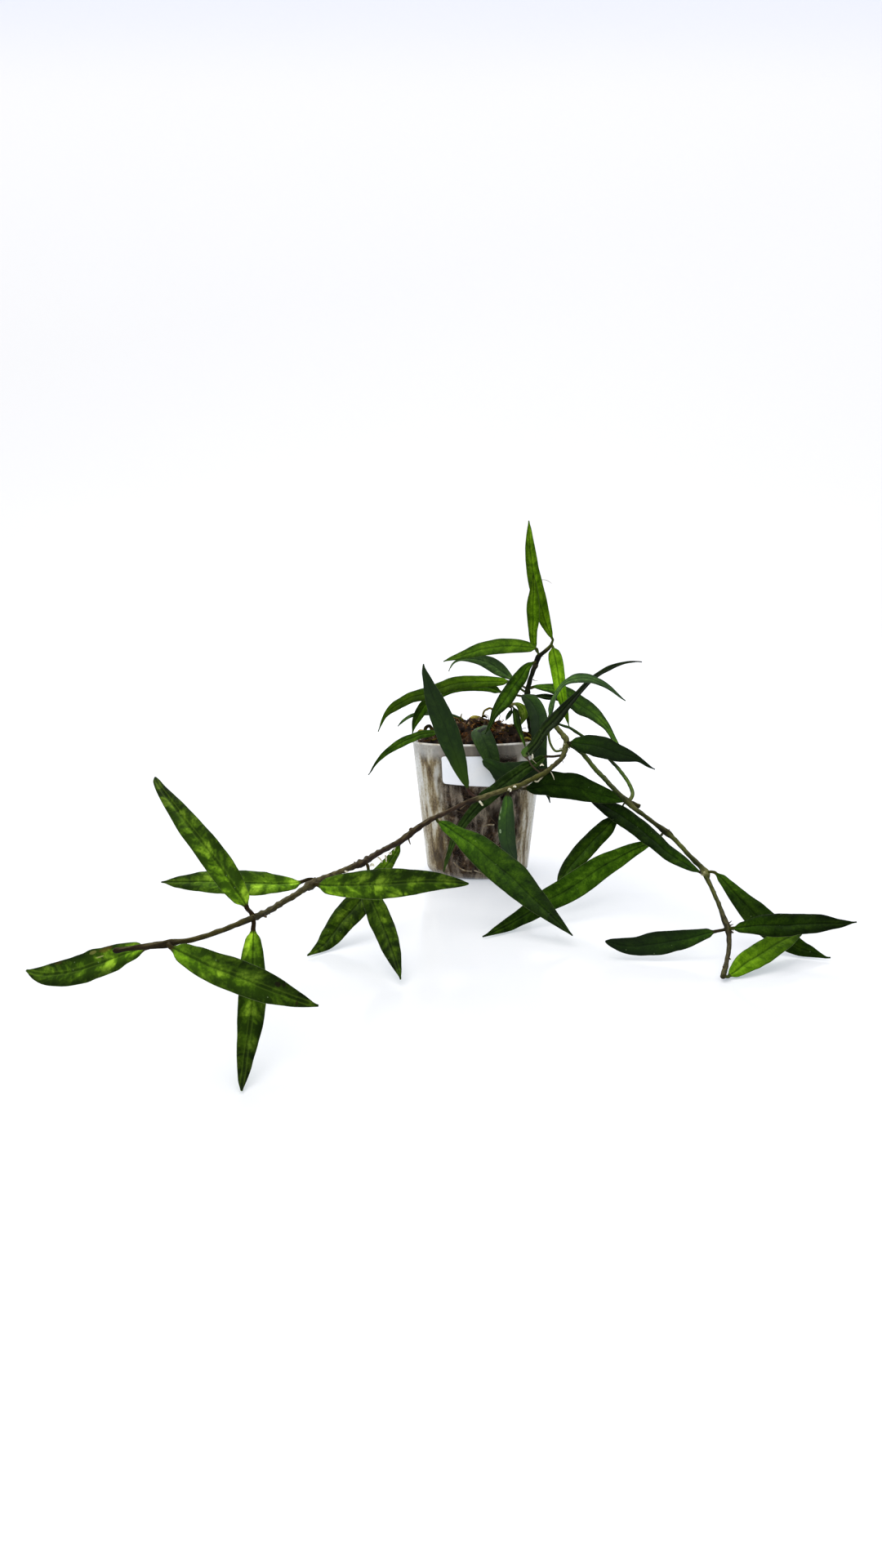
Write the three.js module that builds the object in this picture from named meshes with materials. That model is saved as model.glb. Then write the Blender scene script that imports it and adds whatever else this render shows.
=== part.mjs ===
// Hoya pauciflora in a clear plastic nursery pot: a climbing plant with narrow
// fleshy leaves on two long trailing vines and one upright shoot.
// Millimetres, +Z up. The origin is the centre of the pot's underside, on the
// surface that the pot stands on; +Y points to the back of the plant, and the
// vines trail forward (-Y) to the left and to the right.
import * as THREE from "three";

// ---- driving dimensions (mm)
const POT_TOP_RADIUS = 33.5;
const POT_BOTTOM_RADIUS = 25.85;
const POT_HEIGHT = 67.5;
const POT_WALL = 0.9;
const POT_FLOOR = 1.2;
const POT_EDGE_ROUNDING = 3;
const POT_SEGMENTS = 48;
const RIM_LIP = 0.45; // thickened bead at the rim
const MEDIUM_GAP = 0.3; // between the medium and the wall
const MEDIUM_TOP = [[0, 77.5], [7, 77.4], [14, 77], [20, 74.8], [25, 71.5], [29, 69], [31.7, 66.4]];
const MEDIUM_SEGMENTS = 40;
const MEDIUM_LUMP = 0.6;
const LABEL_THICKNESS = 0.3;
const LABEL_GAP = 0.3;
const LABEL_CORNER = 1.8;
const LABEL_LEFT = { top: [-33.8, 61.9], bottom: [-31.6, 48.4] }; // degrees round from the front, height
const LABEL_RIGHT = { top: [13, 62.9], bottom: [14.2, 47.4] };
const LEAF_THICKNESS = 0.8;
const STEM_SIDES = 7;
const LEAST_HEIGHT = 0.15; // nothing of the plant is lower than this over the surface

const TONES = {
  bright: { color: 0x6f8f2e, roughness: 0.5 },
  mid: { color: 0x4f6e2a, roughness: 0.48 },
  dark: { color: 0x2f4a26, roughness: 0.45 },
  blue: { color: 0x2c4235, roughness: 0.45 },
  mottled: { color: 0x587a30, roughness: 0.46 },
  olive: { color: 0x6b6e33, roughness: 0.5 },
};

// Each leaf: rows from base to tip, [x, y, z] of the midrib's line and [x, y, z]
// of the half-width vector; the stalk's points come before the first row.
const LEAVES = [
  { name: "leaf_top_tall", tone: "bright", stalkRadius: 0.6, fold: 0.14,
    stalk: [[36.88,1.85,117.09]],
    rows: [
      [37.38,2,119.05,-0.5,0.23,-0.24],
      [35.47,2.07,123.01,-1.54,0.71,-0.68],
      [32.85,2.45,129.6,-2.85,1.27,-1.04],
      [30.44,3.38,138.32,-3.42,1.49,-1.03],
      [28.16,5,148.12,-3.3,1.41,-0.84],
      [26.44,7.25,158.06,-2.95,1.23,-0.59],
      [25.57,9.81,167.15,-2.2,0.9,-0.32],
      [25.41,12.22,174.44,-1.15,0.47,-0.14],
      [25.28,14,179.24,-0.28,0.11,-0.05],
    ] },
  { name: "leaf_top_second", tone: "bright", stalkRadius: 0.5, fold: 0.14,
    stalk: [[30.3,2.07,111.76]],
    rows: [
      [29.04,3.6,113.72,-0.46,0.18,-0.08],
      [27.94,1.92,116.32,-1.31,0.54,-0.27],
      [27.08,-0.31,120.85,-2,0.82,-0.19],
      [26.85,-2.61,126.57,-2.65,1.15,-0.06],
      [26.49,-4.5,132.88,-3.17,1.44,0],
      [26.49,-5.71,139.15,-2.69,1.25,0.02],
      [26.57,-6.2,144.71,-1.69,0.8,-0.05],
      [26.37,-6.2,149.11,-0.75,0.36,-0.04],
      [26.29,-6,152.02,-0.27,0.13,-0.02],
    ] },
  { name: "leaf_top_left", tone: "bright", stalkRadius: 0.5, fold: 0.14,
    stalk: [[29.99,-0.05,111.85]],
    rows: [
      [29.01,-1.4,114.45,-0.05,-0.12,-0.48],
      [26.1,-2.83,115.09,-0.25,-0.55,-2.22],
      [20.35,-4.58,115.72,-0.14,-0.84,-3.3],
      [13.06,-6.13,115.85,0.16,-0.97,-3.75],
      [5.11,-7,114.92,0.45,-0.95,-3.57],
      [-2.61,-6.97,113.15,0.56,-0.81,-2.93],
      [-9.33,-6.18,110.9,0.4,-0.53,-1.87],
      [-14.72,-5.02,109.21,0.23,-0.26,-0.93],
      [-18.18,-4,107.86,0.08,-0.08,-0.28],
    ] },
  { name: "leaf_back_upper", tone: "blue", stalkRadius: 0.6, fold: 0.14,
    stalk: [[24.32,3.36,94.16], [21.99,7.5,95.55]],
    rows: [
      [19.25,11,97.49,-0.41,-0.13,-0.42],
      [16.98,12.94,99.18,-0.74,-0.41,-1.02],
      [13.35,15.57,101.71,-1.63,-0.95,-2.35],
      [8.59,18.43,105.19,-1.83,-1.3,-3.22],
      [2.48,21,107.81,-0.92,-1.11,-2.81],
      [-4.15,22.95,108.76,-0.15,-0.74,-1.87],
      [-10.14,24.17,107.97,0.2,-0.32,-0.74],
      [-13.88,24.77,104.92,0.28,-0.17,-0.31],
      [-15.28,25,101.97,0.24,-0.13,-0.12],
    ] },
  { name: "leaf_front_droop", tone: "mid", stalkRadius: 0.6, fold: 0.14,
    stalk: [[28.53,-0.29,107.62]],
    rows: [
      [27.74,-2,107.56,0.34,-0.12,-0.48],
      [24.98,-4.21,106.11,1.02,-0.28,-1.31],
      [21.8,-7.7,102.24,2.41,-0.59,-2.03],
      [17.72,-12.4,97.12,2.89,-0.7,-2.15],
      [13.53,-18,91.32,3.14,-0.79,-2.16],
      [9.02,-24.02,85.99,2.37,-0.6,-1.48],
      [5.67,-29.8,81.05,1.14,-0.25,-0.66],
      [3.41,-34.65,76.87,0.69,-0.15,-0.37],
      [1.76,-38,74.3,0.27,-0.04,-0.13],
    ] },
  { name: "leaf_bright_hanging", tone: "bright", stalkRadius: 0.6, fold: 0.14,
    stalk: [[37.21,0.78,115.65]],
    rows: [
      [37.32,0,115.24,0.54,-0.18,0.19],
      [37.41,-1.65,113.41,2.37,-0.93,0.65],
      [38.34,-3.95,108.77,3.33,-1.39,0.94],
      [39.32,-6.53,102.76,3.16,-1.37,0.84],
      [40.15,-9,96.06,2.84,-1.26,0.78],
      [41.42,-11.05,89.47,2.23,-1,0.67],
      [42.82,-12.54,83.61,1.45,-0.65,0.45],
      [43.94,-13.49,78.96,0.66,-0.3,0.21],
      [44.74,-14,75.9,0.26,-0.12,0.09],
    ] },
  { name: "leaf_left_arc", tone: "bright", stalkRadius: 0.6, fold: 0.14,
    stalk: [[22.99,2.33,92.87], [20.03,3.6,95.1]],
    rows: [
      [15.96,6,97.48,-0.02,-0.3,-0.52],
      [10.59,6.4,97.48,0.04,-1.27,-2.19],
      [1.55,7.04,97.36,0.24,-1.75,-3.02],
      [-9.86,7.92,96.65,0.71,-1.98,-3.37],
      [-21.94,9,92.75,1.03,-1.82,-3.01],
      [-34.22,10.18,89.18,1.27,-1.61,-2.54],
      [-44.35,11.34,83.56,1.49,-1.29,-1.75],
      [-50.02,12.32,76.44,0.63,-0.43,-0.44],
      [-52.33,13,70.66,0.23,-0.15,-0.11],
    ] },
  { name: "leaf_left_under", tone: "mid", stalkRadius: 0.6, fold: 0.14,
    stalk: [[23.73,3.25,89.84], [19.17,8.5,90.43]],
    rows: [
      [12.53,11,91.54,-0.25,-0.27,-0.47],
      [8.67,11.99,93.05,-0.59,-1.07,-1.87],
      [1.88,13.44,94.6,-0.3,-1.38,-2.49],
      [-7,15.17,94.6,0.32,-1.4,-2.54],
      [-16.55,17,91.98,0.91,-1.24,-2.09],
      [-25.14,18.72,86.87,1.68,-1.4,-1.97],
      [-30.85,20.19,79.83,2.26,-1.48,-1.55],
      [-33.7,21.29,73.26,1.16,-0.68,-0.49],
      [-34.56,22,68.59,0.25,-0.15,-0.07],
    ] },
  { name: "leaf_left_thin", tone: "blue", stalkRadius: 0.75, fold: 0.14,
    stalk: [[-1.2,25.4,72.1]],
    rows: [
      [-3.49,27,72.86,-0.29,-0.46,-0.52],
      [-6.23,27.5,73.93,-0.43,-0.87,-1],
      [-10.3,28.13,76.75,-0.36,-0.95,-1.14],
      [-16.33,28.68,78.58,-0.13,-0.95,-1.18],
      [-23.28,29,79.41,0.08,-1,-1.25],
      [-30.28,29.01,79.06,0.29,-0.89,-1.08],
      [-36.35,28.74,77.5,0.44,-0.68,-0.76],
      [-40.41,28.35,74.58,0.45,-0.5,-0.47],
      [-42.64,28,72.2,0.19,-0.18,-0.15],
    ] },
  { name: "leaf_left_lower", tone: "mid", stalkRadius: 0.75, fold: 0.14,
    stalk: [[-18,-14.4,73.55]],
    rows: [
      [-20.1,-16,73.19,0.02,-0.45,-0.6],
      [-23.01,-15.55,72.77,0.16,-1.08,-1.39],
      [-28.06,-14.92,72.15,0.4,-1.44,-1.82],
      [-34.09,-14.2,69.95,0.73,-1.59,-1.94],
      [-40.57,-13.5,66.87,0.94,-1.54,-1.79],
      [-46.51,-12.91,62.8,0.85,-1.1,-1.16],
      [-51.12,-12.46,58.24,0.55,-0.61,-0.57],
      [-54.01,-12.17,53.9,0.32,-0.32,-0.27],
      [-55.89,-12,51.01,0.19,-0.18,-0.14],
    ] },
  { name: "leaf_vine_upright", tone: "dark", stalkRadius: 0.75, fold: 0.14,
    stalk: [[-2.81,-68.28,48.42], [-5.08,-66,49.21]],
    rows: [
      [-6.81,-65,51.24,-0.68,0.25,-0.19],
      [-8.33,-65.81,55.57,-1.7,0.66,-0.59],
      [-10.81,-66.57,62.28,-3.23,1.27,-1.2],
      [-13.95,-66.77,70.69,-4.42,1.76,-1.69],
      [-17.34,-66,80,-4.96,1.97,-2.04],
      [-21.23,-64.19,89.03,-4.31,1.67,-1.82],
      [-24.47,-61.66,97.07,-2.75,1,-1.03],
      [-26.63,-59.04,103.63,-1.41,0.48,-0.39],
      [-27.38,-57,108.03,-0.27,0.09,-0.09],
    ] },
  { name: "leaf_mid_hanging", tone: "dark", stalkRadius: 0.6, fold: 0.14,
    stalk: [[24.03,0.38,90.34]],
    rows: [
      [22.24,-4,90.81,0.42,0.04,0.43],
      [24.02,-8.89,89.56,2.35,-0.48,1.97],
      [27.58,-15.15,84.7,3.61,-1.18,2.51],
      [28.85,-21.18,76.88,3.83,-1.48,1.86],
      [28.97,-25.5,67.85,3.38,-1.27,1.31],
      [29.78,-27.32,58.68,2.71,-0.87,0.99],
      [31.33,-26.81,50.24,1.92,-0.52,0.73],
      [33.44,-24.95,43.48,1,-0.25,0.38],
      [34.9,-23,38.89,0.29,-0.05,0.07],
    ] },
  { name: "leaf_right_arch", tone: "mid", stalkRadius: 0.75, fold: 0.14,
    stalk: [[26.09,3.31,94.14]],
    rows: [
      [27.25,4.5,94.45,-0.13,0.34,0.66],
      [31.87,5.8,94.68,0,0.84,1.5],
      [39.19,6.71,93.69,0.75,1.56,2.66],
      [47.31,6.05,89.6,2.21,2.29,3.61],
      [55.36,3,83.82,2.96,2.23,3.39],
      [62.52,-2.51,77.94,1.96,1.1,1.69],
      [66.86,-9.56,71.25,1.15,0.5,0.79],
      [69.37,-16.61,65.68,0.86,0.32,0.41],
      [70.68,-22,62.13,0.29,0.02,0.08],
    ] },
  { name: "leaf_right_low", tone: "blue", stalkRadius: 0.75, fold: 0.14,
    stalk: [[25.56,3.31,90.77]],
    rows: [
      [28.11,6.5,90.15,-0.15,0.48,0.56],
      [31.11,7.68,89.97,-0.01,0.8,0.83],
      [35.74,9.13,89.55,0.09,1.43,1.44],
      [41.54,10.37,88.7,0.3,1.28,1.24],
      [47.51,11,86.18,0.6,1.38,1.24],
      [53.01,10.85,82.89,0.85,1.45,1.2],
      [57.61,10.05,79.57,0.79,1.15,0.9],
      [61.15,8.95,76.96,0.42,0.57,0.44],
      [63.51,8,75.35,0.18,0.2,0.14],
    ] },
  { name: "leaf_front_blue", tone: "blue", stalkRadius: 0.55, fold: 0.32,
    stalk: [[25.84,-60.65,58.9], [22.58,-57,61.78]],
    rows: [
      [20.9,-54,64.46,-0.52,0.15,-0.08],
      [20.89,-52.6,67.04,-3.07,0.99,-0.3],
      [26.61,-49.87,73.75,-2.48,0.89,-0.14],
      [33.98,-45.38,82.03,-3.01,0.87,0.76],
      [42.83,-39,91.05,-1.79,0.6,0.27],
      [52.42,-31.16,99.93,-1.23,0.41,0.43],
      [63.34,-22.86,105.84,-0.88,0.3,0.9],
      [73.54,-15.39,108.2,-0.29,0.13,0.49],
      [80.83,-10,108.15,-0.09,0.12,0.26],
    ] },
  { name: "leaf_right_curl", tone: "blue", stalkRadius: 0.6, fold: 0.2,
    stalk: [[39.05,-33.51,66.22], [36.14,-31.5,65.68], [34.21,-30.5,68.15], [33.08,-30.5,71.72], [32.79,-30.5,76.88]],
    rows: [
      [32.85,-31,82.06,-0.44,0.32,0.24],
      [33.31,-33.26,85.86,-1.16,0.86,0.59],
      [34.64,-36.16,91.75,-0.7,0.72,0.68],
      [38.25,-38.97,98.15,-0.36,0.75,0.93],
      [45.38,-41,101.29,-0.09,1.48,2.18],
      [53.3,-41.88,100.2,0.34,1.16,1.64],
      [59.95,-41.69,96.81,0.43,0.82,1.08],
      [64.7,-40.87,93.01,0.24,0.42,0.54],
      [68.01,-40,90.61,0.11,0.18,0.22],
    ] },
  { name: "leaf_pot_blue", tone: "dark", stalkRadius: 0.6, fold: 0.14,
    stalk: [[32.21,-50.8,60.24], [30.1,-46,58.52]],
    rows: [
      [29.05,-41,57.49,0.05,-0.1,-0.59],
      [27.47,-40.67,57.3,0,-0.31,-2.03],
      [24.27,-40.25,57.05,0.05,-0.64,-4.17],
      [19.62,-39.86,56.23,0.07,-0.82,-5.42],
      [14.21,-39.6,55.5,-0.62,-0.81,-5.64],
      [9.03,-39.53,56.61,-1.53,-0.7,-4.68],
      [5.28,-39.63,59.31,-0.93,-0.46,-2.74],
      [1.89,-39.82,61.09,-0.47,-0.31,-1.86],
      [0.44,-40,61.58,-0.09,-0.05,-0.28],
    ] },
  { name: "leaf_channelled", tone: "blue", stalkRadius: 0.6, fold: 0.3,
    stalk: [[37.41,-38.75,64.21], [34.54,-39.5,63.88]],
    rows: [
      [30.88,-41,63.96,0.3,-0.11,-0.51],
      [26.17,-43.77,61.79,0.95,-0.43,-1.82],
      [18.38,-47.29,57.59,1.65,-0.68,-2.49],
      [9.31,-50.65,51.33,2.06,-0.78,-2.55],
      [-0.17,-53,43.8,2.22,-0.77,-2.26],
      [-8.16,-53.88,34.6,1.67,-0.51,-1.24],
      [-13.6,-53.43,24.74,1.43,-0.4,-0.74],
      [-16.41,-52.22,15.94,0.92,-0.24,-0.33],
      [-17.78,-51,9.86,0.28,-0.08,-0.08],
    ] },
  { name: "leaf_pot_hanging", tone: "dark", stalkRadius: 0.6, fold: 0.14,
    stalk: [[11.59,-66.1,50.56]],
    rows: [
      [11.05,-66,50.13,0.56,-0.21,0],
      [11.14,-65.8,48.54,1.85,-0.72,0.17],
      [11.19,-65.32,44.52,2.49,-0.95,0.23],
      [10.85,-64.41,39.43,3.42,-1.26,0.31],
      [10.87,-63,33.55,3.68,-1.3,0.6],
      [11.44,-61.18,27.55,3.61,-1.25,0.99],
      [12.92,-59.18,22.27,2.82,-1,1.25],
      [15,-57.34,18.63,1.39,-0.52,0.82],
      [16.47,-56,16.58,0.26,-0.08,0.13],
    ] },
  { name: "leaf_young_narrow", tone: "mid", stalkRadius: 0.45, fold: 0.14,
    stalk: [[15.49,-7.69,85.96]],
    rows: [
      [16.96,-11,85.18,0.38,-0.05,0.24],
      [17.33,-12.65,84.27,1.11,-0.31,0.59],
      [17.94,-15.15,82.04,1.51,-0.48,0.71],
      [18.23,-18.36,79.11,1.74,-0.53,0.76],
      [18.99,-22,76.01,1.39,-0.38,0.63],
      [19.92,-25.72,73.03,0.97,-0.25,0.43],
      [20.78,-29.15,70.39,0.66,-0.16,0.26],
      [21.28,-31.93,68.28,0.33,-0.08,0.1],
      [21.42,-33.8,66.86,0.28,-0.05,0.1],
    ] },
  { name: "leaf_young_olive", tone: "olive", stalkRadius: 0.6, fold: 0.14,
    stalk: [[15.74,-6.37,86.32]],
    rows: [
      [17.19,-5.4,86.54,0.17,-0.31,0.49],
      [18.81,-4.46,86.58,0.48,-0.46,0.9],
      [20.32,-3.6,85.8,1.06,-0.42,1.12],
      [21.57,-2.96,84.54,1.76,-0.46,1.15],
      [22.49,-2.44,82.95,2.19,-0.44,0.74],
      [22.91,-1.98,81.17,2.35,-0.48,0.04],
      [22.71,-1.62,79.34,1.63,-0.67,-0.44],
      [22.14,-1.44,77.51,0.78,-0.68,-0.28],
      [21.52,-1.5,75.75,0.22,-0.19,-0.07],
    ] },
  { name: "leaf_young_back", tone: "dark", stalkRadius: 0.4, fold: 0.14,
    stalk: [[14.87,-5.87,85.34]],
    rows: [
      [16.5,-3.2,83.9,0.36,-0.17,-0.06],
      [16.49,-3.1,83.55,0.42,-0.19,-0.07],
      [16.34,-3.06,82.89,0.83,-0.4,-0.25],
      [15.85,-3.16,81.99,0.97,-0.5,-0.37],
      [15.23,-3.5,81.01,1.01,-0.51,-0.4],
      [14.58,-4.07,80.08,0.91,-0.43,-0.34],
      [14.08,-4.77,79.26,0.59,-0.25,-0.21],
      [13.66,-5.47,78.66,0.25,-0.1,-0.1],
      [13.37,-6,78.29,0.27,-0.09,-0.09],
    ] },
  { name: "leaf_rim_fold", tone: "blue", stalkRadius: 0.7, fold: 0.14,
    stalk: [[3,-15.2,78.35]],
    rows: [
      [1.75,-18,76.25,0.63,-0.21,0.23],
      [0.29,-22.47,76.14,3.14,-0.81,1.14],
      [-0.35,-27.15,75.55,4.3,-0.48,1.43],
      [0.03,-31.47,73.88,4.62,0.06,1.71],
      [1.5,-34.88,70.8,4.54,0.2,1.97],
      [3.31,-36.37,66.82,4.3,0.03,1.84],
      [5.1,-35.83,62.41,3.76,0,1.38],
      [6.55,-35.22,57.99,2.64,0.02,0.8],
      [7.81,-34.8,53.44,0.29,0,0.08],
    ] },
  { name: "leaf_right_broad", tone: "dark", stalkRadius: 0.6, fold: 0.14,
    stalk: [[16.73,-64.83,52.98]],
    rows: [
      [18.69,-60.5,51.24,-0.07,0.16,0.58],
      [22.09,-59.1,51.25,-0.14,0.57,1.96],
      [27.32,-57.37,52.23,-0.42,1.41,4.52],
      [34.46,-55.85,52.59,-0.03,1.97,5.96],
      [42.83,-55,51.7,0.82,2.02,5.96],
      [50.7,-55.04,49.21,1.03,1.6,4.74],
      [57.69,-55.83,47.34,0.82,1.09,3.31],
      [63,-56.98,45.92,0.5,0.56,1.7],
      [66.19,-58,44.93,0.11,0.08,0.27],
    ] },
  { name: "leaf_right_upper", tone: "dark", stalkRadius: 0.6, fold: 0.14,
    stalk: [[42.08,-33.01,70.06]],
    rows: [
      [42.63,-36,70.13,0.08,0.14,0.58],
      [44.58,-38.53,70.47,0.25,0.74,2.44],
      [48.92,-41.97,70.14,0.92,1.45,4.17],
      [54.78,-45.68,69.5,1.45,1.75,4.84],
      [61.07,-49,67.52,1.42,1.58,4.19],
      [67.44,-51.49,65.86,1.03,1.16,2.87],
      [73.03,-53.02,63.99,0.53,0.49,1.15],
      [77.17,-53.75,61.21,0.32,0.27,0.62],
      [80.11,-54,59.7,0.13,0.11,0.25],
    ] },
  { name: "leaf_right_long", tone: "dark", stalkRadius: 0.6, fold: 0.14,
    stalk: [[89.03,-115.17,24.74]],
    rows: [
      [88.76,-113,23.99,-0.39,-0.13,-0.44],
      [86.11,-107.72,24.76,-0.87,-0.51,-1.13],
      [82.09,-99.65,26.72,-1.77,-0.92,-2.08],
      [77.01,-89.29,29.87,-2.06,-0.99,-2.39],
      [71.49,-77.5,34.15,-2.66,-1.23,-3],
      [65.34,-65.39,38.34,-2.68,-1.33,-3.23],
      [59.03,-54.22,41.51,-2.14,-1.14,-2.77],
      [53.76,-45.14,43.92,-1.14,-0.65,-1.66],
      [50.23,-39,45.05,-0.18,-0.06,-0.23],
    ] },
  { name: "leaf_floor_long", tone: "mid", stalkRadius: 0.6, fold: 0.14,
    stalk: [[77.62,-92.39,37.3], [78.25,-86,35.83], [78.17,-79,32.67]],
    rows: [
      [77.13,-72,29.08,0.22,-0.19,-0.52],
      [70.43,-75.42,27.49,0.91,-0.76,-2.12],
      [60.49,-80.85,23.82,1.74,-1.28,-3.43],
      [48.37,-88.18,19.02,2.59,-1.72,-4.53],
      [35.75,-97,12.97,2.71,-1.8,-4.58],
      [22.84,-106.53,8.44,2.2,-1.5,-3.7],
      [11.93,-115.72,4.23,1.47,-0.99,-2.49],
      [3.5,-123.45,2.09,0.67,-0.51,-1.34],
      [-2.23,-128.8,1,0.13,-0.09,-0.25],
    ] },
  { name: "leaf_right_short", tone: "mid", stalkRadius: 0.42, fold: 0.14,
    stalk: [[65.99,-72.5,46.62], [64.77,-64,45.35], [65.16,-55.5,42.54]],
    rows: [
      [64.44,-51,40.72,0.39,-0.15,0.02],
      [63.89,-52.79,37.88,1.68,-0.83,-0.15],
      [59.34,-55.84,34.52,2.79,-1.35,-1.41],
      [53.79,-60.28,29.93,3.56,-1.64,-1.94],
      [47.48,-66,25.03,3.77,-1.7,-2.01],
      [41.38,-72.55,20.26,3.44,-1.49,-1.58],
      [36.32,-79.17,16.04,2.56,-1.02,-0.8],
      [33.41,-84.93,12.39,1.2,-0.41,-0.15],
      [32.31,-89,9.86,0.29,-0.07,-0.02],
    ] },
  { name: "leaf_end_back", tone: "mid", stalkRadius: 0.6, fold: 0.14,
    stalk: [[90.63,-118.62,25.71], [91.24,-119,25.81]],
    rows: [
      [92.62,-119.5,25.58,0.47,0.08,0.37],
      [94.83,-123.53,23.67,1.4,0.46,1.29],
      [98.08,-129.19,19.79,2.32,0.79,2.01],
      [102.41,-135.66,15.14,3.42,1.31,3.02],
      [107.68,-142,10.22,3.62,1.61,3.53],
      [113.54,-147.45,5.86,2.75,1.47,3.2],
      [119.26,-151.6,2.99,1.44,1,2.24],
      [124.2,-154.39,1.71,0.29,0.41,0.96],
      [127.8,-156,1.28,0.03,0.14,0.26],
    ] },
  { name: "leaf_end_right", tone: "mid", stalkRadius: 0.6, fold: 0.14,
    stalk: [[90.87,-152.67,11.45]],
    rows: [
      [91.44,-154,11.99,0.11,0.25,0.53],
      [93.15,-157.5,13.3,0.29,1.06,1.76],
      [96.98,-162.25,15.39,0.4,1.76,2.89],
      [102.08,-167.39,16.94,0.61,2.31,3.68],
      [107.98,-172,18.49,0.55,2.32,3.45],
      [114.08,-175.46,19.85,0.45,2.06,2.93],
      [119.74,-177.6,20.53,0.23,1.32,1.84],
      [124.39,-178.64,20.97,0.05,0.56,0.76],
      [127.58,-179,21.39,-0.01,0.18,0.24],
    ] },
  { name: "leaf_end_bright", tone: "bright", stalkRadius: 0.55, fold: 0.14,
    stalk: [[82.75,-179.45,1.35]],
    rows: [
      [83.18,-179,1.29,-0.35,0.27,0.32],
      [84.93,-177.18,1.79,-0.71,1.16,1.04],
      [88.55,-174.26,3.13,-1.48,2.26,1.84],
      [93.58,-170.3,4.91,-1.81,2.84,2.39],
      [99.73,-165.5,6.46,-1.86,3.02,2.7],
      [106.06,-160.29,8.04,-1.53,2.61,2.53],
      [112.14,-155.23,9.05,-1.09,2.02,2.11],
      [117.03,-150.96,9.55,-0.45,0.99,1.15],
      [120.25,-148,9.44,-0.13,0.15,0.22],
    ] },
  { name: "leaf_end_left", tone: "dark", stalkRadius: 0.6, fold: 0.14,
    stalk: [[89.04,-149.1,9.96], [88.37,-149,9.77]],
    rows: [
      [85.76,-149.5,9.42,0.16,-0.29,-0.5],
      [82.78,-150.59,9.11,0.28,-0.95,-1.57],
      [77.61,-151.95,8.18,0.39,-1.51,-2.43],
      [71.15,-153.2,7.13,0.38,-2.07,-3.28],
      [64.01,-154,6.17,0.25,-2.47,-3.86],
      [57,-154.17,5.21,-0.09,-2.14,-3.32],
      [50.74,-153.79,5.02,-0.44,-1.67,-2.59],
      [45.98,-153.12,5.84,-0.4,-0.94,-1.47],
      [43.29,-152.5,6.29,-0.08,-0.16,-0.24],
    ] },
  { name: "leaf_front_big", tone: "mid", stalkRadius: 0.6, fold: 0.14,
    stalk: [[-20.77,-87.3,40.97]],
    rows: [
      [-20.56,-88,40.73,0.34,0.18,0.46],
      [-16.07,-91.51,38.78,1.49,0.86,2.14],
      [-8.82,-96.91,34.79,2.73,1.44,3.38],
      [-0.32,-103.92,29.33,4.08,2.03,4.51],
      [8.74,-112,23.08,4.64,2.16,4.61],
      [16.77,-120.39,16.54,3.71,1.65,3.51],
      [23.77,-128.22,11.13,2.3,1.03,2.14],
      [29.11,-134.64,7.07,1.02,0.46,0.94],
      [32.58,-139,4.59,0.23,0.08,0.18],
    ] },
  { name: "leaf_vine_right", tone: "mottled", stalkRadius: 0.65, fold: 0.14,
    stalk: [[-62.4,-186.99,36.32]],
    rows: [
      [-61.59,-189,36.66,0.1,0.35,0.54],
      [-58.56,-189.66,36.52,0.24,1.55,2.29],
      [-52.38,-190.51,36.86,0.13,2.35,3.51],
      [-44.55,-191.36,37.36,0.05,2.94,4.39],
      [-35.84,-192,37.95,-0.01,3.01,4.48],
      [-27.23,-192.33,38.56,0.05,2.45,3.66],
      [-19.54,-192.36,38.65,0.14,1.7,2.53],
      [-13.48,-192.2,38.18,0.1,0.91,1.36],
      [-9.69,-192,37.84,0.01,0.17,0.25],
    ] },
  { name: "leaf_vine_back_left", tone: "mottled", stalkRadius: 0.6, fold: 0.14,
    stalk: [[-35.63,-104.63,35.86]],
    rows: [
      [-36.65,-104,33.91,0.56,-0.16,-0.14],
      [-38.36,-107.24,30.64,1.74,-0.66,-0.59],
      [-42.3,-112.31,25.72,2.61,-1.02,-1.26],
      [-47.29,-119.05,19.89,3.47,-1.34,-1.92],
      [-52.78,-127,13.88,4.32,-1.7,-2.64],
      [-58.49,-135.45,8.61,3.94,-1.51,-2.57],
      [-62.83,-143.5,3.85,2.8,-1.05,-2.1],
      [-66.46,-150.2,1.93,0.99,-0.48,-1.18],
      [-69.45,-154.8,0.97,0.18,-0.09,-0.22],
    ] },
  { name: "leaf_vine_back_right", tone: "mottled", stalkRadius: 0.6, fold: 0.14,
    stalk: [[-47.8,-141.52,33.44]],
    rows: [
      [-47.21,-143,32.82,0.56,-0.1,0.17],
      [-46.92,-145.89,30.14,1.5,-0.38,0.36],
      [-46.31,-150.37,26.03,3.19,-0.72,0.95],
      [-44.15,-156.21,21.06,3.73,-0.76,1.51],
      [-40.96,-163,15.99,3.87,-0.78,1.82],
      [-37.9,-170.1,11.19,3.49,-0.72,1.68],
      [-35.55,-176.76,7.12,2.39,-0.5,1.1],
      [-33.9,-182.25,4.12,1.09,-0.23,0.46],
      [-33.06,-186,2.24,0.27,-0.01,0.14],
    ] },
  { name: "leaf_vine_left", tone: "mottled", stalkRadius: 0.6, fold: 0.14,
    stalk: [[-63.78,-181.4,36.66], [-65.05,-182.5,36.9]],
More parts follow.
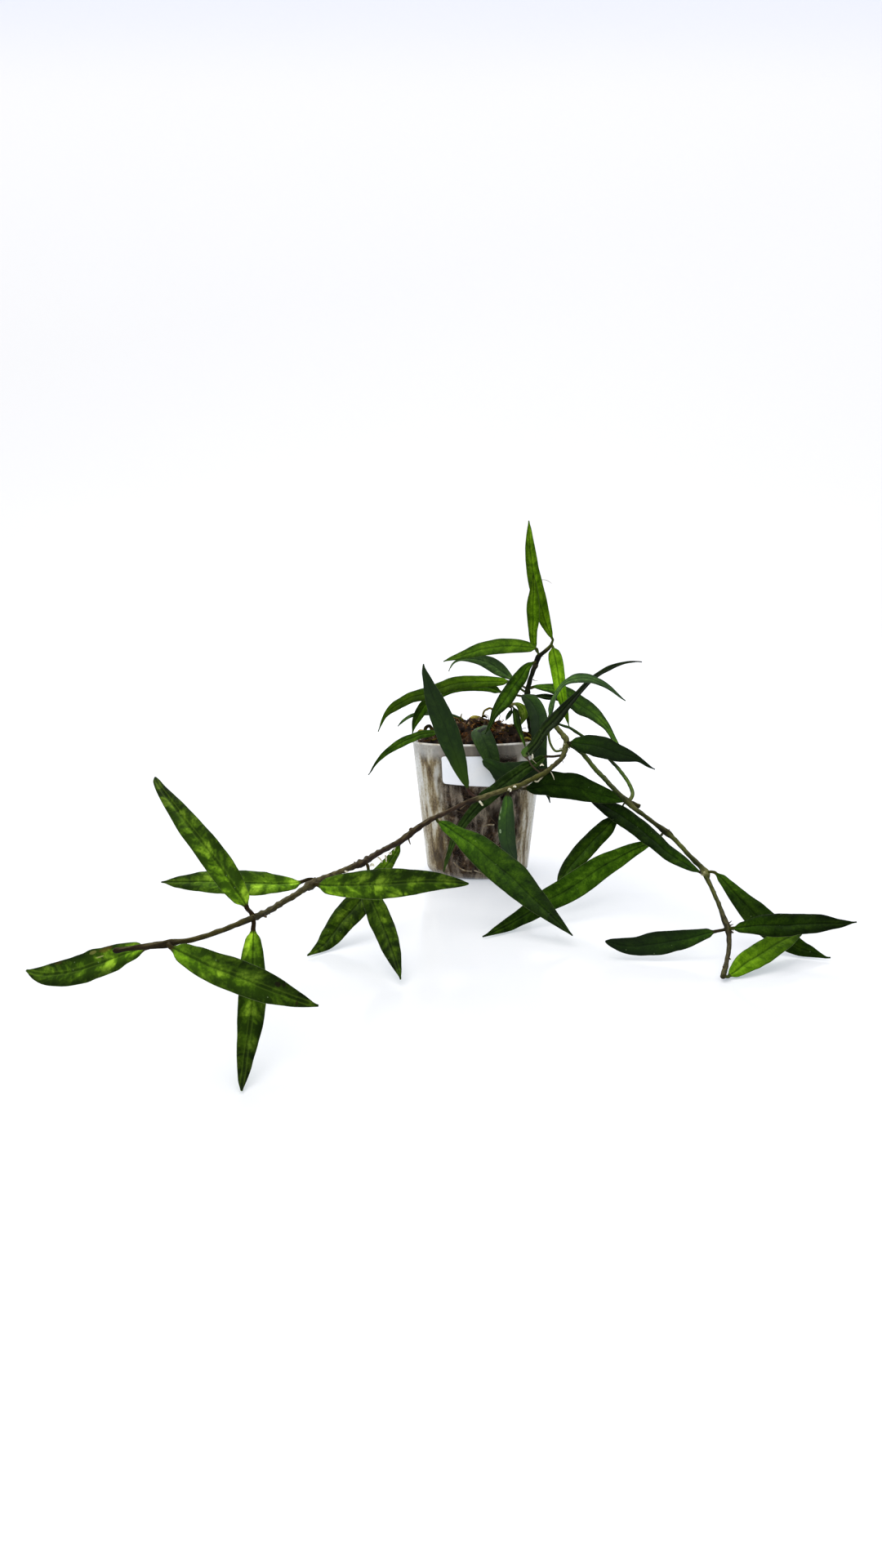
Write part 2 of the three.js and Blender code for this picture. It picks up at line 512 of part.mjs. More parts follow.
    rows: [
      [-66.99,-185,36.69,0.27,-0.38,-0.38],
      [-69.85,-186.95,36.56,0.76,-1.78,-1.57],
      [-75.12,-189.39,37.08,0.83,-2.9,-2.52],
      [-81.83,-191.62,37.87,0.8,-3.9,-3.34],
      [-89.49,-193,38.37,0.59,-4.04,-3.43],
      [-97.31,-193.23,38.72,0.38,-3.38,-2.93],
      [-104.54,-192.46,38.3,0.2,-2.4,-2.16],
      [-110.39,-191.18,37.93,0.07,-1.17,-1.09],
      [-114.27,-190,37.56,-0.04,-0.21,-0.21],
    ] },
  { name: "leaf_vine_raised", tone: "mottled", stalkRadius: 0.65, fold: 0.14,
    stalk: [[-75.42,-237.18,39.69], [-75.76,-236.5,39.74]],
    rows: [
      [-76.87,-235,40.34,-0.55,-0.24,-0.25],
      [-78.05,-234.77,42.77,-2,-0.89,-0.97],
      [-81.29,-233.84,47.3,-2.93,-1.34,-1.61],
      [-85.62,-231.68,52.93,-3.33,-1.54,-1.9],
      [-91.1,-228,58.78,-3.12,-1.48,-1.83],
      [-97.22,-222.96,64.31,-2.81,-1.31,-1.61],
      [-102.96,-217.26,69.32,-2.1,-0.96,-1.09],
      [-107.77,-211.94,73.33,-1.34,-0.59,-0.51],
      [-110.24,-208,76.02,-0.27,-0.1,-0.09],
    ] },
  { name: "leaf_vine_down", tone: "mottled", stalkRadius: 0.65, fold: 0.14,
    stalk: [[-74.18,-239.52,37.47], [-74.1,-239.8,36.93]],
    rows: [
      [-74.17,-240.5,35.64,0.6,0.23,-0.09],
      [-73.93,-242.13,33.16,2.07,0.79,-0.29],
      [-73.67,-244.88,28.23,3.13,1.22,-0.5],
      [-73.12,-248.87,22.2,3.66,1.43,-0.68],
      [-72.63,-254,15.91,3.69,1.38,-0.89],
      [-72.65,-259.86,10.22,2.96,1.04,-0.82],
      [-72.63,-265.76,5.62,2.1,0.72,-0.6],
      [-72.43,-270.88,2.37,1.16,0.39,-0.29],
      [-71.99,-274.5,0.83,0.28,0.07,-0.08],
    ] },
  { name: "leaf_vine_low", tone: "mottled", stalkRadius: 0.6, fold: 0.14,
    stalk: [[-92.83,-264.46,37.92]],
    rows: [
      [-91.96,-266.5,37.94,0.25,0.33,0.44],
      [-89.7,-266.98,37.03,0.89,1.24,1.66],
      [-85.07,-267.64,35,1.29,1.93,2.65],
      [-79.07,-268.36,32.48,1.44,2.33,3.26],
      [-72.24,-269,30.09,1.45,2.5,3.52],
      [-65.52,-269.49,27.46,1.28,2.25,3.19],
      [-59.56,-269.79,25.24,0.79,1.49,2.13],
      [-54.86,-269.94,23.59,0.32,0.71,1.04],
      [-51.78,-270,22.78,0.07,0.16,0.24],
    ] },
  { name: "leaf_vine_tip", tone: "mottled", stalkRadius: 0.55, fold: 0.14,
    stalk: [[-97.62,-263.86,37.34]],
    rows: [
      [-99.58,-261,35.91,0.04,-0.35,-0.42],
      [-101.45,-260.69,35.47,0.31,-1.32,-1.5],
      [-105.6,-260.23,34.2,0.65,-2.08,-2.34],
      [-110.78,-259.65,32.11,0.98,-2.77,-3.13],
      [-116.71,-259,29.95,0.93,-2.99,-3.39],
      [-122.77,-258.35,28.12,0.59,-2.78,-3.16],
      [-128.29,-257.77,27.21,0.11,-2.19,-2.47],
      [-132.45,-257.31,27.44,-0.16,-1.12,-1.21],
      [-134.79,-257,28.11,-0.09,-0.2,-0.21],
    ] },
];

// Each stem: [x, y, z, radius] along its axis, nodes a little thicker.
const STEMS = [
  { name: "stem_left_vine", points: [
      [28.11,0.5,71.02,1.35], [28.63,-2.5,74.43,1.35], [29.52,-6,77.44,1.3], [30.82,-9.5,79.17,1.25],
      [32.58,-12.5,79.7,1.2], [34.74,-15.5,79.05,1.2], [36.85,-19,77.11,1.2], [38.88,-23,74.64,1.2],
      [40.53,-26.5,72.56,1.3], [41.51,-29.3,70.64,1.5], [41.26,-31.8,68.71,1.35], [40.24,-35.3,66.3,1.35],
      [38.22,-41.5,63.45,1.1], [35.22,-48,61.88,1.1], [31.9,-54.5,60.36,1.1], [28.79,-59.5,58.71,1.1],
      [25.51,-62.8,57.62,1.2], [21.64,-64.8,56,1.1], [17.86,-66,54.28,1.1], [14.13,-66.6,52.85,1.25],
      [10.41,-67,51.96,1.15], [6.71,-67.4,50.7,1.1], [2.99,-68,49.66,1.1], [-0.74,-69.2,48.33,1.15],
      [-4.46,-70.6,47.6,1.15], [-8.18,-72.8,46.64,1.05], [-11.88,-75.8,45.26,1], [-15.55,-79.6,44.03,1],
      [-19.15,-84,42.94,1.05], [-22.7,-88.5,42.25,1.05], [-26.17,-93,41.24,0.98], [-29.58,-97.5,39.91,1],
      [-32.92,-102,38.26,1.05], [-36.18,-107,36.42,1], [-39.32,-113,35.51,0.95], [-42.31,-120,34.87,0.95],
      [-45.14,-128,34.5,0.98], [-47.78,-137,34.1,1], [-50.35,-145,34.21,0.95], [-52.88,-152,34.47,0.9],
      [-55.31,-159,34.78,0.88], [-57.63,-166,35.13,0.88], [-59.84,-173,35.53,0.9], [-61.94,-180,35.97,0.95],
      [-63.94,-187,36.03,0.9], [-65.77,-194.5,35.99,0.85], [-67.48,-202,36.02,0.82], [-69.08,-209.5,36.4,0.82],
      [-70.56,-217,36.71,0.82], [-71.92,-224.5,37.1,0.82], [-73.25,-231.5,37.8,0.85], [-74.55,-238,38.54,0.9],
      [-76.13,-242.5,38.77,0.82], [-77.85,-246,38.63,0.75], [-79.61,-249,38.5,0.72], [-81.32,-252,38.38,0.7],
      [-83.1,-254.5,38.26,0.7], [-84.83,-257,38.16,0.7], [-86.65,-259,38.03,0.68], [-88.54,-260.5,38,0.68],
      [-90.42,-262,38.09,0.7], [-92.4,-263,38.03,0.75], [-94.36,-264,37.93,0.7], [-96.42,-264.6,37.81,0.66],
      [-98.47,-265.2,37.75,0.62], [-100.45,-266,37.71,0.6], [-102.49,-266.6,37.54,0.58], [-104.57,-267,37.36,0.56],
      [-106.27,-267.2,37.08,0.62], [-107.12,-267.3,36.99,0.5],
    ] },
  { name: "stem_right_vine", points: [
      [43.46,-31.3,68.58,1], [45.07,-32.5,67.8,1], [47.94,-35,65.9,1], [50.73,-41,62.66,1],
      [53.63,-48.5,58.91,1], [56.24,-57,56.2,1], [58.74,-65.5,53.04,1], [61.36,-72.5,50.17,1.05],
      [63.56,-77,48.11,1.35], [65.81,-81,45.83,1.05], [68.77,-84.8,43.75,0.98], [71.46,-87.8,41.74,0.95],
      [74.12,-90.8,39.77,0.95], [76.22,-92.8,38.53,1], [78.13,-94.8,37.3,1.2], [80.03,-98.5,35.18,0.98],
      [82.38,-104,32.23,0.95], [84.63,-109.5,29.89,0.95], [86.35,-112.5,28.47,0.95], [88.05,-115.5,26.72,1.05],
      [89.48,-117.5,24.78,1.3], [90.02,-121,22.69,1], [90.34,-126,20.5,0.95], [90.67,-131.5,17.85,0.92],
      [90.71,-138,15.22,0.92], [90.53,-144.5,12.72,0.98], [90.23,-150,11.02,1.3], [89.57,-154.5,9.12,1.05],
      [88.6,-159,7.27,0.98], [87.02,-164,5.65,0.95], [85.01,-169.5,4.25,0.95], [83.07,-174.8,2.88,1],
      [81.46,-178.8,2.06,1.05], [80.56,-181.2,1.8,1],
    ] },
  { name: "stem_upright", points: [
      [27.39,4.5,71.28,1.15], [26.42,3.8,75.57,1.1], [25.43,3,81.11,1.1], [24.89,2.4,86.18,1.1],
      [24.59,2,89.97,1.2], [24.65,2,92.06,1.4], [25.27,2,94.98,1.1], [26.12,1.8,98.33,1.05],
      [27.29,1.5,102.08,1.05], [28.59,1.3,105.82,1.15], [29.58,1.2,108.52,1.2], [30.37,1.1,110.46,1.25],
      [31.9,1.2,111.7,0.95], [34.17,1.4,113.56,0.85], [35.91,1.6,115.34,0.8], [36.66,1.8,116.37,0.75],
    ] },
  { name: "stem_young", points: [
      [7,-5,78.73,0.7], [8.42,-5.3,80.42,0.68], [10.44,-5.8,82.32,0.65], [12.46,-6.2,84.22,0.65],
      [14.08,-6.6,85.49,0.7], [15.09,-6.8,86.17,0.7],
    ] },
  { name: "shoot_thin", points: [
      [37.84,-17.2,77.77,0.45], [39.44,-17.4,77.39,0.5], [41.39,-18.2,76.73,0.55], [44.02,-20,76.01,0.55],
      [46.91,-23,74.27,0.55], [49.43,-25.5,72.7,0.55], [52.92,-29.5,70.3,0.55], [57.28,-35.5,66.78,0.58],
      [61.3,-43,62.54,0.6], [63.4,-49.5,60.23,0.62], [64.87,-57,57.75,0.62], [66.07,-63.5,55.23,0.62],
      [66.74,-68.5,52.94,0.62], [66.81,-71.5,51.15,0.62], [65.85,-74.5,49.64,0.6],
    ] },
  { name: "stub_right", points: [
      [64.68,-76.1,47.56,1.15], [67.46,-73.8,46.32,1.15], [70.11,-72.5,45.08,1.1],
    ] },
];

// ---- small vector helpers
const v3 = (a) => new THREE.Vector3(a[0], a[1], a[2]);
const lerp = (a, b, t) => a + (b - a) * t;

// Closed surface through rings that all have the same number of points, fan-capped at both ends.
function loft(rings) {
  const k = rings[0].length;
  const pos = [];
  const idx = [];
  for (const r of rings) for (const p of r) pos.push(p.x, p.y, p.z);
  for (let i = 0; i + 1 < rings.length; i++)
    for (let j = 0; j < k; j++) {
      const a = i * k + j, b = i * k + ((j + 1) % k), c = a + k, d = b + k;
      idx.push(a, b, d, a, d, c);
    }
  for (const end of [0, rings.length - 1]) {
    const centre = new THREE.Vector3();
    for (const p of rings[end]) centre.add(p);
    centre.multiplyScalar(1 / k);
    const c = pos.length / 3;
    pos.push(centre.x, centre.y, centre.z);
    for (let j = 0; j < k; j++) {
      const a = end * k + j, b = end * k + ((j + 1) % k);
      if (end === 0) idx.push(c, b, a);
      else idx.push(c, a, b);
    }
  }
  return closed(pos, idx);
}

// Turns the faces outward if the signed volume says that they point in.
function closed(pos, idx) {
  let vol = 0;
  const P = (i) => new THREE.Vector3(pos[3 * i], pos[3 * i + 1], pos[3 * i + 2]);
  for (let i = 0; i < idx.length; i += 3)
    vol += P(idx[i]).dot(P(idx[i + 1]).cross(P(idx[i + 2])));
  if (vol < 0)
    for (let i = 0; i < idx.length; i += 3) [idx[i + 1], idx[i + 2]] = [idx[i + 2], idx[i + 1]];
  const g = new THREE.BufferGeometry();
  g.setAttribute("position", new THREE.Float32BufferAttribute(pos, 3));
  g.setIndex(idx);
  g.computeVertexNormals();
  return g;
}

// One leaf: a round stalk that widens into a folded, slightly fleshy blade.
function leafGeometry(leaf) {
  const stalk = leaf.stalk.map(v3);
  const centres = [...stalk, ...leaf.rows.map((r) => v3(r))];
  const halves = leaf.rows.map((r) => new THREE.Vector3(r[3], r[4], r[5]));
  const first = stalk.length;
  const n = centres.length;
  const rings = [];
  let side = null;
  const tangentAt = (i) =>
    centres[Math.min(i + 1, n - 1)].clone().sub(centres[Math.max(i - 1, 0)]).normalize();
  // the stalk's rings carry the blade's base direction back without twist
  const sides = new Array(n);
  for (let i = n - 1; i >= 0; i--) {
    const t = tangentAt(i);
    if (i >= first) side = halves[i - first].clone();
    const s = side.clone().addScaledVector(t, -side.dot(t)).normalize();
    sides[i] = s;
    if (i < first) side = s;
  }
  for (let i = 0; i < n; i++) {
    const t = tangentAt(i), u = sides[i];
    const up = new THREE.Vector3().crossVectors(t, u).normalize();
    const row = i - first;
    const half = row >= 0 ? halves[row].length() : leaf.stalkRadius;
    const blade = row <= 0 ? 0 : row === 1 ? 0.75 : 1;
    const taper = row > 0 ? Math.min(1, 0.35 + half / 2.2) : 1;
    const thick = LEAF_THICKNESS * taper;
    const drop = leaf.fold * half;
    const r = leaf.stalkRadius;
    const across = [1, 0.52, 0, -0.52, -1, -0.52, 0, 0.52];
    const over = [-0.02, 0.5, 0.28, 0.5, -0.02, -0.5, -0.72, -0.5];
    const ring = [];
    for (let j = 0; j < 8; j++) {
      const ang = (j * Math.PI) / 4;
      const a = lerp(Math.cos(ang) * r, across[j] * half, blade);
      const fall = -drop * (1 - Math.abs(across[j]));
      const b = lerp(Math.sin(ang) * r, fall + over[j] * thick, blade);
      const p = centres[i].clone().addScaledVector(u, a).addScaledVector(up, b);
      p.z = Math.max(p.z, LEAST_HEIGHT + 0.02 * Math.sin(ang) + 0.02);
      ring.push(p);
    }
    rings.push(ring);
  }
  return loft(rings);
}

// A round stem swept along its points, each ring square to the axis and untwisted.
function stemGeometry(points) {
  const centres = points.map(v3);
  const n = centres.length;
  const rings = [];
  let side = new THREE.Vector3(0, 0, 1);
  for (let i = 0; i < n; i++) {
    const t = centres[Math.min(i + 1, n - 1)].clone().sub(centres[Math.max(i - 1, 0)]).normalize();
    if (i === 0 && Math.abs(t.z) > 0.9) side = new THREE.Vector3(1, 0, 0);
    side = side.clone().addScaledVector(t, -side.dot(t)).normalize();
    const up = new THREE.Vector3().crossVectors(t, side);
    const ring = [];
    for (let j = 0; j < STEM_SIDES; j++) {
      const a = (2 * Math.PI * j) / STEM_SIDES;
      const p = centres[i].clone()
        .addScaledVector(side, Math.cos(a) * points[i][3])
        .addScaledVector(up, Math.sin(a) * points[i][3]);
      p.z = Math.max(p.z, LEAST_HEIGHT + 0.02 * Math.sin(a) + 0.02);
      ring.push(p);
    }
    rings.push(ring);
  }
  return loft(rings);
}

const outerRadius = (z) => lerp(POT_BOTTOM_RADIUS, POT_TOP_RADIUS, z / POT_HEIGHT);
const innerRadius = (z) => outerRadius(z) - POT_WALL;

// The pot: one thin shell, open at the top.
function potGeometry() {
  const e = POT_EDGE_ROUNDING, p = [];
  p.push(new THREE.Vector2(0, 0));
  p.push(new THREE.Vector2(outerRadius(0) - e, 0));
  for (const a of [30, 60]) {
    const s = (a * Math.PI) / 180;
    p.push(new THREE.Vector2(outerRadius(0) - e + e * Math.sin(s), e - e * Math.cos(s)));
  }
  p.push(new THREE.Vector2(outerRadius(e), e));
  p.push(new THREE.Vector2(outerRadius(POT_HEIGHT - 2.2), POT_HEIGHT - 2.2));
  p.push(new THREE.Vector2(outerRadius(POT_HEIGHT - 1.6) + RIM_LIP, POT_HEIGHT - 1.5));
  p.push(new THREE.Vector2(outerRadius(POT_HEIGHT) + RIM_LIP, POT_HEIGHT - 0.4));
  p.push(new THREE.Vector2(outerRadius(POT_HEIGHT) - 0.1, POT_HEIGHT));
  p.push(new THREE.Vector2(innerRadius(POT_HEIGHT), POT_HEIGHT - 0.3));
  p.push(new THREE.Vector2(innerRadius(e + 0.4), e + 0.4));
  p.push(new THREE.Vector2(innerRadius(0) - e * 0.75, POT_FLOOR));
  p.push(new THREE.Vector2(0, POT_FLOOR));
  return new THREE.LatheGeometry(p, POT_SEGMENTS).rotateX(Math.PI / 2);
}

// The growing medium: fills the pot and mounds over the rim, with a lumpy top.
function mediumGeometry() {
  const n = MEDIUM_SEGMENTS, pos = [], idx = [];
  const profile = [];
  profile.push([innerRadius(0) - POT_EDGE_ROUNDING, POT_FLOOR + MEDIUM_GAP, 0]);
  profile.push([innerRadius(POT_EDGE_ROUNDING + 2) - MEDIUM_GAP - 0.2, POT_EDGE_ROUNDING + 2.2, 0]);
  profile.push([innerRadius(60) - MEDIUM_GAP - 0.1, 60, 0]);
  const top = MEDIUM_TOP.slice().reverse();
  for (const [r, z] of top) if (r > 0) profile.push([r, z, r < 31 ? 1 : 0]);
  for (const [r, z, lump] of profile)
    for (let j = 0; j < n; j++) {
      const a = (2 * Math.PI * j) / n;
      const bump = lump * MEDIUM_LUMP *
        (0.55 * Math.sin(3 * a + r * 0.31) + 0.45 * Math.sin(7 * a - r * 0.6) - 0.55);
      pos.push(r * Math.cos(a), r * Math.sin(a), z + bump);
    }
  const k = profile.length;
  for (let i = 0; i + 1 < k; i++)
    for (let j = 0; j < n; j++) {
      const a = i * n + j, b = i * n + ((j + 1) % n), c = a + n, d = b + n;
      idx.push(a, b, d, a, d, c);
    }
  const bottom = pos.length / 3;
  pos.push(0, 0, POT_FLOOR + MEDIUM_GAP);
  const apex = bottom + 1;
  pos.push(0, 0, MEDIUM_TOP[0][1] - 0.4);
  for (let j = 0; j < n; j++) {
    const b = (j + 1) % n;
    idx.push(bottom, b, j);
    idx.push(apex, (k - 1) * n + j, (k - 1) * n + b);
  }
  return closed(pos, idx);
}

// The label: a thin sheet with rounded corners that follows the pot's wall.
function labelGeometry() {
  const columns = 14, rings = [];
  const wide = 27, tall = 15;
  for (let i = 0; i <= columns; i++) {
    // columns crowd at the two ends, where the corners round
    const s = 0.5 - 0.5 * Math.cos((Math.PI * i) / columns);
    const x = s * wide;
    const near = Math.min(x, wide - x);
    const cut = near < LABEL_CORNER
      ? LABEL_CORNER - Math.sqrt(Math.max(0, LABEL_CORNER ** 2 - (LABEL_CORNER - near) ** 2))
      : 0;
    const inset = Math.min(cut, LABEL_CORNER * 0.97) / tall;
    const ring = [];
    for (const [t, over] of [[inset, 0], [1 - inset, 0], [1 - inset, 1], [inset, 1]]) {
      const lo = [lerp(LABEL_LEFT.bottom[0], LABEL_RIGHT.bottom[0], s), lerp(LABEL_LEFT.bottom[1], LABEL_RIGHT.bottom[1], s)];
      const hi = [lerp(LABEL_LEFT.top[0], LABEL_RIGHT.top[0], s), lerp(LABEL_LEFT.top[1], LABEL_RIGHT.top[1], s)];
      const deg = lerp(lo[0], hi[0], t), z = lerp(lo[1], hi[1], t);
      const r = outerRadius(z) + LABEL_GAP + over * LABEL_THICKNESS;
      const a = (deg * Math.PI) / 180;
      ring.push(new THREE.Vector3(r * Math.sin(a), -r * Math.cos(a), z));
    }
    rings.push(ring);
  }
  return loft(rings);
}

// ---- the scene graph
const plant = new THREE.Group();

function add(name, geometry, color, roughness, extra = {}) {
  const mesh = new THREE.Mesh(
    geometry,
    new THREE.MeshStandardMaterial({ color, roughness, metalness: 0, ...extra }),
  );
  mesh.name = name;
  plant.add(mesh);
}

add("pot", potGeometry(), 0xc9ccc6, 0.3, { transparent: true, opacity: 0.5, side: THREE.DoubleSide });
add("growing_medium", mediumGeometry(), 0x3a2c20, 0.95);
add("label", labelGeometry(), 0xf3f4f5, 0.6);
for (const stem of STEMS) {
  const green = stem.name === "shoot_thin" || stem.name === "stem_young" || stem.name === "stem_right_vine";
  add(stem.name, stemGeometry(stem.points), green ? 0x4d5a30 : 0x33291e, 0.75);
}
for (const leaf of LEAVES) {
  const tone = TONES[leaf.tone];
  add(leaf.name, leafGeometry(leaf), tone.color, tone.roughness);
}

export default plant;
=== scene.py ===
"""Looks of a hoya pauciflora in a clear plastic nursery pot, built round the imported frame. Metres, +Z up, origin under the pot."""
import bpy
import math
import random
import numpy as np
from mathutils import Matrix, Vector


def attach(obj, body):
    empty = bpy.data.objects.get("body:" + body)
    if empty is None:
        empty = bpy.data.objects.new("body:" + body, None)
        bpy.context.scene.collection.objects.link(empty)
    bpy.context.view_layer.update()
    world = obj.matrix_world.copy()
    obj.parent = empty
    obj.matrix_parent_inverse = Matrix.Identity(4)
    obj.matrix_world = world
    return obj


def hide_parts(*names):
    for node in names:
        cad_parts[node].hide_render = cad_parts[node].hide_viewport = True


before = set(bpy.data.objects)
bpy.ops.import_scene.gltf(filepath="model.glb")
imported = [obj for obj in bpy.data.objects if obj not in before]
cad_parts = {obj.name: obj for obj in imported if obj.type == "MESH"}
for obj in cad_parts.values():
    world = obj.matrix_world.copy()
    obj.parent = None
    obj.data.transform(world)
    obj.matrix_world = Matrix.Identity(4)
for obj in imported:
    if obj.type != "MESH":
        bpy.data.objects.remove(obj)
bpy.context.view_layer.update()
scene = bpy.context.scene
MM = 0.001

# ---- dimensions of the pot (mm)
POT_TOP_R, POT_BOTTOM_R, POT_H, POT_WALL = 33.5, 25.85, 67.5, 0.9
MEDIUM_TOP = [(0, 77.5), (7, 77.4), (14, 77), (20, 74.8), (25, 71.5), (29, 69), (31.7, 66.4)]

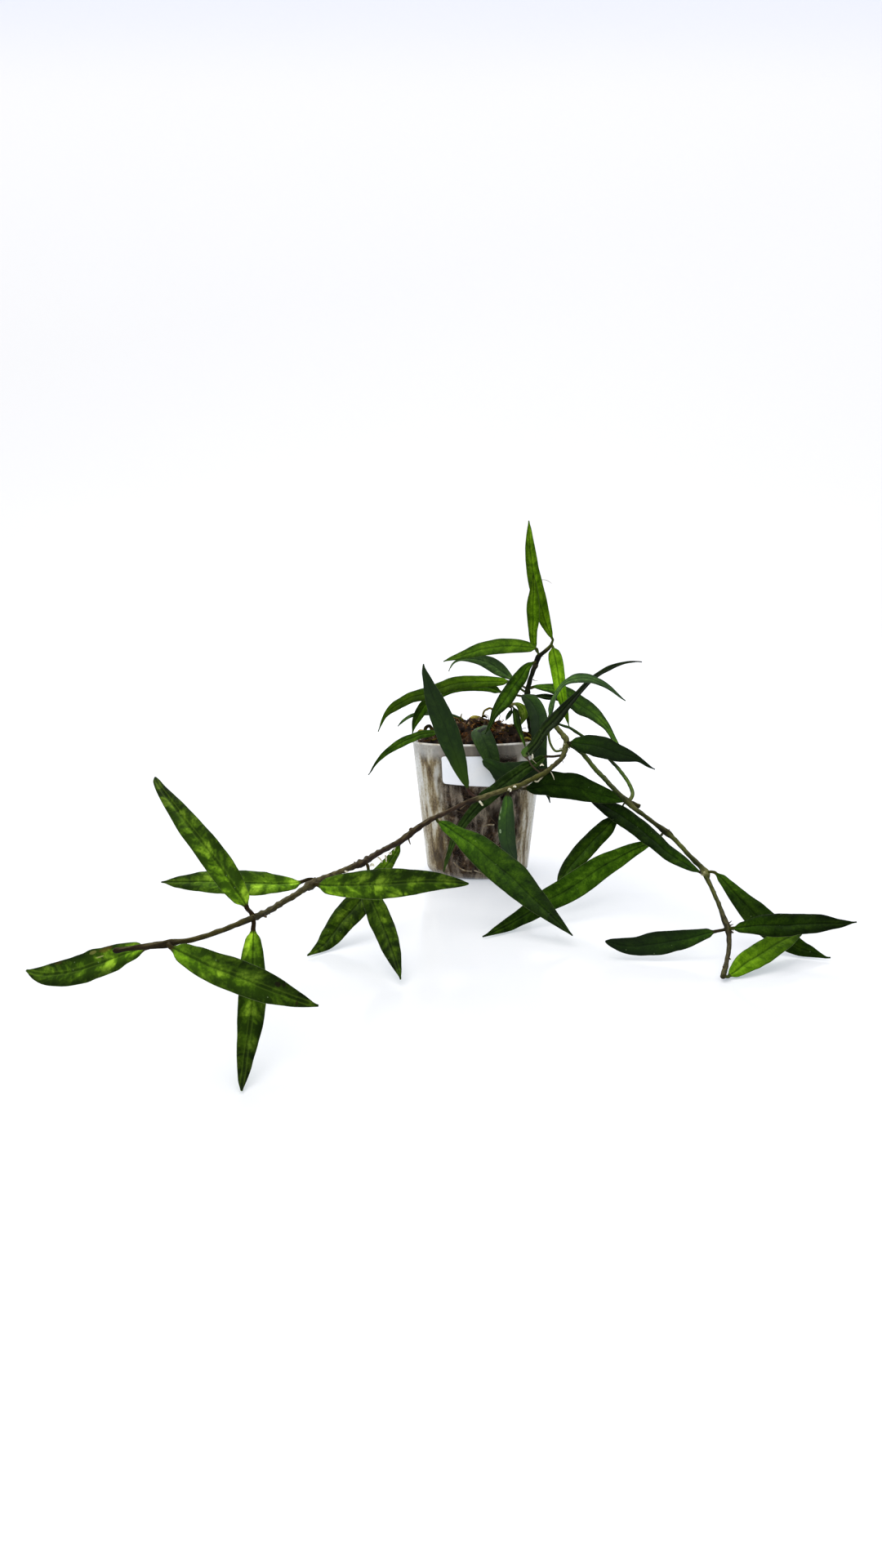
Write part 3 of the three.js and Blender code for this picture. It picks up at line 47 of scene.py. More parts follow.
# ---- leaves: rows from base to tip (mm): the midrib's line, then the half-width vector.
# root is the point on the carrying stem's axis, stalk the stalk's points before the blade.
LEAVES = {
    "leaf_top_tall": {"tone": "bright", "pr": 0.6, "fold": 0.14, "root": (36.66,1.8,116.37),
      "stalk": [(36.88,1.85,117.09)], "rows": [
      (37.38,2,119.05,-0.49,0.23,-0.26), (36.72,2.01,120.26,-0.83,0.39,-0.41), (35.85,2.05,122.18,-1.33,0.61,-0.6),
      (34.82,2.13,124.52,-1.88,0.86,-0.81), (33.68,2.28,127.26,-2.48,1.12,-0.98), (32.6,2.52,130.44,-2.94,1.31,-1.02),
      (31.62,2.85,134.02,-3.18,1.41,-1.02), (30.57,3.31,137.83,-3.4,1.49,-1.04), (29.58,3.89,141.86,-3.44,1.49,-0.98),
      (28.66,4.6,146.03,-3.34,1.43,-0.91), (27.67,5.43,150.22,-3.21,1.36,-0.82), (26.89,6.36,154.43,-3.05,1.28,-0.66),
      (26.38,7.38,158.57,-2.93,1.22,-0.55), (25.96,8.45,162.54,-2.65,1.09,-0.46), (25.63,9.54,166.27,-2.3,0.94,-0.35),
      (25.47,10.61,169.69,-1.88,0.77,-0.24), (25.43,11.63,172.74,-1.43,0.58,-0.17), (25.39,12.55,175.38,-0.98,0.39,-0.12),
      (25.34,13.35,177.55,-0.48,0.19,-0.06), (25.28,14,179.24,-0.28,0.1,-0.05),]},
    "leaf_top_second": {"tone": "bright", "pr": 0.5, "fold": 0.14, "root": (30.89,1.12,110.97),
      "stalk": [(30.3,2.07,111.76)], "rows": [
      (29.04,3.6,113.72,-0.47,0.16,-0.08), (28.69,2.98,114.56,-0.63,0.27,-0.16), (28.14,2.23,115.77,-1.15,0.49,-0.29),
      (27.62,1.37,117.34,-1.56,0.65,-0.3), (27.25,0.43,119.25,-1.85,0.75,-0.23), (27.03,-0.56,121.41,-2.04,0.84,-0.17),
      (26.85,-1.54,123.76,-2.22,0.92,-0.1), (26.84,-2.49,126.25,-2.59,1.1,-0.02), (26.78,-3.37,128.85,-2.91,1.28,-0.03),
      (26.6,-4.15,131.53,-3.09,1.4,-0.06), (26.41,-4.82,134.23,-3.18,1.45,-0.01), (26.41,-5.35,136.89,-2.97,1.37,0.05),
      (26.51,-5.75,139.46,-2.63,1.22,0.04), (26.59,-6.02,141.89,-2.19,1.03,-0.01), (26.58,-6.18,144.17,-1.79,0.85,-0.06),
      (26.52,-6.24,146.25,-1.38,0.66,-0.07), (26.42,-6.23,148.09,-0.98,0.47,-0.06), (26.35,-6.17,149.68,-0.61,0.29,-0.03),
      (26.31,-6.09,150.99,-0.28,0.13,-0.01), (26.29,-6,152.02,-0.27,0.13,-0.02),]},
    "leaf_top_left": {"tone": "bright", "pr": 0.5, "fold": 0.14, "root": (30.59,1.11,110.72),
      "stalk": [(29.99,-0.05,111.85)], "rows": [
      (29.01,-1.4,114.45,-0.04,-0.1,-0.49), (28.34,-1.93,114.62,-0.17,-0.29,-1.17), (26.82,-2.57,114.98,-0.27,-0.49,-1.98),
      (24.78,-3.28,115.27,-0.25,-0.64,-2.59), (22.37,-4.02,115.55,-0.21,-0.76,-3.03), (19.64,-4.76,115.77,-0.13,-0.85,-3.37),
      (16.65,-5.46,115.87,-0.02,-0.91,-3.59), (13.47,-6.06,115.86,0.12,-0.96,-3.74), (10.16,-6.55,115.66,0.28,-0.97,-3.78),
      (6.79,-6.89,115.21,0.4,-0.96,-3.67), (3.43,-7.07,114.65,0.48,-0.93,-3.51), (0.12,-7.09,113.97,0.59,-0.89,-3.3),
      (-2.99,-6.95,113.04,0.6,-0.79,-2.86), (-5.93,-6.67,112.04,0.52,-0.67,-2.39), (-8.68,-6.29,111.11,0.43,-0.56,-1.97),
      (-11.2,-5.83,110.3,0.33,-0.43,-1.55), (-13.47,-5.33,109.61,0.27,-0.32,-1.17), (-15.41,-4.84,108.97,0.2,-0.21,-0.78),
      (-16.97,-4.39,108.37,0.11,-0.1,-0.37), (-18.18,-4,107.86,0.09,-0.08,-0.27),]},
    "leaf_back_upper": {"tone": "blue", "pr": 0.6, "fold": 0.14, "root": (24.97,2,93.83),
      "stalk": [(24.32,3.36,94.16), (21.99,7.5,95.55)], "rows": [
      (19.25,11,97.49,-0.42,-0.12,-0.41), (18.46,11.7,98.09,-0.28,-0.15,-0.37), (17.42,12.57,98.85,-0.61,-0.32,-0.83),
      (16.15,13.58,99.77,-0.97,-0.53,-1.35), (14.64,14.69,100.83,-1.35,-0.77,-1.94), (12.89,15.87,102.02,-1.71,-1,-2.5),
      (10.97,17.08,103.44,-1.99,-1.17,-2.92), (8.87,18.28,105.01,-1.91,-1.26,-3.14), (6.47,19.43,106.36,-1.57,-1.28,-3.22),
      (3.84,20.5,107.39,-1.12,-1.18,-2.97), (1.09,21.47,108.17,-0.72,-1.04,-2.64), (-1.71,22.32,108.62,-0.38,-0.88,-2.23),
      (-4.5,23.03,108.77,-0.13,-0.71,-1.82), (-7.15,23.61,108.7,0.07,-0.54,-1.36), (-9.58,24.07,108.18,0.18,-0.35,-0.83),
      (-11.66,24.41,107.2,0.24,-0.25,-0.54), (-13.23,24.66,105.87,0.28,-0.2,-0.37), (-14.2,24.83,104.37,0.28,-0.16,-0.24),
      (-14.87,24.94,103.05,0.15,-0.08,-0.1), (-15.28,25,101.97,0.25,-0.12,-0.1),]},
    "leaf_front_droop": {"tone": "mid", "pr": 0.6, "fold": 0.14, "root": (29.23,1.24,107.57),
      "stalk": [(28.53,-0.29,107.62)], "rows": [
      (27.74,-2,107.56,0.28,-0.12,-0.52), (26.79,-2.77,107.22,0.37,-0.17,-0.7), (25.51,-3.77,106.5,0.83,-0.29,-1.2),
      (24.07,-5,105.33,1.33,-0.36,-1.52), (22.73,-6.46,103.74,2.02,-0.45,-1.79), (21.45,-8.14,101.72,2.54,-0.58,-2),
      (19.81,-10.04,99.59,2.81,-0.72,-2.21), (17.96,-12.12,97.4,2.88,-0.75,-2.2), (16.11,-14.38,95.06,2.95,-0.72,-2.11),
      (14.39,-16.77,92.57,3.1,-0.75,-2.1), (12.59,-19.25,90.12,3.1,-0.81,-2.11), (10.64,-21.79,87.88,2.75,-0.76,-1.85),
      (8.79,-24.34,85.73,2.3,-0.62,-1.46), (7.11,-26.83,83.66,1.85,-0.45,-1.05), (5.92,-29.23,81.56,1.26,-0.25,-0.69),
      (4.98,-31.47,79.54,1.01,-0.2,-0.56), (3.98,-33.5,77.81,0.86,-0.19,-0.47), (3.09,-35.29,76.36,0.57,-0.13,-0.32),
      (2.35,-36.8,75.2,0.27,-0.06,-0.15), (1.76,-38,74.3,0.27,-0.04,-0.13),]},
    "leaf_bright_hanging": {"tone": "bright", "pr": 0.6, "fold": 0.14, "root": (36.55,1.76,116.21),
      "stalk": [(37.21,0.78,115.65)], "rows": [
      (37.32,0,115.24,0.55,-0.12,0.21), (37.33,-0.6,114.88,1.04,-0.39,0.3), (37.39,-1.34,113.96,2.1,-0.84,0.54), (37.58,-2.21,112.36,2.74,-1.11,0.75),
      (38,-3.17,110.42,3.17,-1.29,0.94), (38.47,-4.21,108.19,3.33,-1.38,0.97), (38.94,-5.3,105.74,3.27,-1.39,0.9), (39.28,-6.39,103.1,3.19,-1.39,0.81),
      (39.57,-7.47,100.32,3.07,-1.35,0.78), (39.92,-8.51,97.48,2.92,-1.29,0.79), (40.4,-9.47,94.64,2.75,-1.21,0.78),
      (40.92,-10.36,91.84,2.5,-1.11,0.74), (41.49,-11.15,89.14,2.19,-0.98,0.67), (42.09,-11.83,86.57,1.84,-0.83,0.57),
      (42.68,-12.41,84.18,1.53,-0.69,0.47), (43.21,-12.9,81.99,1.21,-0.55,0.37), (43.67,-13.29,80.04,0.87,-0.4,0.27),
      (44.09,-13.6,78.37,0.55,-0.25,0.17), (44.45,-13.83,76.98,0.25,-0.11,0.08), (44.74,-14,75.9,0.26,-0.12,0.09),]},
    "leaf_left_arc": {"tone": "bright", "pr": 0.6, "fold": 0.14, "root": (24.64,2,92),
      "stalk": [(22.99,2.33,92.87), (20.03,3.6,95.1)], "rows": [
      (15.96,6,97.48,-0.03,-0.3,-0.52), (14.39,6.14,97.5,-0.01,-0.8,-1.38), (11.75,6.32,97.49,0.03,-1.17,-2.02), (8.49,6.54,97.47,0.08,-1.41,-2.43),
      (4.7,6.81,97.43,0.15,-1.6,-2.76), (0.44,7.12,97.34,0.24,-1.79,-3.08), (-4.23,7.48,97.17,0.38,-1.89,-3.23), (-9.22,7.87,96.73,0.61,-1.97,-3.35),
      (-14.37,8.3,95.73,0.93,-1.99,-3.32), (-19.43,8.76,93.84,1.12,-1.87,-3.04), (-24.48,9.24,91.71,1.08,-1.76,-2.87),
      (-29.73,9.74,90.31,1.08,-1.78,-2.89), (-34.84,10.25,88.98,1.24,-1.58,-2.47), (-39.27,10.74,86.52,1.41,-1.48,-2.2),
      (-43.43,11.22,84.19,1.49,-1.38,-1.95), (-46.75,11.67,81.46,1.24,-0.96,-1.18), (-49.04,12.08,78.38,0.8,-0.55,-0.57),
      (-50.49,12.45,75.32,0.58,-0.38,-0.34), (-51.54,12.75,72.72,0.29,-0.19,-0.15), (-52.33,13,70.66,0.24,-0.15,-0.11),]},
    "leaf_left_under": {"tone": "mid", "pr": 0.6, "fold": 0.14, "root": (24.6,2,89.74),
      "stalk": [(23.73,3.25,89.84), (19.17,8.5,90.43)], "rows": [
      (12.53,11,91.54,-0.25,-0.26,-0.48), (11.29,11.36,92,-0.35,-0.5,-0.91), (9.48,11.8,92.68,-0.63,-0.91,-1.66), (7.17,12.33,93.68,-0.61,-1.1,-2.03),
      (4.31,12.94,94.31,-0.43,-1.24,-2.33), (1.02,13.61,94.66,-0.22,-1.33,-2.53), (-2.61,14.32,94.71,-0.01,-1.31,-2.51),
      (-6.5,15.08,94.64,0.25,-1.33,-2.54), (-10.53,15.85,93.97,0.54,-1.27,-2.38), (-14.57,16.62,92.79,0.79,-1.2,-2.18),
      (-18.51,17.38,91.12,1.03,-1.17,-2.02), (-22.24,18.11,89.07,1.34,-1.23,-1.97), (-25.53,18.81,86.54,1.73,-1.35,-1.97),
      (-28.33,19.46,83.71,2.15,-1.48,-1.89), (-30.42,20.05,80.6,2.34,-1.46,-1.59), (-31.99,20.58,77.57,2.07,-1.23,-1.18),
      (-33.23,21.04,74.84,1.57,-0.89,-0.72), (-33.91,21.43,72.37,0.95,-0.53,-0.35), (-34.33,21.75,70.27,0.42,-0.23,-0.13),
      (-34.56,22,68.59,0.26,-0.14,-0.06),]},
    "leaf_left_thin": {"tone": "blue", "pr": 0.75, "fold": 0.14, "root": None,
      "stalk": [(-1.2,25.4,72.1)], "rows": [
      (-3.49,27,72.86,-0.15,-0.46,-0.57), (-4.45,27.19,72.97,-0.15,-0.48,-0.61), (-5.74,27.41,73.52,-0.42,-0.81,-0.92),
      (-7.07,27.66,74.73,-0.48,-0.89,-0.95), (-8.74,27.93,75.98,-0.45,-0.95,-1.1), (-10.87,28.19,76.99,-0.33,-0.94,-1.15),
      (-13.31,28.44,77.82,-0.22,-0.93,-1.16), (-15.98,28.66,78.5,-0.15,-0.94,-1.17), (-18.82,28.83,79.1,-0.06,-0.98,-1.23),
      (-21.78,28.96,79.35,0.04,-0.99,-1.25), (-24.78,29.03,79.44,0.13,-1,-1.25), (-27.76,29.04,79.35,0.22,-0.97,-1.2),
      (-30.63,29,79.02,0.29,-0.88,-1.06), (-33.36,28.91,78.59,0.37,-0.8,-0.94), (-35.81,28.78,77.79,0.44,-0.7,-0.78),
      (-37.85,28.62,76.6,0.48,-0.61,-0.64), (-39.54,28.46,75.36,0.49,-0.56,-0.55), (-40.87,28.29,74.14,0.41,-0.43,-0.39),
      (-41.9,28.13,73.07,0.22,-0.22,-0.19), (-42.64,28,72.2,0.2,-0.18,-0.14),]},
    "leaf_left_lower": {"tone": "mid", "pr": 0.75, "fold": 0.14, "root": None,
      "stalk": [(-18,-14.4,73.55)], "rows": [
      (-20.1,-16,73.19,-0.04,-0.44,-0.61), (-21,-15.84,73.14,0.05,-0.57,-0.75), (-22.38,-15.63,72.89,0.16,-0.99,-1.29),
      (-24.18,-15.4,72.61,0.19,-1.16,-1.52), (-26.3,-15.13,72.37,0.25,-1.32,-1.73), (-28.67,-14.84,72.02,0.4,-1.41,-1.82),
      (-31.17,-14.54,71.21,0.58,-1.44,-1.81), (-33.75,-14.24,70.07,0.7,-1.55,-1.93), (-36.53,-13.93,69.06,0.81,-1.59,-1.95),
      (-39.22,-13.64,67.62,0.93,-1.56,-1.85), (-41.89,-13.36,66.08,0.96,-1.45,-1.67), (-44.4,-13.11,64.35,0.88,-1.21,-1.36),
      (-46.8,-12.88,62.58,0.84,-1.06,-1.15), (-48.92,-12.68,60.69,0.78,-0.9,-0.92), (-50.72,-12.5,58.72,0.59,-0.64,-0.62),
      (-52.22,-12.35,56.79,0.46,-0.48,-0.44), (-53.42,-12.23,54.97,0.36,-0.36,-0.3), (-54.33,-12.13,53.31,0.3,-0.29,-0.23),
      (-55.16,-12.06,51.99,0.17,-0.16,-0.14), (-55.89,-12,51.01,0.19,-0.18,-0.15),]},
    "leaf_vine_upright": {"tone": "dark", "pr": 0.75, "fold": 0.14, "root": (-1.88,-69.59,48.08),
      "stalk": [(-2.81,-68.28,48.42), (-5.08,-66,49.21)], "rows": [
      (-6.81,-65,51.24,-0.69,0.24,-0.16), (-7.26,-65.31,52.73,-0.8,0.3,-0.25), (-7.98,-65.67,54.71,-1.49,0.57,-0.52),
      (-8.96,-66.03,57.12,-2.07,0.8,-0.76), (-10.02,-66.37,59.93,-2.73,1.06,-0.98), (-11.08,-66.63,63.11,-3.42,1.33,-1.21),
      (-12.29,-66.78,66.57,-4,1.57,-1.51), (-13.76,-66.78,70.23,-4.36,1.73,-1.71), (-15.23,-66.61,74.05,-4.78,1.89,-1.85),
      (-16.64,-66.25,78,-5.04,1.99,-2), (-18.19,-65.7,81.93,-4.8,1.88,-2.02), (-19.87,-64.96,85.75,-4.56,1.76,-1.94),
      (-21.4,-64.07,89.49,-4.28,1.63,-1.76), (-22.75,-63.04,93.07,-3.69,1.38,-1.53), (-24.16,-61.94,96.31,-2.96,1.07,-1.15),
      (-25.18,-60.81,99.37,-2.31,0.82,-0.81), (-26.08,-59.7,102.12,-1.74,0.59,-0.58), (-26.91,-58.67,104.48,-1.21,0.4,-0.32),
      (-27.3,-57.75,106.47,-0.62,0.2,-0.1), (-27.38,-57,108.03,-0.28,0.09,-0.06),]},
    "leaf_mid_hanging": {"tone": "dark", "pr": 0.6, "fold": 0.14, "root": (24.59,2,90.23),
      "stalk": [(24.03,0.38,90.34)], "rows": [
      (22.24,-4,90.81,0.56,-0.01,0.21), (22.25,-5.8,90.74,1.4,-0.07,0.53), (23.45,-7.99,89.95,1.98,-0.23,1.65), (25.09,-10.46,88.69,2.62,-0.55,2.36),
      (26.62,-13.11,86.66,3.27,-0.9,2.6), (27.89,-15.82,84,3.71,-1.19,2.48), (28.68,-18.45,80.85,3.96,-1.44,2.16), (28.85,-20.89,77.33,3.83,-1.5,1.79),
      (28.86,-23.03,73.62,3.67,-1.43,1.56), (28.9,-24.79,69.79,3.47,-1.31,1.37), (29.07,-26.1,65.9,3.27,-1.15,1.22),
      (29.37,-26.95,62.02,2.99,-0.98,1.09), (29.84,-27.34,58.21,2.67,-0.81,0.97), (30.43,-27.32,54.53,2.35,-0.66,0.86),
      (31.14,-26.95,51.07,2.01,-0.52,0.76), (31.95,-26.31,47.88,1.64,-0.41,0.65), (32.83,-25.5,45.04,1.24,-0.3,0.51),
      (33.77,-24.62,42.6,0.84,-0.2,0.32), (34.41,-23.76,40.54,0.39,-0.09,0.14), (34.9,-23,38.89,0.29,-0.05,0.06),]},
    "leaf_right_arch": {"tone": "mid", "pr": 0.75, "fold": 0.14, "root": (25.05,2,94.12),
      "stalk": [(26.09,3.31,94.14)], "rows": [
      (27.25,4.5,94.45,-0.29,0.31,0.62), (28.72,5.03,94.88,-0.18,0.45,0.82), (30.92,5.59,94.78,-0.03,0.72,1.33), (33.6,6.13,94.49,0.11,0.96,1.79),
      (36.68,6.53,94.16,0.34,1.23,2.25), (40.03,6.73,93.41,0.84,1.6,2.83), (43.45,6.62,91.92,1.55,1.97,3.34), (46.89,6.14,89.9,2.21,2.17,3.53),
      (50.18,5.23,87.34,2.54,2.17,3.49), (53.61,3.86,84.94,2.88,2.32,3.71), (57.09,2.03,82.76,2.7,1.94,3.09), (60.17,-0.23,80.29,2.33,1.43,2.28),
      (62.83,-2.85,77.61,1.89,1.01,1.64), (65.05,-5.74,74.86,1.44,0.66,1.11), (66.56,-8.79,71.97,1.13,0.46,0.8), (67.74,-11.87,69.26,1.08,0.41,0.66),
      (68.8,-14.85,66.95,0.97,0.36,0.52), (69.67,-17.61,64.99,0.76,0.27,0.36), (70.27,-20.02,63.38,0.39,0.13,0.17), (70.68,-22,62.13,0.29,0.02,0.07),]},
    "leaf_right_low": {"tone": "blue", "pr": 0.75, "fold": 0.14, "root": (24.61,2,90.92),
      "stalk": [(25.56,3.31,90.77)], "rows": [
      (28.11,6.5,90.15,-0.17,0.47,0.56), (29.16,6.94,90.1,-0.02,0.33,0.35), (30.52,7.47,90.01,-0.02,0.68,0.7), (32.18,8.06,89.87,0,1.01,1.04),
      (34.11,8.67,89.7,0.03,1.32,1.34), (36.31,9.27,89.5,0.09,1.43,1.44), (38.7,9.83,89.23,0.17,1.36,1.35), (41.22,10.31,88.79,0.28,1.28,1.25),
      (43.76,10.69,87.89,0.42,1.3,1.23), (46.28,10.93,86.79,0.54,1.36,1.24), (48.72,11.03,85.51,0.67,1.41,1.24), (51.07,11,84.13,0.78,1.45,1.24),
      (53.28,10.82,82.71,0.86,1.45,1.19), (55.32,10.53,81.28,0.89,1.38,1.1), (57.18,10.15,79.9,0.83,1.2,0.94), (58.84,9.71,78.63,0.7,0.98,0.76),
      (60.32,9.24,77.54,0.54,0.74,0.57), (61.61,8.78,76.64,0.35,0.47,0.36), (62.67,8.36,75.91,0.17,0.22,0.17), (63.51,8,75.35,0.18,0.19,0.14),]},
    "leaf_front_blue": {"tone": "blue", "pr": 0.55, "fold": 0.32, "root": (26.84,-61.69,58.06),
      "stalk": [(25.84,-60.65,58.9), (22.58,-57,61.78)], "rows": [
      (20.9,-54,64.46,-0.38,-0.02,-0.4), (20.51,-53.54,64.8,-1.66,0.36,-1.04), (20.32,-52.9,66.15,-2.88,0.94,-0.57),
      (22.31,-52.03,68.52,-2.72,0.94,-0.15), (24.78,-50.9,71.28,-2.65,0.9,-0.15), (27.15,-49.48,74.67,-2.63,0.85,-0.08),
      (29.84,-47.74,78.32,-2.74,0.9,0.28), (33.51,-45.66,81.59,-2.95,0.91,0.75), (37.07,-43.24,85.35,-2.62,0.79,0.63),
      (40.86,-40.49,89.15,-2.06,0.67,0.39), (44.83,-37.45,92.95,-1.56,0.54,0.18), (48.81,-34.17,96.78,-1.34,0.45,0.25),
      (52.96,-30.73,100.35,-1.22,0.4,0.45), (57.53,-27.21,103.16,-1.02,0.34,0.59), (62.2,-23.71,105.35,-0.93,0.31,0.89),
      (66.76,-20.34,106.93,-0.64,0.24,0.73), (71.05,-17.2,107.91,-0.39,0.17,0.53), (74.93,-14.37,108.31,-0.22,0.12,0.48),
      (78.22,-11.95,108.36,-0.08,0.06,0.31), (80.83,-10,108.15,-0.04,0.09,0.28),]},
    "leaf_right_curl": {"tone": "blue", "pr": 0.6, "fold": 0.2, "root": (40.46,-34.61,66.71),
      "stalk": [(39.05,-33.51,66.22), (36.14,-31.5,65.68), (34.21,-30.5,68.15), (33.08,-30.5,71.72), (32.79,-30.5,76.88)], "rows": [
      (32.85,-31,82.06,-0.44,0.29,0.29), (33.11,-31.83,83.26,-0.65,0.48,0.33), (33.26,-32.85,85.07,-1.07,0.79,0.49),
      (33.51,-33.99,87.28,-1.17,0.9,0.62), (34,-35.22,89.77,-0.93,0.81,0.67), (34.91,-36.48,92.42,-0.64,0.7,0.68), (36.23,-37.7,95.16,-0.58,0.76,0.81),
      (37.99,-38.84,97.84,-0.41,0.75,0.91), (40.58,-39.84,99.8,-0.35,0.98,1.36), (43.7,-40.66,101,-0.23,1.38,2.05),
      (47.1,-41.28,101.36,0.05,1.48,2.23), (50.53,-41.69,101.19,0.32,1.37,2.04), (53.68,-41.89,100.05,0.38,1.11,1.57),
      (56.68,-41.9,98.77,0.43,0.99,1.37), (59.34,-41.75,97.22,0.45,0.85,1.13), (61.63,-41.47,95.54,0.39,0.68,0.87), (63.59,-41.12,93.92,0.29,0.5,0.64),
      (65.31,-40.72,92.5,0.23,0.37,0.48), (66.78,-40.34,91.37,0.13,0.21,0.29), (68.01,-40,90.61,0.1,0.16,0.23),]},
    "leaf_pot_blue": {"tone": "dark", "pr": 0.6, "fold": 0.14, "root": (33.13,-52.22,60.93),
      "stalk": [(32.21,-50.8,60.24), (30.1,-46,58.52)], "rows": [
      (29.05,-41,57.49,0.06,-0.11,-0.59), (28.54,-40.88,57.41,0.02,-0.12,-0.76), (27.81,-40.73,57.33,0,-0.25,-1.67),
      (26.81,-40.56,57.25,-0.04,-0.4,-2.65), (25.47,-40.38,57.16,-0.05,-0.54,-3.58), (23.83,-40.2,57.01,0,-0.66,-4.38),
      (21.96,-40.03,56.77,0.16,-0.78,-5.02), (19.89,-39.87,56.3,0.27,-0.83,-5.3), (17.7,-39.74,55.76,0.06,-0.84,-5.49),
      (15.39,-39.64,55.54,-0.31,-0.82,-5.61), (13.04,-39.57,55.48,-0.72,-0.81,-5.63), (10.75,-39.54,55.8,-1.43,-0.77,-5.36),
      (8.82,-39.53,56.76,-1.74,-0.68,-4.34), (7.22,-39.56,57.95,-1.41,-0.57,-3.41), (5.67,-39.62,59.06,-1.01,-0.48,-2.83),
      (4.13,-39.69,60.01,-0.76,-0.41,-2.49), (2.69,-39.77,60.72,-0.57,-0.35,-2.13), (1.49,-39.85,61.29,-0.36,-0.27,-1.68),
      (0.8,-39.93,61.48,-0.12,-0.13,-0.83), (0.44,-40,61.58,-0.07,-0.05,-0.29),]},
    "leaf_channelled": {"tone": "blue", "pr": 0.6, "fold": 0.3, "root": (39.18,-38.75,64.53),
      "stalk": [(37.41,-38.75,64.21), (34.54,-39.5,63.88)], "rows": [
      (30.88,-41,63.96,0.17,-0.13,-0.56), (29.34,-42.02,63.73,0.52,-0.25,-1.36), (27.14,-43.26,62.41,0.93,-0.36,-1.78),
      (24.3,-44.66,60.87,1.07,-0.45,-1.97), (20.96,-46.15,59.25,1.44,-0.57,-2.36), (17.49,-47.67,57,1.72,-0.63,-2.51),
      (13.73,-49.14,54.49,1.92,-0.69,-2.6), (9.82,-50.5,51.68,2.04,-0.72,-2.57), (5.8,-51.67,48.66,2.06,-0.73,-2.48),
      (1.65,-52.62,45.62,2.41,-0.8,-2.64), (-2.01,-53.31,42.02,1.91,-0.58,-1.82), (-5.44,-53.73,38.13,1.8,-0.52,-1.52),
      (-8.51,-53.89,34.08,1.66,-0.46,-1.22), (-11.11,-53.81,29.91,1.63,-0.43,-1.02), (-13.2,-53.53,25.77,1.53,-0.39,-0.78),
      (-14.59,-53.1,21.72,1.16,-0.3,-0.52), (-15.7,-52.57,18,0.95,-0.24,-0.39), (-16.72,-52.01,14.78,0.83,-0.2,-0.29),
      (-17.32,-51.47,12.03,0.42,-0.1,-0.13), (-17.78,-51,9.86,0.28,-0.07,-0.07),]},
    "leaf_pot_hanging": {"tone": "dark", "pr": 0.6, "fold": 0.14, "root": (11.71,-66.87,52.28),
      "stalk": [(11.59,-66.1,50.56)], "rows": [
      (11.05,-66,50.13,0.56,-0.2,-0.08), (11.03,-65.94,49.83,0.86,-0.33,0.06), (11.08,-65.84,49.03,1.7,-0.66,0.2), (11.21,-65.7,47.61,2.03,-0.79,0.24),
      (11.23,-65.51,45.93,2.29,-0.88,0.22), (11.17,-65.24,44.02,2.55,-0.97,0.21), (11,-64.9,41.95,2.91,-1.08,0.21),
      (10.85,-64.47,39.72,3.37,-1.24,0.28), (10.8,-63.95,37.32,3.6,-1.3,0.4), (10.83,-63.34,34.82,3.66,-1.3,0.52), (10.91,-62.64,32.27,3.7,-1.29,0.65),
      (11.13,-61.88,29.73,3.7,-1.27,0.82), (11.49,-61.07,27.25,3.6,-1.23,1), (12.03,-60.23,24.9,3.35,-1.16,1.16), (12.72,-59.39,22.76,2.95,-1.04,1.26),
      (13.56,-58.56,20.92,2.39,-0.88,1.25), (14.49,-57.79,19.42,1.8,-0.68,1.05), (15.27,-57.09,18.21,1.13,-0.42,0.7),
      (15.94,-56.49,17.28,0.51,-0.19,0.34), (16.47,-56,16.58,0.25,-0.08,0.14),]},
    "leaf_young_narrow": {"tone": "mid", "pr": 0.45, "fold": 0.14, "root": (15.09,-6.8,86.17),
      "stalk": [(15.49,-7.69,85.96)], "rows": [
      (16.96,-11,85.18,0.39,-0.04,0.23), (17.05,-11.58,84.94,0.47,-0.11,0.24), (17.22,-12.33,84.5,0.95,-0.24,0.52),
      (17.53,-13.23,83.8,1.28,-0.37,0.69), (17.79,-14.28,82.85,1.43,-0.45,0.7), (17.97,-15.46,81.76,1.54,-0.51,0.7),
      (18.11,-16.77,80.56,1.66,-0.55,0.71), (18.21,-18.18,79.27,1.74,-0.56,0.73), (18.41,-19.67,77.95,1.69,-0.5,0.76),
      (18.78,-21.21,76.65,1.5,-0.41,0.7), (19.19,-22.79,75.37,1.28,-0.34,0.59), (19.57,-24.37,74.1,1.11,-0.29,0.5),
      (19.97,-25.91,72.88,0.95,-0.24,0.42), (20.35,-27.41,71.72,0.81,-0.2,0.34), (20.69,-28.81,70.64,0.68,-0.16,0.27),
      (21.01,-30.11,69.67,0.59,-0.14,0.22), (21.21,-31.27,68.78,0.44,-0.11,0.14), (21.31,-32.29,68.01,0.27,-0.07,0.08),
      (21.38,-33.13,67.37,0.12,-0.03,0.03), (21.42,-33.8,66.86,0.28,-0.05,0.09),]},
    "leaf_young_olive": {"tone": "olive", "pr": 0.6, "fold": 0.14, "root": (15.09,-6.8,86.17),
      "stalk": [(15.74,-6.37,86.32)], "rows": [
      (17.19,-5.4,86.54,0.11,-0.36,0.47), (17.88,-5,86.68,0.23,-0.48,0.68), (18.56,-4.6,86.64,0.42,-0.45,0.84), (19.23,-4.21,86.44,0.64,-0.43,0.97),
      (19.86,-3.85,86.11,0.88,-0.42,1.07), (20.46,-3.52,85.69,1.13,-0.42,1.13), (21.02,-3.24,85.19,1.42,-0.44,1.17),
      (21.52,-2.99,84.62,1.72,-0.47,1.16), (21.96,-2.76,83.99,1.96,-0.47,1.06), (22.33,-2.54,83.31,2.11,-0.46,0.88),
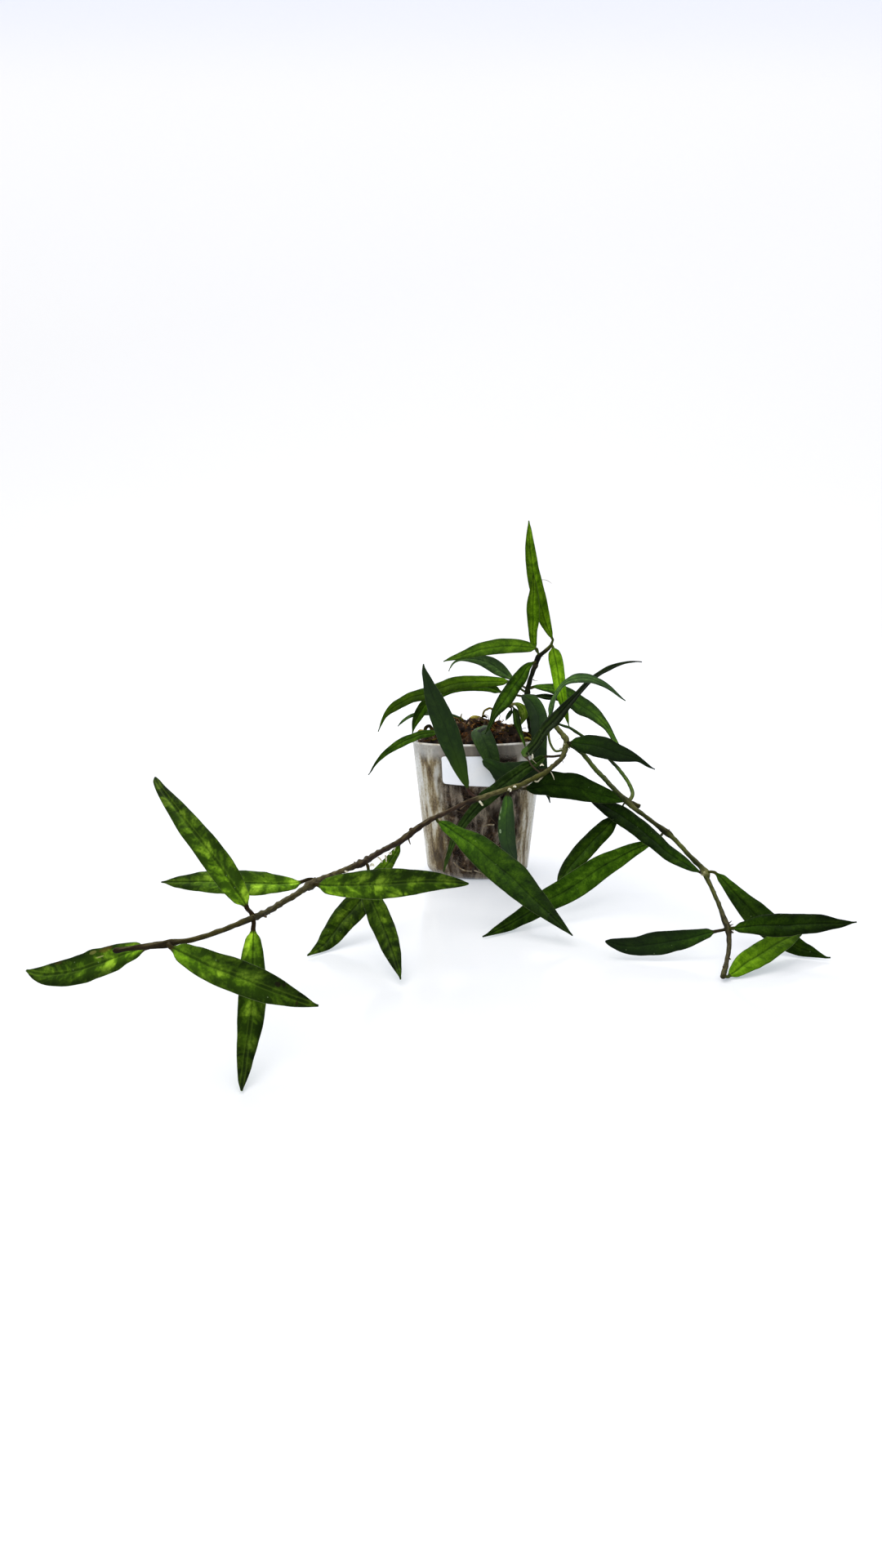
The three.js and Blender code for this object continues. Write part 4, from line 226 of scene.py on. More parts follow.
      (22.63,-2.34,82.59,2.24,-0.44,0.64), (22.83,-2.14,81.84,2.33,-0.44,0.33), (22.91,-1.96,81.08,2.34,-0.48,-0.02),
      (22.88,-1.79,80.3,2.12,-0.56,-0.33), (22.76,-1.65,79.53,1.72,-0.66,-0.47), (22.56,-1.54,78.76,1.29,-0.72,-0.46),
      (22.31,-1.47,77.99,0.95,-0.73,-0.37), (22.04,-1.43,77.23,0.66,-0.65,-0.25), (21.77,-1.44,76.48,0.43,-0.48,-0.13),
      (21.52,-1.5,75.75,0.2,-0.22,-0.05),]},
    "leaf_young_back": {"tone": "dark", "pr": 0.4, "fold": 0.14, "root": (14.42,-6.67,85.73),
      "stalk": [(14.87,-5.87,85.34)], "rows": [
      (16.5,-3.2,83.9,0.36,-0.16,-0.06), (16.5,-3.16,83.79,0.16,-0.07,-0.02), (16.5,-3.12,83.63,0.35,-0.16,-0.05),
      (16.48,-3.08,83.41,0.55,-0.25,-0.09), (16.43,-3.06,83.14,0.74,-0.35,-0.18), (16.3,-3.06,82.8,0.85,-0.42,-0.28),
      (16.11,-3.09,82.43,0.92,-0.47,-0.34), (15.88,-3.15,82.04,0.96,-0.5,-0.37), (15.63,-3.26,81.63,1,-0.51,-0.39),
      (15.37,-3.41,81.22,1.01,-0.51,-0.4), (15.09,-3.6,80.81,1,-0.5,-0.4), (14.81,-3.84,80.41,0.97,-0.47,-0.38), (14.55,-4.1,80.03,0.9,-0.41,-0.33),
      (14.33,-4.39,79.66,0.78,-0.34,-0.27), (14.12,-4.7,79.33,0.63,-0.27,-0.23), (13.93,-5,79.04,0.48,-0.2,-0.18), (13.76,-5.3,78.79,0.34,-0.14,-0.13),
      (13.6,-5.57,78.59,0.21,-0.08,-0.08), (13.47,-5.81,78.42,0.09,-0.04,-0.04), (13.37,-6,78.29,0.27,-0.08,-0.09),]},
    "leaf_rim_fold": {"tone": "blue", "pr": 0.7, "fold": 0.14, "root": None,
      "stalk": [(3,-15.2,78.35)], "rows": [
      (1.75,-18,76.25,0.6,-0.25,0.25), (0.98,-19.85,76.26,1.9,-0.68,0.76), (0.44,-21.75,76.19,2.86,-0.74,1.05), (0.07,-23.69,76.03,3.59,-0.71,1.26),
      (-0.2,-25.67,75.8,4.04,-0.66,1.38), (-0.38,-27.64,75.45,4.35,-0.51,1.45), (-0.35,-29.53,74.88,4.54,-0.18,1.56),
      (-0.03,-31.27,74.01,4.6,0.13,1.74), (0.5,-32.84,72.88,4.61,0.25,1.9), (1.15,-34.26,71.53,4.58,0.24,1.96), (1.86,-35.42,70.03,4.5,0.18,1.97),
      (2.62,-36.16,68.37,4.39,0.09,1.95), (3.41,-36.37,66.6,4.26,0,1.85), (4.19,-36.2,64.75,4.07,-0.02,1.66), (4.93,-35.9,62.88,3.83,-0.01,1.44),
      (5.59,-35.61,61.02,3.49,0.01,1.19), (6.2,-35.36,59.16,3.01,0.02,0.94), (6.76,-35.14,57.28,2.36,0.02,0.69), (7.29,-34.95,55.38,1.45,0.01,0.4),
      (7.81,-34.8,53.44,0.29,0,0.08),]},
    "leaf_right_broad": {"tone": "dark", "pr": 0.6, "fold": 0.14, "root": (16.32,-66.29,53.64),
      "stalk": [(16.73,-64.83,52.98)], "rows": [
      (18.69,-60.5,51.24,-0.13,0.15,0.57), (19.76,-59.98,51.34,-0.09,0.28,0.89), (21.41,-59.35,51.29,-0.04,0.51,1.63),
      (23.27,-58.65,51.23,-0.16,0.8,2.71), (25.46,-57.92,51.68,-0.54,1.08,3.65), (27.94,-57.19,52.44,-0.8,1.43,4.66),
      (30.73,-56.51,53.08,-0.39,1.94,5.91), (34.04,-55.91,52.65,0.26,2.03,5.94), (37.49,-55.44,52.13,0.28,1.96,5.82),
      (41.05,-55.11,51.93,0.5,2.01,5.98), (44.57,-54.93,51.27,1.06,2,5.82), (47.86,-54.92,50.05,1.16,1.8,5.22), (51.1,-55.07,49.1,1.01,1.58,4.66),
      (54.16,-55.34,48.23,0.92,1.36,4.08), (57.02,-55.73,47.49,0.8,1.16,3.48), (59.61,-56.18,46.92,0.74,0.96,2.88), (61.85,-56.67,46.31,0.67,0.73,2.2),
      (63.63,-57.16,45.71,0.44,0.45,1.38), (65.08,-57.61,45.27,0.2,0.21,0.63), (66.19,-58,44.93,0.11,0.08,0.27),]},
    "leaf_right_upper": {"tone": "dark", "pr": 0.6, "fold": 0.14, "root": (41.41,-30.77,69.5),
      "stalk": [(42.08,-33.01,70.06)], "rows": [
      (42.63,-36,70.13,-0.03,0.14,0.58), (43.1,-36.92,70.37,-0.07,0.3,1.05), (44.08,-38.06,70.5,0.15,0.61,2.1), (45.53,-39.37,70.39,0.51,0.9,2.96),
      (47.32,-40.82,70.15,0.74,1.31,3.8), (49.5,-42.36,70.18,0.83,1.57,4.27), (51.93,-43.93,70.07,1.1,1.61,4.48), (54.45,-45.49,69.56,1.43,1.74,4.82),
      (57.12,-46.98,68.99,1.61,1.73,4.75), (59.75,-48.36,68.03,1.6,1.59,4.32), (62.42,-49.6,67.1,1.38,1.52,3.96), (65.13,-50.68,66.39,1.14,1.39,3.48),
      (67.76,-51.59,65.77,0.96,1.14,2.8), (70.23,-52.33,65.06,0.76,0.84,2.03), (72.5,-52.9,64.27,0.57,0.53,1.25), (74.48,-53.32,63.07,0.48,0.4,0.91),
      (76.19,-53.62,61.85,0.41,0.33,0.75), (77.72,-53.81,60.87,0.26,0.24,0.53), (79.04,-53.93,60.18,0.12,0.12,0.27), (80.11,-54,59.7,0.12,0.11,0.25),]},
    "leaf_right_long": {"tone": "dark", "pr": 0.6, "fold": 0.14, "root": (89.04,-116.71,25.53),
      "stalk": [(89.03,-115.17,24.74)], "rows": [
      (88.76,-113,23.99,-0.38,-0.13,-0.45), (87.85,-111.13,24.23,-0.36,-0.22,-0.48), (86.63,-108.74,24.57,-0.74,-0.45,-0.98),
      (85.19,-105.85,25.19,-1.11,-0.62,-1.39), (83.54,-102.47,26.03,-1.54,-0.84,-1.84), (81.58,-98.66,26.97,-1.82,-0.98,-2.16),
      (79.41,-94.44,28.08,-2.01,-1.01,-2.34), (77.26,-89.88,29.63,-2.07,-0.94,-2.35), (75.17,-85.06,31.55,-2.26,-1.03,-2.54),
      (72.7,-80.05,33.22,-2.58,-1.18,-2.89), (70.33,-74.94,35.19,-2.6,-1.21,-2.98), (67.68,-69.81,36.89,-2.62,-1.28,-3.1),
      (65.02,-64.77,38.55,-2.68,-1.33,-3.23), (62.35,-59.91,40.07,-2.56,-1.36,-3.23), (59.65,-55.32,41.21,-2.23,-1.22,-2.9),
      (57.22,-51.08,42.37,-1.83,-0.99,-2.44), (55.01,-47.27,43.4,-1.43,-0.8,-2.01), (53.07,-43.96,44.14,-0.94,-0.55,-1.38),
      (51.47,-41.19,44.64,-0.44,-0.26,-0.65), (50.23,-39,45.05,-0.18,-0.06,-0.23),]},
    "leaf_floor_long": {"tone": "mid", "pr": 0.6, "fold": 0.14, "root": (77.37,-93.91,37.85),
      "stalk": [(77.62,-92.39,37.3), (78.25,-86,35.83), (78.17,-79,32.67)], "rows": [
      (77.13,-72,29.08,0.26,-0.19,-0.51), (74.85,-73.2,28.37,0.39,-0.34,-0.88), (71.77,-74.74,27.78,0.74,-0.68,-1.85),
      (68.04,-76.65,26.74,1.09,-0.89,-2.48), (63.86,-78.91,25.25,1.48,-1.09,-3.04), (59.28,-81.53,23.4,1.82,-1.33,-3.6),
      (54.19,-84.49,21.62,2.19,-1.53,-4.14), (49.02,-87.75,19.33,2.6,-1.63,-4.45), (43.85,-91.29,16.67,2.79,-1.71,-4.62),
      (38.46,-95.05,14.18,2.77,-1.79,-4.68), (32.95,-98.98,11.97,2.52,-1.76,-4.43), (27.34,-103,10.26,2.36,-1.62,-4.06),
      (22.23,-107.03,8.18,2.21,-1.41,-3.63), (17.48,-110.99,6.19,1.88,-1.23,-3.15), (12.99,-114.8,4.61,1.49,-1.02,-2.58),
      (8.9,-118.37,3.24,1.31,-0.89,-2.26), (5.39,-121.61,2.44,0.95,-0.64,-1.69), (2.44,-124.47,1.91,0.55,-0.42,-1.16),
      (-0.12,-126.88,1.31,0.2,-0.21,-0.56), (-2.23,-128.8,1.02,0.1,-0.1,-0.27),]},
    "leaf_right_short": {"tone": "mid", "pr": 0.42, "fold": 0.14, "root": (66.56,-74.42,46.73),
      "stalk": [(65.99,-72.5,46.62), (64.77,-64,45.35), (65.16,-55.5,42.54)], "rows": [
      (64.44,-51,40.72,0.37,-0.12,0.17), (64.69,-51.62,39.73,0.75,-0.3,0.24), (64.36,-52.43,38.42,1.53,-0.75,-0.03),
      (62.83,-53.47,37.06,1.76,-0.96,-0.43), (60.9,-54.73,35.67,2.25,-1.16,-0.94), (58.83,-56.24,34.09,3.02,-1.4,-1.55),
      (56.69,-58.01,32.1,3.45,-1.59,-1.88), (54.13,-60.01,30.17,3.49,-1.67,-1.96), (51.42,-62.25,28.21,3.6,-1.68,-1.98),
      (48.78,-64.71,26.1,3.74,-1.68,-1.99), (46.17,-67.33,23.98,3.79,-1.68,-1.97), (43.57,-70.09,21.95,3.64,-1.62,-1.81),
      (41.07,-72.91,20.03,3.39,-1.49,-1.55), (38.77,-75.74,18.2,3.08,-1.31,-1.24), (36.76,-78.5,16.46,2.68,-1.09,-0.89),
      (35.12,-81.13,14.82,2.17,-0.82,-0.53), (33.96,-83.55,13.28,1.55,-0.53,-0.25), (33.13,-85.7,11.9,1.01,-0.32,-0.09),
      (32.62,-87.53,10.75,0.47,-0.14,-0.01), (32.31,-89,9.86,0.29,-0.06,0.01),]},
    "leaf_end_back": {"tone": "mid", "pr": 0.6, "fold": 0.14, "root": (89.53,-117.69,24.63),
      "stalk": [(90.63,-118.62,25.71), (91.24,-119,25.81)], "rows": [
      (92.62,-119.5,25.58,0.46,0.08,0.38), (93.34,-120.95,25.02,0.67,0.24,0.65), (94.4,-122.77,24.15,1.26,0.43,1.19),
      (95.61,-124.89,22.77,1.58,0.51,1.41), (96.97,-127.27,21.16,2.01,0.65,1.74), (98.48,-129.85,19.31,2.42,0.81,2.08),
      (100.22,-132.56,17.38,2.87,1.03,2.49), (102.15,-135.32,15.39,3.37,1.27,2.95), (104.23,-138.06,13.3,3.67,1.46,3.29),
      (106.48,-140.72,11.21,3.68,1.59,3.49), (108.9,-143.24,9.25,3.52,1.64,3.55), (111.36,-145.58,7.35,3.21,1.6,3.46),
      (113.85,-147.7,5.66,2.68,1.45,3.15), (116.27,-149.59,4.11,2.1,1.26,2.76), (118.68,-151.23,3.1,1.57,1.05,2.35),
      (120.93,-152.63,2.67,1.1,0.84,1.92), (122.98,-153.78,2.07,0.54,0.56,1.32), (124.89,-154.72,1.52,0.17,0.34,0.77),
      (126.54,-155.45,1.11,0.02,0.17,0.36), (127.8,-156,1.28,-0.02,0.14,0.26),]},
    "leaf_end_right": {"tone": "mid", "pr": 0.6, "fold": 0.14, "root": (90.07,-151.51,10.43),
      "stalk": [(90.87,-152.67,11.45)], "rows": [
      (91.44,-154,11.99,0.16,0.17,0.55), (91.63,-155.27,12.32,0.28,0.6,1.04), (92.65,-156.84,13.03,0.26,0.99,1.61),
      (94.04,-158.66,13.8,0.29,1.23,2.01), (95.66,-160.66,14.67,0.32,1.52,2.45), (97.45,-162.79,15.61,0.39,1.85,3.04),
      (99.51,-164.97,16.33,0.56,2.07,3.47), (101.79,-167.12,16.87,0.64,2.24,3.67), (104.2,-169.19,17.47,0.62,2.33,3.68),
      (106.72,-171.11,18.06,0.53,2.41,3.62), (109.24,-172.84,18.93,0.47,2.24,3.27), (111.83,-174.34,19.47,0.49,2.13,3.1),
      (114.4,-175.61,19.91,0.43,2.04,2.91), (116.88,-176.64,20.32,0.38,1.83,2.58), (119.19,-177.43,20.53,0.31,1.42,2.01),
      (121.35,-178.03,20.59,0.16,1.06,1.5), (123.31,-178.45,20.81,0.06,0.77,1.06), (125,-178.73,21.05,0.02,0.44,0.61),
      (126.43,-178.9,21.24,0.01,0.19,0.26), (127.58,-179,21.39,-0.02,0.18,0.24),]},
    "leaf_end_bright": {"tone": "bright", "pr": 0.55, "fold": 0.14, "root": (81.06,-179.87,1.92),
      "stalk": [(82.75,-179.45,1.35)], "rows": [
      (83.18,-179,1.29,-0.22,0.2,0.46), (83.52,-178.36,1.36,-0.2,0.5,0.61), (84.47,-177.54,1.66,-0.6,1.01,0.91), (85.78,-176.52,2.01,-0.91,1.47,1.26),
      (87.3,-175.3,2.58,-1.24,1.88,1.56), (88.99,-173.89,3.33,-1.57,2.3,1.87), (90.96,-172.3,4.15,-1.74,2.63,2.17),
      (93.26,-170.53,4.84,-1.77,2.86,2.42), (95.82,-168.61,5.41,-1.79,2.91,2.54), (98.41,-166.56,6.1,-1.9,3.01,2.69),
      (101.04,-164.42,6.83,-1.81,2.88,2.65), (103.7,-162.22,7.53,-1.65,2.72,2.59), (106.39,-160.01,8.11,-1.51,2.58,2.54),
      (109.03,-157.83,8.59,-1.35,2.39,2.42), (111.55,-155.74,8.96,-1.16,2.1,2.2), (113.8,-153.77,9.29,-0.86,1.64,1.8),
      (115.85,-151.98,9.49,-0.58,1.22,1.39), (117.68,-150.4,9.57,-0.36,0.85,1), (119.14,-149.06,9.52,-0.16,0.4,0.49),
      (120.25,-148,9.44,-0.12,0.14,0.23),]},
    "leaf_end_left": {"tone": "dark", "pr": 0.6, "fold": 0.14, "root": (90.27,-149.52,11.19),
      "stalk": [(89.04,-149.1,9.96), (88.37,-149,9.77)], "rows": [
      (85.76,-149.5,9.42,0.17,-0.27,-0.51), (84.86,-149.9,9.34,0.14,-0.46,-0.77), (83.45,-150.39,9.21,0.25,-0.87,-1.44),
      (81.55,-150.93,8.94,0.3,-1.06,-1.76), (79.39,-151.51,8.54,0.38,-1.29,-2.11), (76.98,-152.09,8.06,0.44,-1.56,-2.52),
      (74.36,-152.65,7.54,0.43,-1.83,-2.94), (71.52,-153.15,7.16,0.34,-2.05,-3.28), (68.53,-153.56,6.87,0.32,-2.19,-3.49),
      (65.53,-153.88,6.36,0.31,-2.4,-3.79), (62.48,-154.09,5.99,0.19,-2.48,-3.9), (59.5,-154.18,5.63,0.11,-2.34,-3.64),
      (56.65,-154.16,5.14,-0.04,-2.1,-3.25), (53.91,-154.05,4.91,-0.27,-1.9,-2.96), (51.34,-153.85,4.96,-0.46,-1.72,-2.69),
      (49.05,-153.59,5.23,-0.54,-1.45,-2.26), (47.07,-153.31,5.61,-0.48,-1.13,-1.77), (45.38,-153.01,5.93,-0.37,-0.84,-1.31),
      (44.07,-152.74,6.14,-0.24,-0.48,-0.74), (43.29,-152.5,6.29,-0.09,-0.15,-0.24),]},
    "leaf_front_big": {"tone": "mid", "pr": 0.6, "fold": 0.14, "root": (-21.37,-86.8,42.52),
      "stalk": [(-20.77,-87.3,40.97)], "rows": [
      (-20.56,-88,40.73,0.29,0.18,0.49), (-19.16,-89.24,40.36,0.69,0.45,1.19), (-17,-90.83,39.33,1.36,0.78,1.98), (-14.35,-92.75,37.79,1.68,0.94,2.28),
      (-11.26,-95.01,36.1,2.04,1.15,2.69), (-7.95,-97.58,34.35,2.91,1.59,3.66), (-4.36,-100.43,32.28,3.68,1.86,4.27),
      (-0.77,-103.52,29.67,4.11,1.97,4.44), (2.96,-106.81,26.99,4.35,2.12,4.61), (6.82,-110.25,24.39,4.49,2.21,4.66),
      (10.65,-113.77,21.8,4.66,2.15,4.53), (14,-117.32,18.94,4.3,1.86,3.99), (17.17,-120.83,16.22,3.66,1.61,3.42),
      (20.27,-124.23,13.79,3.12,1.41,2.93), (23.11,-127.45,11.64,2.47,1.11,2.3), (25.64,-130.43,9.68,1.84,0.82,1.71), (27.89,-133.13,8,1.31,0.59,1.21),
      (29.78,-135.47,6.56,0.84,0.38,0.78), (31.35,-137.44,5.44,0.39,0.18,0.36), (32.58,-139,4.59,0.22,0.08,0.18),]},
    "leaf_vine_right": {"tone": "mottled", "pr": 0.65, "fold": 0.14, "root": (-63.6,-185.74,36.03),
      "stalk": [(-62.4,-186.99,36.32)], "rows": [
      (-61.59,-189,36.66,0.21,0.33,0.51), (-60.89,-189.24,36.52,0.27,0.75,1.09), (-59.32,-189.54,36.53,0.24,1.35,2.03),
      (-57.15,-189.87,36.56,0.19,1.79,2.71), (-54.56,-190.23,36.77,0.15,2.12,3.23), (-51.62,-190.61,36.88,0.15,2.38,3.62),
      (-48.41,-190.97,37.05,0.09,2.65,4.02), (-44.99,-191.32,37.33,0.03,2.87,4.37), (-41.39,-191.63,37.58,0.02,3,4.56),
      (-37.7,-191.89,37.83,0,3.01,4.57), (-33.99,-192.1,38.09,-0.02,2.89,4.39), (-30.33,-192.25,38.36,-0.01,2.67,4.05),
      (-26.8,-192.34,38.59,0.04,2.38,3.6), (-23.42,-192.37,38.7,0.1,2.08,3.16), (-20.28,-192.36,38.68,0.14,1.76,2.67),
      (-17.43,-192.32,38.54,0.16,1.4,2.14), (-14.89,-192.25,38.32,0.14,1.08,1.65), (-12.71,-192.16,38.09,0.1,0.79,1.2),
      (-10.95,-192.08,37.86,0.02,0.44,0.67), (-9.69,-192,37.84,-0.01,0.16,0.25),]},
    "leaf_vine_back_left": {"tone": "mottled", "pr": 0.6, "fold": 0.14, "root": (-35.03,-105.12,36.99),
      "stalk": [(-35.63,-104.63,35.86)], "rows": [
      (-36.65,-104,33.91,0.58,-0.13,-0.07), (-37.02,-105.14,32.95,1.1,-0.37,-0.23), (-37.88,-106.6,31.31,1.64,-0.61,-0.52),
      (-39.25,-108.4,29.44,1.88,-0.73,-0.74), (-40.91,-110.52,27.37,2.24,-0.87,-1.01), (-42.79,-112.95,25.15,2.72,-1.05,-1.37),
      (-44.86,-115.67,22.76,3.15,-1.2,-1.67), (-47.01,-118.66,20.21,3.43,-1.29,-1.9), (-49.28,-121.87,17.63,3.66,-1.38,-2.11),
      (-51.59,-125.26,15.09,4.08,-1.57,-2.47), (-54.02,-128.77,12.72,4.37,-1.73,-2.79), (-56.5,-132.34,10.51,4.21,-1.65,-2.75),
      (-58.73,-135.9,8.32,3.89,-1.41,-2.53), (-60.59,-139.37,6.13,3.47,-1.21,-2.36), (-62.4,-142.7,4.25,2.99,-1.09,-2.22),
      (-64.07,-145.8,2.76,2.17,-0.82,-1.83), (-65.57,-148.61,2.18,1.41,-0.58,-1.43), (-66.98,-151.08,1.79,0.77,-0.39,-1.04),
      (-68.29,-153.15,1.34,0.28,-0.22,-0.59), (-69.45,-154.8,1.01,0.12,-0.1,-0.26),]},
    "leaf_vine_back_right": {"tone": "mottled", "pr": 0.6, "fold": 0.14, "root": (-48.81,-140.32,34.12),
      "stalk": [(-47.8,-141.52,33.44)], "rows": [
      (-47.21,-143,32.82,0.54,-0.1,0.23), (-46.99,-144.02,31.86,0.53,-0.15,0.17), (-46.93,-145.33,30.65,1.22,-0.34,0.28),
      (-46.87,-146.92,29.2,2.02,-0.52,0.44), (-46.62,-148.79,27.48,2.76,-0.67,0.7), (-46.16,-150.92,25.53,3.34,-0.79,0.97),
      (-45.57,-153.29,23.37,3.54,-0.74,1.23), (-44.35,-155.88,21.3,3.62,-0.67,1.5), (-42.98,-158.63,19.21,3.91,-0.75,1.75),
      (-41.67,-161.52,17.04,3.94,-0.77,1.84), (-40.24,-164.49,14.96,3.77,-0.72,1.79), (-38.9,-167.49,12.93,3.69,-0.74,1.75),
      (-37.78,-170.47,10.95,3.48,-0.73,1.64), (-36.74,-173.36,9.13,3.02,-0.62,1.43), (-35.75,-176.11,7.5,2.52,-0.51,1.16),
      (-34.96,-178.66,6.04,1.98,-0.4,0.89), (-34.28,-180.96,4.8,1.41,-0.28,0.61), (-33.7,-182.97,3.75,0.91,-0.18,0.37),
      (-33.32,-184.66,2.89,0.42,-0.09,0.16), (-33.06,-186,2.24,0.27,-0.01,0.13),]},
    "leaf_vine_left": {"tone": "mottled", "pr": 0.6, "fold": 0.14, "root": (-62.26,-181.08,35.99),
      "stalk": [(-63.78,-181.4,36.66), (-65.05,-182.5,36.9)], "rows": [
      (-66.99,-185,36.69,0.36,-0.33,-0.35), (-67.81,-185.72,36.54,0.51,-0.81,-0.73), (-69.2,-186.6,36.5,0.72,-1.57,-1.38),
      (-71.07,-187.57,36.68,0.77,-2.08,-1.84), (-73.28,-188.61,36.91,0.82,-2.51,-2.22), (-75.76,-189.65,37.14,0.83,-3.01,-2.64),
      (-78.49,-190.64,37.55,0.82,-3.51,-3.05), (-81.45,-191.52,37.84,0.81,-3.83,-3.32), (-84.59,-192.25,38.09,0.75,-3.97,-3.42),
      (-87.84,-192.8,38.28,0.64,-4.04,-3.47), (-91.15,-193.15,38.48,0.5,-3.9,-3.35), (-94.45,-193.28,38.7,0.41,-3.62,-3.13),
      (-97.71,-193.21,38.72,0.35,-3.32,-2.91), (-100.88,-192.97,38.68,0.33,-3.03,-2.71), (-103.83,-192.58,38.36,0.23,-2.53,-2.3),
      (-106.57,-192.08,38.22,0.14,-2,-1.85), (-109.04,-191.53,38.02,0.09,-1.52,-1.43), (-111.13,-190.97,37.87,0.05,-0.92,-0.88),
      (-112.87,-190.45,37.69,0.02,-0.38,-0.36), (-114.27,-190,37.56,-0.05,-0.2,-0.22),]},
    "leaf_vine_raised": {"tone": "mottled", "pr": 0.65, "fold": 0.14, "root": (-74.52,-237.86,38.53),
      "stalk": [(-75.42,-237.18,39.69), (-75.76,-236.5,39.74)], "rows": [
      (-76.87,-235,40.34,-0.56,-0.24,-0.22), (-77.11,-234.95,40.9,-1.02,-0.43,-0.4), (-77.73,-234.84,42.16,-1.8,-0.79,-0.84),
      (-78.79,-234.61,43.82,-2.26,-1.03,-1.18), (-80.15,-234.24,45.72,-2.65,-1.22,-1.44), (-81.7,-233.68,47.85,-3.02,-1.38,-1.65),
      (-83.43,-232.88,50.18,-3.22,-1.47,-1.77), (-85.34,-231.83,52.64,-3.32,-1.54,-1.89), (-87.55,-230.51,55.08,-3.26,-1.53,-1.88),
      (-89.85,-228.9,57.57,-3.18,-1.5,-1.85), (-92.36,-227.04,59.97,-3.02,-1.46,-1.79), (-95.01,-224.94,62.28,-2.97,-1.41,-1.74),
      (-97.53,-222.67,64.59,-2.78,-1.28,-1.57), (-99.99,-220.29,66.79,-2.45,-1.13,-1.34), (-102.39,-217.86,68.84,-2.17,-1,-1.14),
      (-104.65,-215.49,70.69,-1.86,-0.86,-0.91), (-106.68,-213.24,72.35,-1.53,-0.69,-0.66), (-108.36,-211.2,73.88,-1.23,-0.53,-0.43),
      (-109.59,-209.43,75.23,-0.89,-0.35,-0.24), (-110.24,-208,76.02,-0.28,-0.09,-0.06),]},
    "leaf_vine_down": {"tone": "mottled", "pr": 0.65, "fold": 0.14, "root": (-74.9,-239.19,38.62),
      "stalk": [(-74.18,-239.52,37.47), (-74.1,-239.8,36.93)], "rows": [
      (-74.17,-240.5,35.64,0.61,0.2,-0.1), (-74.08,-241.06,35.1,1.09,0.41,-0.14), (-73.97,-241.8,33.79,1.87,0.72,-0.24),
      (-73.86,-242.74,32,2.35,0.9,-0.32), (-73.73,-243.88,29.94,2.84,1.09,-0.44), (-73.64,-245.24,27.63,3.21,1.24,-0.52),
      (-73.42,-246.83,25.14,3.47,1.36,-0.57), (-73.16,-248.63,22.53,3.64,1.44,-0.64), (-72.86,-250.65,19.86,3.74,1.45,-0.73),
      (-72.67,-252.84,17.21,3.74,1.4,-0.85), (-72.61,-255.19,14.63,3.59,1.31,-0.91), (-72.59,-257.65,12.19,3.32,1.17,-0.9),
      (-72.65,-260.17,9.94,2.91,1,-0.82), (-72.66,-262.69,7.88,2.59,0.88,-0.74), (-72.66,-265.16,6.05,2.19,0.75,-0.61),
      (-72.51,-267.5,4.43,1.83,0.63,-0.52), (-72.46,-269.65,3.09,1.41,0.46,-0.39), (-72.41,-271.57,1.98,1.01,0.33,-0.24),
      (-72.23,-273.19,1.14,0.52,0.18,-0.1), (-71.99,-274.5,0.81,0.28,0.08,-0.06),]},
    "leaf_vine_low": {"tone": "mottled", "pr": 0.6, "fold": 0.14, "root": (-93.23,-263.45,38),
      "stalk": [(-92.83,-264.46,37.92)], "rows": [
      (-91.96,-266.5,37.94,0.35,0.32,0.37), (-91.46,-266.68,37.62,0.5,0.57,0.66), (-90.27,-266.89,37.2,0.75,1.06,1.42),
      (-88.64,-267.14,36.61,1.01,1.45,1.99), (-86.71,-267.42,35.68,1.19,1.69,2.34), (-84.49,-267.72,34.75,1.34,1.97,2.74),
      (-82.07,-268.02,33.64,1.42,2.13,2.98), (-79.42,-268.32,32.6,1.4,2.29,3.24), (-76.58,-268.61,31.68,1.41,2.45,3.49),
      (-73.67,-268.88,30.68,1.48,2.5,3.56), (-70.8,-269.12,29.53,1.46,2.44,3.47), (-67.93,-269.33,28.44,1.39,2.37,3.38),
      (-65.18,-269.51,27.34,1.26,2.2,3.15), (-62.55,-269.65,26.39,1.06,1.9,2.74), (-60.13,-269.77,25.46,0.86,1.56,2.25),
      (-57.92,-269.85,24.62,0.64,1.24,1.81), (-55.94,-269.92,23.96,0.45,0.92,1.34), (-54.27,-269.96,23.38,0.26,0.58,0.86),
      (-52.88,-269.98,22.96,0.09,0.28,0.43), (-51.78,-270,22.78,0.04,0.16,0.25),]},
    "leaf_vine_tip": {"tone": "mottled", "pr": 0.55, "fold": 0.14, "root": (-97.14,-264.8,37.78),
      "stalk": [(-97.62,-263.86,37.34)], "rows": [
      (-99.58,-261,35.91,-0.03,-0.33,-0.44), (-99.85,-260.89,35.85,0.1,-0.69,-0.8), (-100.93,-260.75,35.6,0.25,-1.16,-1.34),
      (-102.4,-260.58,35.19,0.41,-1.53,-1.76), (-104.14,-260.39,34.64,0.53,-1.83,-2.11), (-106.1,-260.17,34.02,0.7,-2.14,-2.45),
      (-108.19,-259.93,33.15,0.92,-2.51,-2.87), (-110.49,-259.68,32.24,0.99,-2.72,-3.11), (-112.91,-259.41,31.29,0.96,-2.86,-3.3),
      (-115.46,-259.14,30.51,0.99,-2.99,-3.44), (-117.99,-258.86,29.51,0.9,-2.94,-3.37), (-120.57,-258.59,28.77,0.75,-2.85,-3.29),
      (-123.08,-258.32,28.04,0.56,-2.72,-3.14), (-125.51,-258.07,27.65,0.37,-2.52,-2.91), (-127.77,-257.83,27.26,0.2,-2.26,-2.59),
      (-129.79,-257.61,27.15,-0.04,-1.86,-2.1), (-131.52,-257.42,27.29,-0.17,-1.39,-1.54), (-132.94,-257.25,27.55,-0.19,-0.92,-0.99),
      (-134.01,-257.11,27.85,-0.12,-0.43,-0.46), (-134.79,-257,28.11,-0.1,-0.2,-0.2),]},
}

